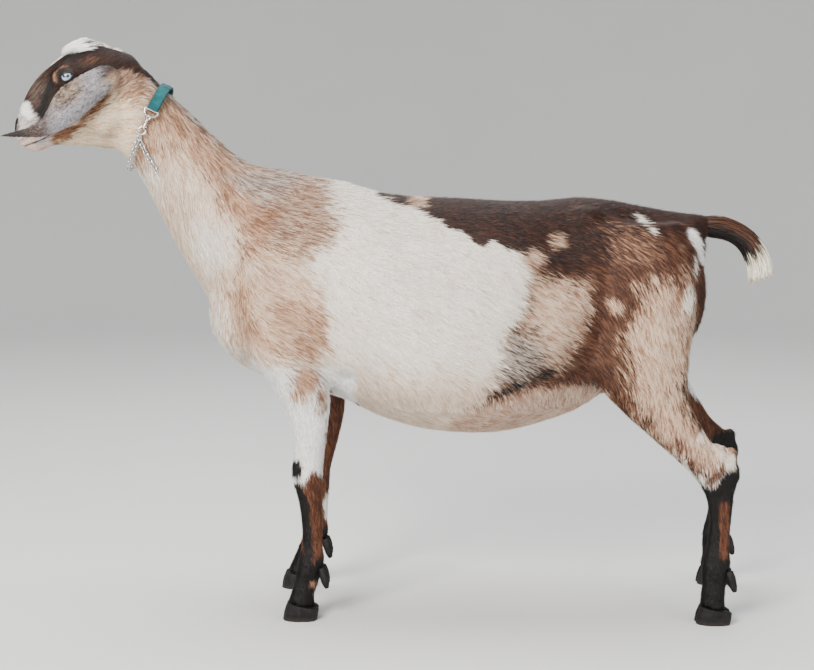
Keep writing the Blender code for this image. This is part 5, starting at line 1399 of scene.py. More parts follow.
    def _model_head(self, mesh: bpy.types.Mesh) -> None:
        """Model the brow, the tear groove, the nostrils and the mouth, and open the sockets."""
        points, normals = arrays(mesh)
        local = self.places.in_head(points)
        head = self._head_zone(points)
        push = self._pushed(local, HEAD_DENTS) * head
        u, v, w = local.T
        side = np.abs(v)
        line = np.interp(u, *zip(*self.mouth_line))
        mouth = hump(w - line, 0.0013) * step(u, 0.130, 0.138)
        push -= self.mouth_depth * mouth
        push += 0.0008 * hump(w - line - 0.0038, 0.0020) * step(u, 0.135, 0.145)
        away, reach = from_line(np.stack([u, side, w], axis=1), self.nostril_line)
        nostril = hump(away, 0.0014 + 0.0016 * np.sin(math.pi * np.clip(reach, 0.08, 0.92)))
        nostril *= step(u, 0.160, 0.166)
        push -= self.nostril_depth * nostril
        wing = hump(away - 0.0052, 0.0020) * step(u, 0.155, 0.163) * step(reach, 0.05, 0.3)
        push += 0.0012 * wing
        points = points + normals * push[:, None]
        for _, sign in SIDES:
            frame = self.eye_frame(sign)
            eye = in_frame(frame, points)
            long, high = self.socket_reach()
            open_share = (eye[:, 0] / long) ** 2 + (eye[:, 1] / high) ** 2
            socket = step(1.0 - open_share, 0.0, 0.35) * (eye[:, 2] > 0.0)
            points = points - np.array(frame.col[2][:3]) * (self.socket_depth * socket)[:, None]
        self.nostril = nostril
        self.mouth = mouth * head
        set_points(mesh, points)

    def socket_reach(self) -> Pair:
        """Return half the length and half the height of the socket behind the lids' opening."""
        return self.lid_opening[0] * 1.10, self.lid_opening[1] * 1.25

    def _lie(self, own: np.ndarray, local: np.ndarray, head: np.ndarray) -> np.ndarray:
        """Return the direction in which the hair lies at each place."""
        x, z = own[:, 0], own[:, 2]
        away = np.tile(np.array((0.86, 0.0, -0.50)), (len(x), 1))
        # Neck, chest, haunch, top line, legs and belly, each over the ones before.
        stretches = (
            (step(-x, 0.16, 0.26) * step(z, 0.46, 0.60), (0.40, 0.0, -0.92)),
            (step(-x, 0.17, 0.24) * step(-z, -0.56, -0.46), (0.25, 0.0, -1.0)),
            (step(x, 0.28, 0.42) * step(-z, -0.62, -0.50), (0.36, 0.0, -0.95)),
            (step(z, 0.600, 0.645) * step(x, -0.10, 0.0), (1.0, 0.0, -0.16)),
            (step(-z, -0.400, -0.330), (0.10, 0.0, -1.0)),
            (step(-z, -0.345, -0.315) * step(x, -0.03, 0.03) * step(-x, -0.36, -0.30), (0.9, 0.0, -0.1)),
        )
        for zone, way in stretches:
            away = toward(away, way, zone)
        drop = np.outer(step(-local[:, 2], -0.01, 0.05), np.array((0.0, 0.0, -0.35)))
        face = np.array(self.places.head_way(-1.0, 0.0, 0.0))[None] + drop
        return unit(toward(away, face, head))

    def _fields(self, mesh: bpy.types.Mesh) -> None:
        """Store what the coat needs: lie, length, width, density, region and colour."""
        points, normals = arrays(mesh)
        own, local, head = self.places.own(points), self.places.in_head(points), self._head_zone(points)
        lie = self._lie(own, local, head)
        swirl = Noise(21)
        side = np.cross(lie, normals)
        lie = lie + side * (0.24 * swirl.at(points, 0.055) + 0.14 * swirl.at(points, 0.019))[:, None]
        lie = along_surface(lie, normals)
        x, z = own[:, 0], own[:, 2]
        u, v, w = local.T
        legs = step(-z, -0.400, -0.300)
        feet = step(-z, -0.160, -0.070)
        crown = step(-z, -0.056, -0.040)
        fetlock = hump(z - 0.070, 0.014)
        mane = step(-x, 0.20, 0.28) * step(z, 0.55, 0.65)
        length = np.full(len(x), self.body_hair)
        for change, zone in zip(self.hair_changes, (legs, feet, crown, fetlock, mane)):
            length += change * zone
        muzzle = step(u, 0.060, 0.150)
        length += head * (self.head_hair[0] + self.head_hair[1] * muzzle - length)
        width = self.body_width[0] + self.body_width[1] * legs
        width += head * (self.head_width - width)
        dense = self.body_tufts[0] + self.body_tufts[1] * legs
        dense += head * (self.head_tufts[0] + self.head_tufts[1] * muzzle - dense)
        dense *= 1.0 - 0.55 * step(-z, -0.350, -0.310) * (1.0 - legs)
        bare = np.clip(self.nostril * 4.0 + self.mouth * 1.6, 0.0, 1.0)
        pupils = [self.eye_frame(sign) @ Vector((0.0, 0.0, self.eye_radius)) for _, sign in SIDES]
        from_eye = np.minimum.reduce([np.linalg.norm(points - np.array(pupil), axis=1) for pupil in pupils])
        bare = np.maximum(bare, 1.0 - step(from_eye, 0.0100, 0.0125))
        nose = step(u, 0.182, 0.187) * step(w, -0.008, 0.0) * step(-np.abs(v), -0.008, -0.005)
        dense *= 1.0 - np.maximum(bare, nose)
        inside = np.maximum(self.nostril, 0.8 * self.mouth)
        colour = self.markings.colours(points)
        # Painted shade: the nostrils and the mouth's slit (inside) and the skin in the sockets round the
        # eyeballs are painted near black.
        colour = toward(colour, paint(24, 16, 17), np.clip(inside * 1.4, 0.0, 1.0))
        colour = toward(colour, paint(22, 17, 18), 1.0 - step(from_eye, 0.0105, 0.0130))
        colour = toward(colour, paint(58, 48, 48), nose)
        store(mesh, "lie", "FLOAT_VECTOR", lie)
        for name, values in (("hair", length), ("wide", width), ("dense", dense),
                             ("wet", np.clip(inside + nose, 0.0, 1.0))):
            store(mesh, name, "FLOAT", values)
        store(mesh, "coat_colour", "FLOAT_COLOR", colour)
        self._regions(mesh)

    def _regions(self, mesh: bpy.types.Mesh) -> None:
        """Store on each face which stretch of the coat grows there."""
        centres = np.empty(len(mesh.polygons) * 3, dtype=np.float32)
        mesh.polygons.foreach_get("center", centres)
        centres = centres.reshape(-1, 3).astype(float)
        own = self.places.own(centres)
        head = self.markings.head_share(own) > 0.5
        x, y, z = own.T
        right = np.where(y > 0.0, 2, 0)
        region = np.where(x > 0.165, Region.BARREL_REAR_LEFT.value, Region.BARREL_FRONT_LEFT.value) + right
        fore = (z < 0.372) & (x < -0.05) & (np.abs(y) > 0.05)
        hind = (z < 0.350) & (x > 0.375)
        neck = (x < -0.235) & (z > 0.45) | (x < -0.285)
        for zone, stretch in ((fore, Region.FORE_LEGS), (hind, Region.HIND_LEGS), (neck, Region.NECK),
                              (head, Region.HEAD)):
            region = np.where(zone, stretch.value, region)
        store(mesh, "region", "INT", region, "FACE")


# Coat


@dataclass(frozen=True)
class Growth:
    """How one stretch of short hair grows, and the axis that its patch of the bake's map goes round."""

    name: str
    seed: int
    axis: tuple[Vector, Vector]
    region: int = 0
    paired: bool = False
    lift: float = 0.14
    waver: float = 0.20
    sunk: float = 0.10
    # Value of along at the root, which sets how much painted shade the finish puts on the roots.
    root: float = 0.0


class Coat:
    """Short hair in tufts of three sides that lie along the skin, one piece for each stretch."""

    patch = 0.003
    corners = 4
    normal_share = 0.55
    shade: Pair = (0.90, 0.20)
    # First seeds of the scatter, the draw and the shade, and the seeds of the two streaks.
    seeds = (11, 50, 90)
    streak_seeds = (61, 67)
    barrel_front = ((-0.30, 0.0, 0.49), (0.19, 0.0, 0.47))
    barrel_rear = ((0.14, 0.0, 0.47), (0.54, 0.0, 0.50))
    axes = {
        Region.HEAD: ((-0.62, -0.06, 0.74), (-0.40, 0.0, 0.86)),
        Region.NECK: ((-0.46, 0.0, 0.80), (-0.22, 0.0, 0.52)),
        Region.BARREL_FRONT_LEFT: barrel_front,
        Region.BARREL_FRONT_RIGHT: barrel_front,
        Region.BARREL_REAR_LEFT: barrel_rear,
        Region.BARREL_REAR_RIGHT: barrel_rear,
        Region.FORE_LEGS: ((-0.13, 0.0, 0.40), (-0.13, 0.0, 0.0)),
        Region.HIND_LEGS: ((0.50, 0.0, 0.38), (0.50, 0.0, 0.0)),
    }

    def __init__(self, places: Places, markings: Markings) -> None:
        """Build the tree and the finish once."""
        self.places = places
        self.markings = markings
        self.finish = coat_finish()
        self.tree = self._tree()

    def _tree(self) -> bpy.types.NodeTree:
        """Build the geometry nodes that scatter tufts over one region of the skin."""
        bench = GeometryBench("coat_tufts", {"Region": "Int", "Seed": "Int", "Lift": "Float",
                                             "Waver": "Float", "Sunk": "Float"})
        given = bench.given
        chosen = bench.make("FunctionNodeCompare", 0, {"data_type": "INT", "operation": "EQUAL"},
                            {2: bench.named("region", "INT"), 3: given["Region"]})
        scatter = bench.node("GeometryNodeDistributePointsOnFaces", {"distribute_method": "RANDOM"},
                             {"Mesh": given["Geometry"], "Selection": chosen,
                              "Density": bench.named("dense"), "Seed": given["Seed"]})
        place = bench.make("GeometryNodeInputPosition", 0)
        points = bench.stored(Wire(bench, scatter.outputs["Points"]), "root", place)
        points = bench.stored(points, "root_normal", Wire(bench, scatter.outputs["Normal"]))
        points = bench.stored(points, "pick", bench.drawn(4), "FLOAT")
        normal = bench.named("root_normal", "FLOAT_VECTOR")
        straw = bench.make("FunctionNodeRandomValue", 0, {"data_type": "FLOAT_VECTOR"},
                           {0: (-1.0, -1.0, -1.0), 1: (1.0, 1.0, 1.0), "Seed": 7})
        up = bench.vector("SCALE", {0: normal, "Scale": given["Lift"] * bench.drawn(8, 0.35, 1.5)})
        stray = bench.vector("SCALE", {0: straw, "Scale": given["Waver"]})
        way = bench.vector("ADD", {0: bench.named("lie", "FLOAT_VECTOR"), 1: up})
        way = bench.vector("ADD", {0: way, 1: stray})
        wide = bench.named("wide") * bench.drawn(3, 0.7, 1.3)
        size = bench.joined_up(wide * 0.45, wide, bench.named("hair") * bench.drawn(2, 0.65, 1.25))
        cone = bench.make("GeometryNodeMeshCone", "Mesh", {"fill_type": "NGON"},
                          {"Vertices": 3, "Side Segments": 1, "Radius Top": 0.0, "Radius Bottom": 0.55,
                           "Depth": 1.0})
        cone = bench.stored(cone, "blade", place)
        cone = bench.make("GeometryNodeTransform", 0, {},
                          {"Geometry": cone, "Translation": bench.joined_up(0.0, 0.0, 0.0 - given["Sunk"])})
        return bench.close(points, cone, bench.turned(way, normal), size)

    def grow(self, skin: bpy.types.Object, growth: Growth,
             colours: Callable[[np.ndarray, np.ndarray, np.ndarray], np.ndarray]) -> bpy.types.Object:
        """Grow one stretch of short hair.

        Args:
            skin: the skin with its fields.
            growth: how the hair grows.
            colours: gives each tuft's colour from its root, its own random number and its lie.

        Returns:
            One plain mesh of tufts.
        """
        holder = new_object("holder", skin.data)
        mesh = run_tree(holder, self.tree, growth.name,
                        {"Region": growth.region, "Seed": growth.seed, "Lift": growth.lift,
                         "Waver": growth.waver, "Sunk": growth.sunk, "Finish": self.finish})
        bpy.data.objects.remove(holder)
        root, normal, lie = (fetch(mesh, name, 3) for name in ("root", "root_normal", "lie"))
        blade, pick = fetch(mesh, "blade", 3), fetch(mesh, "pick", 1)
        colour = colours(*(values[::self.corners].astype(float) for values in (root, pick, lie)))
        store(mesh, "coat_colour", "FLOAT_COLOR", np.repeat(colour, self.corners, axis=0))
        # along runs from root to tip, and the finish paints shade where it is low.
        store(mesh, "along", "FLOAT", growth.root + (1.0 - growth.root) * blade[:, 2])
        soften(mesh, normal, self.normal_share)
        flat = unwrap(root.astype(float), *growth.axis, growth.paired)
        lay_out(mesh, flat + blade[:, :2] * self.patch)
        # What the growing needed and the finish doesn't.
        for name in ("root", "root_normal", "blade", "pick", "lie", "hair", "wide", "dense", "wet",
                     "region"):
            if name in mesh.attributes:
                mesh.attributes.remove(mesh.attributes[name])
        return new_object(mesh.name, mesh)

    def cover(self, skin: bpy.types.Object, region: Region) -> bpy.types.Object:
        """Grow the coat of one region of the body's skin."""

        def colours(root: np.ndarray, pick: np.ndarray, lie: np.ndarray) -> np.ndarray:
            """Return the markings' colours, mixed in streaks."""
            draw, light = (np.random.default_rng(seed).random(len(pick)) for seed in (draw_seed, shade_seed))
            shade = self.shade[0] + self.shade[1] * light
            first, second = (streaks(root, lie, seed, own)
                             for seed, own in zip(self.streak_seeds, (pick, draw)))
            return self.markings.colours(root, first, second) * shade[:, None]

        scatter_seed, draw_seed, shade_seed = (seed + region.value for seed in self.seeds)
        start, end = self.axes[region]
        axis = (self.places.world(*start), self.places.world(*end))
        paired = region in (Region.FORE_LEGS, Region.HIND_LEGS)
        growth = Growth(f"coat_{region.name.lower()}", scatter_seed, axis, region.value, paired)
        return self.grow(skin, growth, colours)


def soften(mesh: bpy.types.Mesh, normals: np.ndarray, share: float) -> None:
    """Shade tufts partly as the skin below them, so that the coat reads as one surface."""
    _, own = arrays(mesh)
    mixed = unit(own * (1.0 - share) + unit(normals.astype(float)) * share)
    mesh.shade_smooth()
    mesh.normals_split_custom_set_from_vertices(mixed.astype(np.float32))


def unwrap(points: np.ndarray, start: Vector, end: Vector, paired: bool) -> np.ndarray:
    """Unwrap places about an axis.

    Args:
        points: the places.
        start: the axis's start.
        end: the axis's end.
        paired: whether the places lie on two legs, which get half the map each.

    Returns:
        A place from 0 to 1 each way for each point.
    """
    points = points.copy()
    axis = np.array((end - start).normalized())
    side = np.sign(points[:, 1])
    if paired:
        points[:, 1] -= side * 0.10
    away = points - np.array(start)
    along = away @ axis / (end - start).length
    across = np.array((0.0, 1.0, 0.0)) if abs(axis[1]) < 0.9 else np.array((1.0, 0.0, 0.0))
    across = unit(across - axis * (across @ axis))
    other = np.cross(axis, across)
    turn = np.arctan2(away @ across, away @ other) / (2.0 * math.pi) + 0.5
    if paired:
        turn = (turn + (side > 0.0)) / 2.0
    return np.clip(np.stack([turn, along], axis=1) * 0.96 + 0.02, 0.002, 0.998)


def lay_out(mesh: bpy.types.Mesh, flat: np.ndarray) -> None:
    """Write each point's place on the bake's map."""
    layer = mesh.uv_layers.new(name="OFBake")
    corners = np.empty(len(mesh.loops), dtype=np.int32)
    mesh.loops.foreach_get("vertex_index", corners)
    layer.data.foreach_set("uv", flat[corners].astype(np.float32).ravel())


# Long hair


def strands(name: str, spines: np.ndarray, outward: np.ndarray, width: np.ndarray, flat: np.ndarray,
            colour: np.ndarray, material: bpy.types.Material) -> bpy.types.Object:
    """Build long three-sided hairs that taper along bent spines, as one mesh.

    Args:
        name: the piece's name.
        spines: places along each hair: hairs, places, 3.
        outward: which way each hair's flat face looks: hairs, 3.
        width: each hair's width at its root.
        flat: each hair's place on the bake's map.
        colour: each hair's colour.
        material: the finish.

    Returns:
        The piece.
    """
    count, places, _ = spines.shape
    along = unit(np.gradient(spines, axis=1))
    side = unit(np.cross(along, outward[:, None, :]))
    out = np.cross(side, along)
    t = np.linspace(0.0, 1.0, places)
    taper = (0.55 + 0.8 * t - 1.28 * t**2)[None, :, None] * width[:, None, None]
    corners = [spines + out * taper * 0.35, spines + side * taper * 0.5 - out * taper * 0.12,
               spines - side * taper * 0.5 - out * taper * 0.12]
    body = np.stack(corners, axis=2)[:, :-1].reshape(count, -1, 3)
    points = np.concatenate([body, spines[:, -1:]], axis=1)
    each = points.shape[1]
    faces = [(0, 2, 1)]
    for level in range(places - 2):
        low, high = level * 3, level * 3 + 3
        for k in range(3):
            after = (k + 1) % 3
            faces += [(low + k, low + after, high + after), (low + k, high + after, high + k)]
    last = (places - 2) * 3
    faces += [(last + k, last + (k + 1) % 3, each - 1) for k in range(3)]
    index = (np.array(faces)[None] + (np.arange(count) * each)[:, None, None]).reshape(-1, 3)
    mesh = bpy.data.meshes.new(name)
    mesh.vertices.add(count * each)
    mesh.vertices.foreach_set("co", points.astype(np.float32).ravel())
    mesh.loops.add(len(index) * 3)
    mesh.loops.foreach_set("vertex_index", index.astype(np.int32).ravel())
    mesh.polygons.add(len(index))
    mesh.polygons.foreach_set("loop_start", (np.arange(len(index)) * 3).astype(np.int32))
    mesh.update(calc_edges=True)
    mesh.shade_smooth()
    mesh.materials.append(material)
    store(mesh, "coat_colour", "FLOAT_COLOR", np.repeat(colour, each, axis=0))
    levels = np.append(np.repeat(t[:-1], 3), 1.0)
    # along starts at 0.25 at the root, and the finish paints shade on the lower part of each hair.
    store(mesh, "along", "FLOAT", np.tile(0.25 + 0.75 * levels, count))
    spread = np.append(np.tile(np.array((0.0, 1.0, 2.0)), places - 1), 0.0) * 2.1
    offset = np.stack([np.cos(spread + levels), np.sin(spread + levels)], axis=1) * 0.0015
    lay_out(mesh, np.clip(np.repeat(flat, each, axis=0) + np.tile(offset, (count, 1)), 0.001, 0.999))
    return new_object(name, mesh)


@dataclass
class Tail:
    """The raised tail: a core that belongs to the skin, and the long hair that makes its blunt brush."""

    places: Places
    rows: tuple[tuple[float, float, float, float], ...] = (
        (0.430, 0.603, 0.0180, 0.022), (0.478, 0.609, 0.0205, 0.024), (0.515, 0.608, 0.0205, 0.025),
        (0.549, 0.602, 0.0185, 0.026), (0.575, 0.587, 0.0185, 0.026), (0.5905, 0.566, 0.0195, 0.024),
        (0.599, 0.543, 0.0205, 0.020), (0.604, 0.515, 0.0210, 0.014))
    hairs: int = 3600
    width: float = 0.0017
    core_end: float = 0.85
    seed: int = 17

    def frames(self, count: int) -> tuple[np.ndarray, np.ndarray, np.ndarray, np.ndarray]:
        """Return places down the tail's middle, its upward ways, half heights and half widths."""
        table = smooth_rows(self.rows, count)
        middle = np.stack([table[:, 0], np.zeros(count), table[:, 1]], axis=1) + np.array(self.places.shift)
        along = unit(np.gradient(middle, axis=0))
        upward = np.stack([-along[:, 2], np.zeros(count), along[:, 0]], axis=1)
        return middle, upward, table[:, 2], table[:, 3]

    def core(self) -> bmesh.types.BMesh:
        """Return the closed core that the skin takes in."""
        count, sides = 40, 20
        middle, upward, high, wide = self.frames(count)
        turn = np.arange(sides) * 2.0 * math.pi / sides
        rings = []
        for k in range(round(self.core_end * (count - 1)) + 1):
            t = k / (count - 1)
            share = 1.0 - 0.34 * float(step(np.array([t]), 0.26, 0.46)[0])
            rings.append(middle[k] + np.outer(np.cos(turn), (0.0, wide[k] * share, 0.0))
                         + np.outer(np.sin(turn), upward[k] * high[k] * share))
        core = mesh_object("tail_core", *loft_data(rings))
        built = bmesh.new()
        built.from_mesh(core.data)
        remove(core)
        return built

    def hair(self, material: bpy.types.Material) -> bpy.types.Object:
        """Lay the long hair along the tail to its blunt tip."""
        count = 80
        middle, upward, high, wide = self.frames(count)
        draw = np.random.default_rng(self.seed)
        n = self.hairs
        root = 0.30 + 0.62 * draw.random(n) ** 0.85
        turn = 2.0 * math.pi * draw.random(n)
        tip = np.minimum(root + 0.20 + 0.12 * draw.random(n),
                         0.940 + 0.035 * draw.random(n) - 0.025 * np.cos(turn))
        steps = np.linspace(0.0, 1.0, 6)
        t = root[:, None] + (tip - root)[:, None] * steps
        reach = (0.985 - 0.42 * draw.random(n) ** 1.6)[:, None]
        inner = np.minimum(reach, 0.62)
        share = inner + (reach - inner) * np.sin(math.pi / 2.0 * np.minimum(steps * 1.5, 1.0))[None]
        wander = turn[:, None] + 0.10 * np.outer(draw.standard_normal(n), steps)
        grid = np.arange(count) / (count - 1)
        up = read_rows(t, grid, upward)
        tall, broad = np.interp(t, grid, high), np.interp(t, grid, wide)
        spines = read_rows(t, grid, middle) + up * (np.cos(wander) * tall * share)[:, :, None]
        spines[:, :, 1] -= np.sin(wander) * broad * share
        outward = unit(up[:, 3] * np.cos(turn)[:, None] + np.outer(-np.sin(turn), (0.0, 1.0, 0.0)))
        colour = self.colours(t[:, 2], turn, draw.random(n), draw.random(n))
        flat = np.stack([turn / (2.0 * math.pi), root], axis=1) * 0.96 + 0.02
        width = self.width * (0.6 + 0.8 * draw.random(n))
        return strands("tail_hair", spines, outward, width, flat, colour, material)

    def colours(self, t: np.ndarray, turn: np.ndarray, pick: np.ndarray, dither: np.ndarray) -> np.ndarray:
        """Return colours down the tail: brown over a black underside, then the white brush."""
        above = np.cos(turn)
        colour = np.where((pick < 0.26)[:, None], paint(104, 66, 44), paint(54, 30, 20))
        low = step(-above, 0.15, 0.45) > dither
        colour = np.where(low[:, None], paint(24, 17, 16), colour)
        ridge = (np.abs(t - 0.66) < 0.06) & (above > 0.80)
        colour = np.where(ridge[:, None], paint(28, 20, 18), colour)
        edge = 0.695 - 0.045 * above
        white = np.where((pick < TAIL_WHITE.share)[:, None], TAIL_WHITE.pale, TAIL_WHITE.dark)
        return np.where((t > edge + 0.03 * (dither - 0.5))[:, None], white, colour)


@dataclass(frozen=True)
class PollZone:
    """Where one part of the poll's hair roots in the head's frame, and how it lies."""

    u: float
    spread: Pair
    length: float
    rise: float
    sway: float


@dataclass
class PollTuft:
    """The white and grey hair that sweeps back over the crown."""

    places: Places
    front: PollZone = PollZone(0.062, (0.036, 0.046), 0.021, 1.0, 0.30)
    behind: PollZone = PollZone(0.012, (0.022, 0.034), 0.014, 0.35, 0.10)
    behind_share: float = 0.30
    # Lowest height of a hair's bow and what chance adds, and the longest addition to its length.
    bow: Pair = (0.0030, 0.0110)
    more_length: float = 0.008
    hairs: int = 3400
    width: float = 0.0013
    seed: int = 23

    def hair(self, tree: BVHTree, material: bpy.types.Material) -> bpy.types.Object:
        """Root the hair on the skin's crown and sweep it back.

        Args:
            tree: a search tree of the skin.
            material: the finish.

        Returns:
            The piece.
        """
        draw = np.random.default_rng(self.seed)
        back, up = self.places.head_way(-1.0, 0.0, 0.0), self.places.head_way(0.0, 0.0, 1.0)
        left = self.places.head_way(0.0, 1.0, 0.0)
        spines, outward, tones, roots = [], [], [], []
        while len(spines) < self.hairs:
            zone = self.behind if draw.random() < self.behind_share else self.front
            u, v = zone.u - zone.spread[0] * draw.random(), zone.spread[1] * (draw.random() - 0.5)
            if zone is self.front and abs(v) > 0.009 + 0.55 * min(0.064 - u, 0.026):
                continue
            hit, normal, _, _ = tree.ray_cast(self.places.on_head(u, v, 0.15), -up)
            if hit is None:
                continue
            crown = 1.0 - (abs(v) / 0.027) ** 2
            rise = (self.bow[0] + self.bow[1] * draw.random()) * max(crown, 0.1) * zone.rise
            length = zone.length + self.more_length * draw.random()
            sway = left * (v * zone.sway + 0.0030 * draw.standard_normal())
            way = (back - normal * back.dot(normal)).normalized()
            under, facing, _, _ = tree.find_nearest(hit + way * length + sway)
            tip = under + facing * (0.0004 + 0.0022 * draw.random() ** 2 * max(crown, 0.0))
            mid = hit + normal * rise + way * (length * 0.12) + sway * 0.3
            late = tip + facing * (rise * 0.85) - way * (length * 0.16)
            spine = [hit * (1 - f) ** 3 + mid * (3 * f * (1 - f) ** 2) + late * (3 * f * f * (1 - f))
                     + tip * f**3 for f in (k / 5 for k in range(6))]
            spine[0] = hit - normal * 0.001
            spines.append([tuple(point) for point in spine])
            outward.append(tuple(normal))
            tone = ROAN_GREY if zone is self.behind or u < 0.032 and draw.random() < 0.4 else WHITE
            if zone is self.front and u < 0.030 and draw.random() < 0.45:
                tone = FACE_BROWN
            tones.append(tone.pale if draw.random() < tone.share else tone.dark)
            roots.append(((v + 0.03) / 0.06, (u + 0.02) / 0.10))
        width = self.width * (0.6 + 0.8 * draw.random(self.hairs))
        return strands("poll_tuft", np.array(spines), np.array(outward), width,
                       np.array(roots) * 0.96 + 0.02, np.array(tones), material)


# Ears, eyes and lids


@dataclass
class Ear:
    """One long hanging ear: thin cupped skin with a rim, and its own short roan coat."""

    places: Places
    side: str
    sign: float
    markings: Markings
    voxel: float = 0.0012
    # Where the ear starts in the head's frame, and the share of its length at which the tip darkens.
    start: float = 0.004
    tip_start: float = 0.58

    def _along(self, local: np.ndarray, end: float) -> np.ndarray:
        """Return at which share of the ear's length each place of the head's frame lies."""
        return np.clip((local[:, 0] - self.start) / (end - self.start), 0.0, 1.0)

    def build(self) -> bpy.types.Object:
        """Smooth the solid ear and store what its coat needs."""
        ear = joined(f"ear_{self.side}_skin", [loose_copy(f"ear_{self.side}")])
        voxels(ear, self.voxel)
        relax(ear.data, 0.9, 6)
        points, normals = arrays(ear.data)
        local = self.places.in_head(points)
        along = self._along(local, local[:, 0].max())
        grid = np.linspace(0, 1, 24)
        middle = np.array([np.median(points[np.abs(along - at) < 0.03], axis=0) for at in grid])
        ahead = unit(np.gradient(middle, axis=0))
        lie = along_surface(read_rows(along, grid, ahead), normals)
        outer = np.sum(normals * np.array(self.places.head_way(0.0, -self.sign, 0.1)), axis=1)
        store(ear.data, "lie", "FLOAT_VECTOR", lie)
        store(ear.data, "hair", "FLOAT", 0.0048 - 0.0018 * along + 0.0060 * step(-along, -0.14, -0.02))
        store(ear.data, "wide", "FLOAT", 0.00085 - 0.00025 * along)
        store(ear.data, "dense", "FLOAT", 560000.0 * np.where(outer > -0.3, 1.0, 0.35))
        store(ear.data, "region", "INT", np.zeros(len(ear.data.polygons)), "FACE")
        store(ear.data, "wet", "FLOAT", np.zeros(len(along)))
        self.middle = middle
        store(ear.data, "coat_colour", "FLOAT_COLOR", self.colours(points))
        ear.data.shade_smooth()
        return ear

    def colours(self, points: np.ndarray, pick: np.ndarray | None = None) -> np.ndarray:
        """Return the ear's hair colours: grey roan with painted shade along its lower edge, brown specks and
        a dark tip.
        """
        local = self.places.in_head(points)
        span = self.places.in_head(self.middle)
        along = self._along(local, span[-1, 0])
        above = (local[:, 2] - np.interp(local[:, 0], span[:, 0], span[:, 2])) / 0.022
        coarse, fine = Noise(31).at(points, 0.0060), Noise(37).at(points, 0.0018)
        count = len(points)
        rand = np.full(count, 0.5) if pick is None else ranked(0.45 * fine + 1.6 * (pick - 0.5))

        def tone(dark: Colour, pale: Colour, share: np.ndarray) -> np.ndarray:
            """Pick a dark or a pale tuft for each place."""
            return np.array(dark) + (np.array(pale) - np.array(dark)) * picked(share, rand, 4.0)[:, None]

        grey = tone(paint(48, 42, 44), paint(162, 160, 166), 0.62 + 0.12 * coarse)
        # Painted shade: the grey hair is darker below the ear's middle line, where its cupped fold turns from
        # the light.
        grey = grey * (0.80 + 0.24 * step(above, -0.9, 0.3))[:, None]
        warm = tone(paint(48, 29, 21), paint(180, 160, 143), 0.44 + 0.14 * coarse)
        dark = tone(paint(62, 48, 44), paint(140, 128, 124), 0.36 + 0.16 * coarse)
        tip = tone(paint(34, 25, 23), paint(72, 56, 50), np.full(count, 0.35))
        zone = hump(along - 0.42, 0.17) * step(above, -0.5, 0.5)
        start = along - self.tip_start + 0.07 * above + 0.03 * coarse
        colour = toward(grey, warm, np.clip(zone * 1.2 + 0.2 * coarse, 0.0, 1.0))
        colour = toward(colour, dark, step(start, 0.0, 0.15))
        colour = toward(colour, tip, step(start, 0.14, 0.34))
        root = step(0.05 * coarse - along, -0.22, -0.03)
        root = picked(root * 1.4 - 0.2, np.modf(rand * 7.3)[0], 2.0)
        return toward(colour, self.markings.colours(points, rand), root * 0.9)

    def coat(self, ear: bpy.types.Object, coat: Coat) -> bpy.types.Object:
        """Grow the ear's short tufts."""
        axis = (Vector(self.middle[0]), Vector(self.middle[-1]))
        growth = Growth(f"coat_ear_{self.side}", 41, axis, lift=0.11, waver=0.16, sunk=0.06, root=0.35)
        return coat.grow(ear, growth, lambda root, pick, _: self.colours(root, pick))


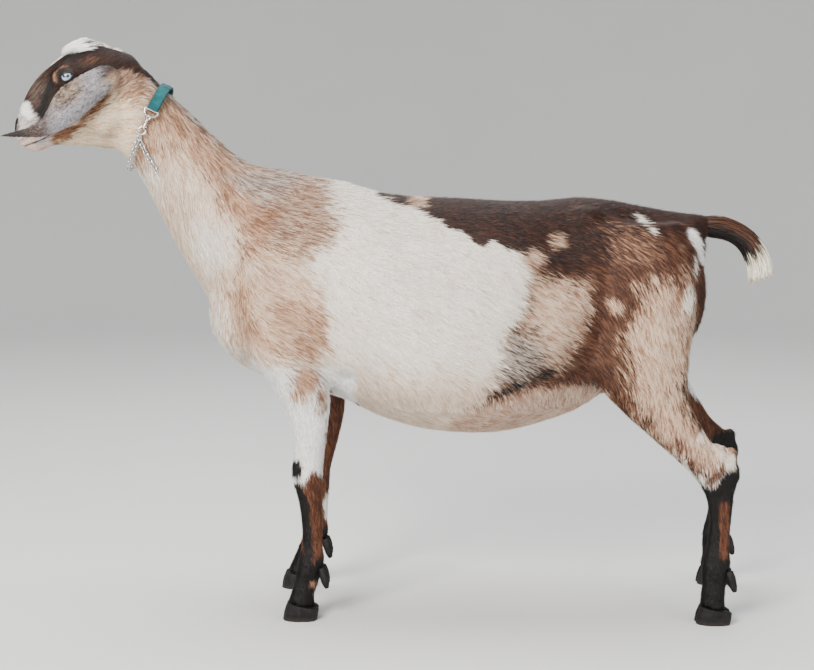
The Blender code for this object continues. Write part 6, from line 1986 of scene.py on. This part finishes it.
@dataclass
class Eye:
    """Glass eye and the pair of lids that wrap it."""

    skin: Skin
    side: str
    sign: float
    rings: tuple[Pair, ...] = ((0.90, -0.0006), (1.00, 0.0004), (1.07, 0.0013), (1.20, 0.0017),
                                (1.38, 0.0012), (1.60, 0.0015))
    skirt: tuple[Pair, ...] = ((1.95, 0.0006), (2.35, -0.0002), (2.7, -0.0020))
    # Height of the lower lid's opening as a share of the upper's, and the outline's growth per scale.
    lower: float = 0.86
    growth: float = 0.0085
    # Thickness of the lids' shell at the wet margin and at its rim.
    under: Pair = (0.004, 0.003)
    sides: int = 56

    def ball(self) -> bpy.types.Object:
        """Build the eyeball with the gaze that its finish reads."""
        frame = self.skin.eye_frame(self.sign)
        out = Vector(frame.col[2][:3])
        level = Vector((0.0, 0.0, 1.0)).cross(out).normalized()
        turned = axes(level, out.cross(level), out, frame.translation)
        built = bmesh.new()
        bmesh.ops.create_uvsphere(built, u_segments=48, v_segments=32, radius=self.skin.eye_radius)
        mesh = bpy.data.meshes.new(f"eyeball_{self.side}")
        built.to_mesh(mesh)
        built.free()
        points, _ = arrays(mesh)
        off_axis = np.hypot(points[:, 0], points[:, 1])
        bulge = 1.0 + 0.045 * hump(off_axis, 0.0065) * (points[:, 2] > 0)
        store(mesh, "gaze", "FLOAT_VECTOR", (points - np.array((0.0, 0.0013, 0.0))) / self.skin.eye_radius)
        set_points(mesh, points * bulge[:, None])
        mesh.transform(turned)
        mesh.shade_smooth()
        return new_object(mesh.name, mesh)

    def lids(self, tree: BVHTree) -> bpy.types.Object:
        """Loft the lids from their wet margin out to where they sink into the skin.

        Args:
            tree: a search tree of the skin.

        Returns:
            The lids as one ring-shaped shell, closed underneath.
        """
        frame = self.skin.eye_frame(self.sign)
        out, radius = Vector(frame.col[2][:3]), self.skin.eye_radius
        half_long, half_high = self.skin.lid_opening
        turns = circle(self.sides)

        def edge(turn: float, scale: float) -> Pair:
            """Return one place of the opening's outline, grown by scale."""
            high = half_high * (1.0 if math.sin(turn) > 0.0 else self.lower)
            grow = (scale - 1.0) * self.growth
            pinch = 1.25 if scale < 1.3 else 1.1
            y = (high + grow) * math.copysign(abs(math.sin(turn)) ** pinch, math.sin(turn))
            return (half_long + grow) * math.cos(turn), y

        def on_ball(x: float, y: float, height: float) -> Vector:
            """Return a place so high above the eyeball."""
            z = math.sqrt(max((radius + height) ** 2 - math.hypot(x, y) ** 2, (0.3 * radius) ** 2))
            return frame @ Vector((x, y, z))

        def on_skin(x: float, y: float, height: float) -> Vector:
            """Return a place so high above the skin."""
            hit, _, _, _ = tree.ray_cast(frame @ Vector((x, y, radius * 2.2)), -out)
            return (frame @ Vector((x, y, radius * 0.6)) if hit is None else hit) + out * height

        levels = [[place(*edge(turn, scale), height) for turn in turns]
                  for place, rings in ((on_ball, self.rings), (on_skin, self.skirt))
                  for scale, height in rings]
        # Two more rings close the shell underneath, out of sight.
        levels.append([point - out * self.under[1] for point in levels[-1]])
        levels.append([point - out * self.under[0] for point in levels[0]])
        lids = mesh_object(f"lids_{self.side}", *loft_data(levels, closed=True))
        rounded(lids)
        made, _ = arrays(lids.data)
        eye = in_frame(frame, made)
        long, high = self.skin.socket_reach()
        away = np.hypot(eye[:, 0] / long, eye[:, 1] / high)
        margin = 1.0 - step(away, 1.02, 1.22)
        colour = toward(self.skin.markings.colours(made), paint(20, 16, 17), margin)
        store(lids.data, "coat_colour", "FLOAT_COLOR", colour)
        store(lids.data, "wet", "FLOAT", 1.0 - step(away, 0.98, 1.12))
        lids.data.shade_smooth()
        return lids


# Claws


@dataclass
class Claws:
    """The eight claws and eight dewclaws, smoothed from their solids."""

    voxel: float = 0.0015
    ring_relief: float = 0.00010

    def build(self, node: str) -> bpy.types.Object:
        """Round one claw's edges and give its wall shallow growth rings."""
        claw = joined(f"{node}_horn", [loose_copy(node)])
        voxels(claw, self.voxel)
        relax(claw.data, 0.9, 7, 0.42)
        points, normals = arrays(claw.data)
        low, high = points[:, 2].min(), points[:, 2].max()
        rise = (points[:, 2] - low) / (high - low)
        wall = 1.0 - np.abs(normals[:, 2])
        rings = np.sin(rise * 26.0 + points[:, 0] * 60.0) * self.ring_relief * wall
        moved = points + normals * (rings * step(rise, 0.08, 0.2))[:, None]
        moved[:, 2] = np.maximum(moved[:, 2], low)
        set_points(claw.data, moved)
        claw.data.shade_smooth()
        return claw


# Collar


@dataclass
class CollarPath:
    """The line that the collar follows round the neck."""

    places: Places
    crest: Pair = (-0.350, 0.826)
    throat: Pair = (-0.408, 0.706)
    half_width: float = 0.009

    def __post_init__(self) -> None:
        """Measure the neck of the solids, whose surface the coat's tips reach."""
        top = self.places.world(self.crest[0], 0.0, self.crest[1])
        low = self.places.world(self.throat[0], 0.0, self.throat[1])
        self.up = (top - low).normalized()
        self.left = Vector((0.0, -1.0, 0.0))
        self.normal = self.up.cross(self.left)
        self.centre = (top + low) / 2
        copies = joined("flesh", [loose_copy(node) for node in ("head", "neck", "torso")])
        self.tree = tree_of([copies])
        remove(copies)
        shifts = (-self.half_width, 0.0, self.half_width)
        widest = np.max([self._girth(shift) for shift in shifts], axis=0)
        spread = np.max([np.roll(widest, k) for k in (-1, 0, 1)], axis=0)
        kernel = np.array((1.0, 2.0, 3.0, 2.0, 1.0)) / 9.0
        self.radii = sum(weight * np.roll(spread, k - 2) for k, weight in enumerate(kernel))

    def _girth(self, shift: float, count: int = 96) -> np.ndarray:
        """Return the flesh's radius round the collar's plane, moved along its normal by shift."""
        start = self.centre + self.normal * shift
        radii = []
        for angle in circle(count):
            way = self.outward(angle)
            place, _, _, _ = self.tree.ray_cast(start + way * 0.20, -way)
            radii.append((place - start).length)
        return np.array(radii)

    def radius(self, angle: float) -> float:
        """Return the radius that clears the flesh at an angle from the crest."""
        count = len(self.radii)
        table = np.append(self.radii, self.radii[0])
        return float(np.interp(angle % (2 * math.pi), np.arange(count + 1) * 2 * math.pi / count, table))

    def point(self, angle: float, lift: float, shift: float = 0.0) -> Vector:
        """Return a place of the collar at an angle from the crest, to the animal's left."""
        return self.centre + self.outward(angle) * (self.radius(angle) + lift) + self.normal * shift

    def outward(self, angle: float) -> Vector:
        """Return the way out of the neck at an angle from the crest."""
        return self.up * math.cos(angle) + self.left * math.sin(angle)


@dataclass
class Strap:
    """The leather strap, folded back round a ring at each end and stitched down."""

    path: CollarPath
    width: float = 0.018
    thickness: float = 0.0027
    clearance: float = 0.0014
    end: float = math.radians(54.0)
    fold: float = 0.040
    fold_gap: float = 0.0003
    point_length: float = 0.009
    point_drop: float = 0.0012
    stitch_pitch: float = 0.0040
    stitch_length: float = 0.0029
    stitch_radius: float = 0.00042
    stitch_inset: float = 0.0028
    # Half of the section, from its left edge over its outer face to its right edge.
    section: tuple[Pair, ...] = ((-1.0, 0.0), (-0.985, 0.55), (-0.93, 0.93), (-0.80, 1.0), (-0.40, 1.04),
                                 (0.0, 1.06), (0.40, 1.04), (0.80, 1.0), (0.93, 0.93), (0.985, 0.55))

    def _line(self) -> list[Triple]:
        """Return the strap's middle line: angle, lift and share of the full width."""
        low = self.clearance + self.thickness / 2
        high = low + self.thickness + self.fold_gap
        tongue = self.fold / self.path.radius(self.end)
        tip = self.point_length / self.path.radius(self.end)
        loop = (high - low) / 2
        rows = [(self.end - tongue + tip * share, high - self.point_drop * (1.0 - share),
                 max(share**0.6, 0.12)) for share in (0.0, 0.12, 0.3, 0.5, 0.75, 1.0)]
        rows += [(self.end - tongue + tip + (tongue - tip) * k / 10, high, 1.0) for k in range(1, 11)]
        for k in range(1, 6):
            turn = math.pi * k / 6
            out = loop * math.sin(turn) / self.path.radius(self.end)
            rows.append((self.end + out * 1.6, high - loop * (1.0 - math.cos(turn)), 1.0))
        rows.append((self.end, low, 1.0))
        mirrored = [(-angle, lift, share) for angle, lift, share in reversed(rows)]
        middle = [(self.end - 2.0 * self.end * k / 40, low, 1.0) for k in range(1, 40)]
        return rows + middle + mirrored

    def leather(self) -> bpy.types.Object:
        """Loft the strap along its line."""
        rows = self._line()
        middle = [self.path.point(angle, lift) for angle, lift, _ in rows]
        half, thick = self.width / 2, self.thickness / 2
        under = [(1.0, 0.0), (0.985, -0.55), (0.93, -0.93), (0.80, -1.0), (0.0, -1.0)]
        section = [*self.section, *under, *((-a, b) for a, b in under[3:0:-1])]
        rings, across = [], []
        for k, place in enumerate(middle):
            along = (middle[min(k + 1, len(middle) - 1)] - middle[max(k - 1, 0)]).normalized()
            out = along.cross(self.path.normal).normalized()
            wide = half * rows[k][2]
            rings.append(np.array([place + self.path.normal * (a * wide) + out * (b * thick)
                                   for a, b in section]))
            across += [(a, b, 0.0) for a, b in section]
        across += [(0.0, 0.0, 0.0)] * 2
        strap = mesh_object("strap_leather", *loft_data(rings))
        store(strap.data, "strap_place", "FLOAT_VECTOR", np.array(across))
        rounded(strap)
        return strap

    def _stitch_rows(self) -> list[tuple[Vector, Vector, Vector]]:
        """Return each stitch's place, its way along the seam and the way out of the leather."""
        path, radius = self.path, self.path.radius(self.end)
        top = self.clearance + self.thickness * 2 + self.fold_gap
        inset = self.width / 2 - self.stitch_inset
        count = int((self.fold - 0.006) / self.stitch_pitch)
        found = []
        for _, sign in SIDES:
            angles = [-sign * (self.end - (0.0035 + k * self.stitch_pitch) / radius) for k in range(count)]
            for shift in (-inset, inset):
                for angle in angles:
                    ahead = path.point(angle - 0.01, top, shift) - path.point(angle + 0.01, top, shift)
                    found.append((path.point(angle, top, shift), ahead.normalized(), path.outward(angle)))
            # Three stitches close the seam across the strap.
            for k in range(3):
                place = path.point(angles[-1], top + 0.0001, -inset / 2 + inset / 2 * k)
                found.append((place, path.normal.copy(), path.outward(angles[-1])))
        return found

    def stitches(self, material: bpy.types.Material) -> bpy.types.Object:
        """Set a thread on each place of the seams with geometry nodes."""
        rows = self._stitch_rows()
        mesh = bpy.data.meshes.new("stitch_places")
        mesh.from_pydata([tuple(place) for place, _, _ in rows], [], [])
        store(mesh, "seam", "FLOAT_VECTOR", np.array([tuple(way) for _, way, _ in rows]))
        store(mesh, "out", "FLOAT_VECTOR", np.array([tuple(out) for _, _, out in rows]))
        holder = new_object("stitch_places", mesh)
        bench = GeometryBench("stitches", {"Length": "Float", "Radius": "Float"})
        given = bench.given
        turned = bench.turned(bench.named("seam", "FLOAT_VECTOR"), bench.named("out", "FLOAT_VECTOR"))
        ball = bench.make("GeometryNodeMeshUVSphere", "Mesh", {},
                          {"Segments": 8, "Rings": 6, "Radius": 1.0})
        size = bench.joined_up(given["Radius"], given["Radius"] * 1.25, given["Length"] * 0.5)
        tree = bench.close(given["Geometry"], ball, turned, size)
        thread = run_tree(holder, tree, "strap_stitches",
                          {"Length": self.stitch_length, "Radius": self.stitch_radius, "Finish": material})
        remove(holder)
        thread.shade_smooth()
        return new_object("strap_stitches", thread)


@dataclass
class Hardware:
    """The D rings, the snap and the chain."""

    path: CollarPath
    strap: Strap
    ring_radius: float = 0.0112
    ring_wire: float = 0.0015
    ring_set: float = 0.0032
    # How far rings and chain stand off the strap's inner face, and the loose end off the chain.
    ring_lift: float = 0.0030
    chain_lift: float = 0.0029
    loose_lift: float = 0.0016
    snap_start: float = math.radians(74.5)
    snap_end: float = math.radians(104.0)
    snap_radius: float = 0.0024
    snap_hook: float = 0.0058
    swivel_radius: float = 0.0030
    swivel_wire: float = 0.0009
    knob_radii: tuple[float, ...] = (0.0007, 0.0007, 0.0012, 0.0013, 0.0009)
    # Angle between the middle of the swivel eye and the start of the snap, in radians.
    swivel_ahead: float = 0.055
    hook_turn: float = math.radians(300.0)
    # Quarter turns of the links, a little off the square.
    link_turns: Pair = (math.radians(42.0), math.radians(-48.0))
    loose_sag: float = 0.003
    # Share of the snap's length and girth as a share of its radius.
    snap_girths: tuple[Pair, ...] = ((0.0, 1.0), (0.05, 1.35), (0.06, 1.15), (0.16, 1.15), (0.17, 1.38),
                                     (0.22, 1.38), (0.24, 0.80), (0.30, 0.72), (0.45, 0.78), (0.58, 1.15),
                                     (0.62, 1.25), (0.64, 1.0))
    chain_start: float = math.radians(111.0)
    chain_end: float = math.radians(287.0)
    link_pitch: float = 0.0062
    link_wire: float = 0.00105
    link_half: Pair = (0.0049, 0.0033)
    loose_start: Pair = (-0.3865, 0.7460)
    loose_end: Pair = (-0.3611, 0.6977)

    def ring(self, side: str, sign: float) -> bpy.types.Object:
        """Bend one D ring, its bar inside the strap's fold."""
        angle = -sign * (self.strap.end + self.ring_set / self.path.radius(self.strap.end))
        lift = self.strap.clearance + self.ring_lift
        centre = self.path.point(angle, lift)
        down = (self.path.point(angle - sign * 0.10, lift) - centre).normalized()
        across = self.path.normal
        outline = oval(centre, across, down, (self.ring_radius,) * 2, [math.pi * k / 32 for k in range(33)])
        outline += [centre - across * (self.ring_radius * (1.0 - 2.0 * k / 16)) for k in range(1, 16)]
        smoothed = [(outline[k - 1] + outline[k] * 2 + outline[(k + 1) % len(outline)]) / 4
                    for k in range(len(outline))]
        rings = tube_rings(smoothed, [self.ring_wire] * len(smoothed), across.cross(down), 12, closed=True)
        return mesh_object(f"d_ring_{side}", *loft_data(rings, closed=True))

    def snap(self) -> bpy.types.Object:
        """Build the snap: swivel eye, barrel, shank, hook, and the bolt with its knob."""
        lift = self.strap.clearance + self.snap_radius * 1.35
        reach = self.snap_end - self.snap_start
        flat = Vector((0.0, -1.0, 0.0))

        def on_snap(share: float) -> Vector:
            """Return the place at a share of the snap's length."""
            return self.path.point(self.snap_start + reach * share, lift)

        shank = [on_snap(share) for share, _ in self.snap_girths]
        parts = [loft_data(tube_rings(shank, [self.snap_radius * girth for _, girth in self.snap_girths],
                                      flat, 16))]
        along = (shank[-1] - shank[-3]).normalized()
        side = along.cross(flat).normalized()
        facing = side.cross(along)
        middle = on_snap(0.62) + along * (self.snap_hook - self.snap_radius * 0.6)
        bow = oval(middle, -along, side, (self.snap_hook,) * 2,
                   [self.hook_turn * k / 27 for k in range(28)])
        girth = [self.snap_radius * (0.66 - 0.10 * k / 27) for k in range(28)]
        parts.append(loft_data(tube_rings(bow, girth, facing, 12)))
        gate = [bow[-1].lerp(shank[-1], k / 7) for k in range(8)]
        parts.append(loft_data(tube_rings(gate, [self.snap_radius * 0.40] * 8, flat, 10)))
        knob = [on_snap(0.50) - side * (0.0008 + 0.0009 * k) for k in range(len(self.knob_radii))]
        parts.append(loft_data(tube_rings(knob, self.knob_radii, flat, 10)))
        swivel = oval(self.path.point(self.snap_start - self.swivel_ahead, lift), along, side,
                      (self.swivel_radius,) * 2, circle(24))
        rings = tube_rings(swivel, [self.swivel_wire] * 24, facing, 10, closed=True)
        parts.append(loft_data(rings, closed=True))
        return self._together("snap_hook", parts)

    @staticmethod
    def _together(name: str, parts: Iterable[Loft]) -> bpy.types.Object:
        """Put several lofts into one piece."""
        points: list[np.ndarray] = []
        faces: list[tuple[int, ...]] = []
        for part_points, part_faces in parts:
            base = sum(len(item) for item in points)
            points.append(part_points)
            faces += [tuple(base + index for index in face) for face in part_faces]
        return mesh_object(name, np.vstack(points), faces)

    def _link(self, centre: Vector, along: Vector, wide: Vector) -> Loft:
        """Bend one oval link in the plane of along and wide."""
        outline = oval(centre, along, wide, self.link_half, circle(18))
        return loft_data(tube_rings(outline, [self.link_wire] * 18, along.cross(wide), 8, closed=True),
                         closed=True)

    def _run(self, route: Sequence[Vector], inward: Sequence[Vector]) -> list[Loft]:
        """Thread links along a route, turned by quarter turns."""
        lengths = np.cumsum([0.0] + [(b - a).length for a, b in zip(route[:-1], route[1:])])
        count = round(lengths[-1] / self.link_pitch)
        table = np.array([tuple(place) for place in route])
        inner = np.array([tuple(way) for way in inward])
        links = []
        for k in range(count + 1):
            distance = lengths[-1] * k / count
            near = [Vector(read_rows(distance + shift, lengths, table)) for shift in (-0.002, 0.0, 0.002)]
            along = (near[2] - near[0]).normalized()
            out = Vector(read_rows(distance, lengths, inner))
            out = (out - along * out.dot(along)).normalized()
            side = along.cross(out)
            turn = self.link_turns[k % 2]
            links.append(self._link(near[1], along, side * math.cos(turn) + out * math.sin(turn)))
        return links

    def chain(self) -> bpy.types.Object:
        """Link the chain from the snap under the throat to the far ring, with its loose end."""
        lift = self.strap.clearance + self.chain_lift
        span = self.chain_end - self.chain_start
        angles = [self.chain_start + span * k / 90 for k in range(91)]
        throat = [self.path.point(angle, lift) for angle in angles]
        links = self._run(throat, [self.path.outward(angle) for angle in angles])
        top, low = (self.path.places.world(x, 0.0, z) for x, z in (self.loose_start, self.loose_end))
        hanging = []
        for k in range(12):
            start = top.lerp(low, k / 11)
            start.z -= self.loose_sag * math.sin(math.pi * k / 11)
            # Look for the neck from well beside it.
            start.y = -0.3
            hit, _, _, _ = self.path.tree.ray_cast(start, Vector((0.0, 1.0, 0.0)))
            hanging.append(hit + Vector((0.0, -lift - self.loose_lift, 0.0)))
        hanging.insert(0, throat[0].lerp(hanging[0], 0.35))
        links += self._run(hanging, [Vector((0.0, -1.0, 0.0))] * len(hanging))
        return self._together("chain_links", links)


# Studio


@dataclass
class Studio:
    """Camera at the photograph's viewpoint, soft lights and a pale floor."""

    eye: Triple = (0.0166, -2.580, 0.750)
    look_down: float = math.radians(6.8)
    lens: float = 71.05
    sensor: float = 36.0
    # Each light's name, place, aim, size, power and colour.
    lamps: tuple[tuple[str, Triple, Triple, float, float, Colour], ...] = (
        ("key", (-1.6, -3.0, 2.3), (0.0, 0.0, 0.45), 1.6, 275.0, (1.0, 0.960, 0.905)),
        ("fill", (2.6, -2.6, 1.3), (0.1, 0.0, 0.45), 2.4, 62.0, (0.96, 0.98, 1.0)),
        ("top", (0.0, 0.6, 3.0), (0.0, 0.0, 0.4), 2.2, 95.0, (1.0, 1.0, 1.0)))
    # Radius of the floor's flat part, radius of its bend and height of its rim.
    flat_reach: float = 4.0
    bend: float = 3.0
    rim: float = 9.0

    def camera(self) -> None:
        """Set up the camera."""
        data = bpy.data.cameras.new("camera")
        data.lens = self.lens
        data.sensor_width = self.sensor
        data.clip_end = 60.0
        camera = bpy.data.objects.new("camera", data)
        camera.location = self.eye
        camera.rotation_euler = (math.pi / 2 - self.look_down, 0.0, 0.0)
        bpy.context.scene.collection.objects.link(camera)
        bpy.context.scene.camera = camera

    def _area(self, name: str, place: Triple, aim: Triple, size: float, power: float, tint: Colour) -> None:
        """Hang one soft light."""
        data = bpy.data.lights.new(name, "AREA")
        data.shape = "SQUARE"
        data.size = size
        data.energy = power
        data.color = tint
        light = bpy.data.objects.new(name, data)
        light.location = place
        light.rotation_euler = (Vector(aim) - Vector(place)).to_track_quat("-Z", "Y").to_euler()
        bpy.context.scene.collection.objects.link(light)

    def lights(self) -> None:
        """Set up the key, the fill, the top light and the room."""
        for lamp in self.lamps:
            self._area(*lamp)
        world = bpy.data.worlds.new("studio")
        bpy.context.scene.world = world
        world.use_nodes = True
        bench = Bench(world.node_tree)
        world.node_tree.nodes.clear()
        way = bench.make("ShaderNodeTexCoord", "Generated")
        height = Wire(bench, bench.node("ShaderNodeSeparateXYZ", {}, {0: way}).outputs[2])
        sky = bench.make("ShaderNodeMix", 2, {"data_type": "RGBA"},
                         {0: height.rise(-0.10, 0.75), 6: (0.34, 0.36, 0.37, 1.0), 7: (1.0, 1.0, 1.0, 1.0)})
        back = bench.make("ShaderNodeBackground", 0, {}, {"Color": sky, "Strength": 0.95})
        bench.node("ShaderNodeOutputWorld", {}, {"Surface": back})

    def floor(self) -> bpy.types.Object:
        """Lay the floor, a wide shallow bowl that rises far from the animal."""
        count = 96
        turns = np.arange(count) * 2.0 * math.pi / count
        profile = [(0.5, 0.0), (self.flat_reach, 0.0)]
        for k in range(1, 13):
            turn = math.pi / 2 * k / 12
            profile.append((self.flat_reach + self.bend * math.sin(turn), self.bend * (1.0 - math.cos(turn))))
        profile.append((self.flat_reach + self.bend, self.rim))
        points = [(0.0, 0.0, 0.0)]
        points += [(r * math.cos(a), r * math.sin(a), z) for r, z in profile for a in turns]
        steps = [(k, (k + 1) % count) for k in range(count)]
        faces = [(0, 1 + k, 1 + after) for k, after in steps]
        for level in range(len(profile) - 1):
            low, high = 1 + level * count, 1 + (level + 1) * count
            faces += [(low + k, high + k, high + after, low + after) for k, after in steps]
        mesh = bpy.data.meshes.new("floor")
        mesh.from_pydata(points, [], faces)
        mesh.shade_smooth()
        floor = new_object("studio_floor", mesh)
        mesh.materials.append(floor_finish())
        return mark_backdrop(floor)


@dataclass
class Goat:
    """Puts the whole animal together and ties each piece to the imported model."""

    places: Places = field(default_factory=Places)

    def settle(self, thing: bpy.types.Object, nodes: Sequence[str] = (),
               material: bpy.types.Material | None = None) -> bpy.types.Object:
        """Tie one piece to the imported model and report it.

        Args:
            thing: the piece.
            nodes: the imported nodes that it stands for.
            material: its finish, where it has none yet.

        Returns:
            The piece.
        """
        if material is not None:
            thing.data.materials.clear()
            thing.data.materials.append(material)
        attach(thing, "root")
        if nodes:
            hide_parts(*nodes)
        LOG.info("%s: %d faces", thing.name, len(thing.data.polygons))
        return thing

    def body(self) -> None:
        """Build the skin, the coat, the tail and the poll."""
        markings = Markings(self.places)
        tail = Tail(self.places)
        self.skin = Skin(self.places, markings)
        skin = self.skin.build(tail.core())
        self.skin_finish = skin_finish()
        self.settle(skin, (*self.skin.flesh, "tail"), self.skin_finish)
        self.skin_tree = tree_of([skin])
        self.coat = Coat(self.places, markings)
        for region in Region:
            self.settle(self.coat.cover(skin, region))
        long_hair = coat_finish("long_hair", roughness=0.46, painted_root_shade=0.72, sheen=0.08)
        self.settle(tail.hair(long_hair))
        self.settle(PollTuft(self.places).hair(self.skin_tree, long_hair))

    def head_pieces(self) -> None:
        """Build the ears, the eyes and the lids."""
        glass = eye_finish()
        for side, sign in SIDES:
            ear = Ear(self.places, side, sign, self.skin.markings)
            skin = ear.build()
            self.settle(skin, (f"ear_{side}",), self.skin_finish)
            self.settle(ear.coat(skin, self.coat))
            eye = Eye(self.skin, side, sign)
            self.settle(eye.ball(), (f"eye_{side}",), glass)
            self.settle(eye.lids(self.skin_tree), (), self.skin_finish)

    def claws(self) -> None:
        """Build the claws and dewclaws."""
        horn = horn_finish()
        maker = Claws()
        for node in sorted(FRAME["nodes"]):
            if node.startswith(("hoof_", "dewclaw_")):
                self.settle(maker.build(node), (node,), horn)

    def collar(self) -> None:
        """Build the strap, its stitches, the rings, the snap and the chain."""
        path = CollarPath(self.places)
        strap = Strap(path)
        metal = metal_finish()
        self.settle(strap.leather(), ("collar_strap",), leather_finish())
        self.settle(strap.stitches(thread_finish()))
        hardware = Hardware(path, strap)
        for side, sign in SIDES:
            self.settle(hardware.ring(side, sign), (f"collar_ring_{side}",), metal)
        self.settle(hardware.snap(), ("collar_snap",), metal)
        self.settle(hardware.chain(), ("collar_chain",), metal)


def main() -> None:
    """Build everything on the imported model."""
    logging.basicConfig(level=logging.INFO, format="%(message)s")
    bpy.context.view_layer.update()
    studio = Studio()
    studio.camera()
    studio.lights()
    studio.floor()
    goat = Goat()
    goat.body()
    goat.head_pieces()
    goat.claws()
    goat.collar()


if __name__ == "__main__":
    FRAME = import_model()
    main()
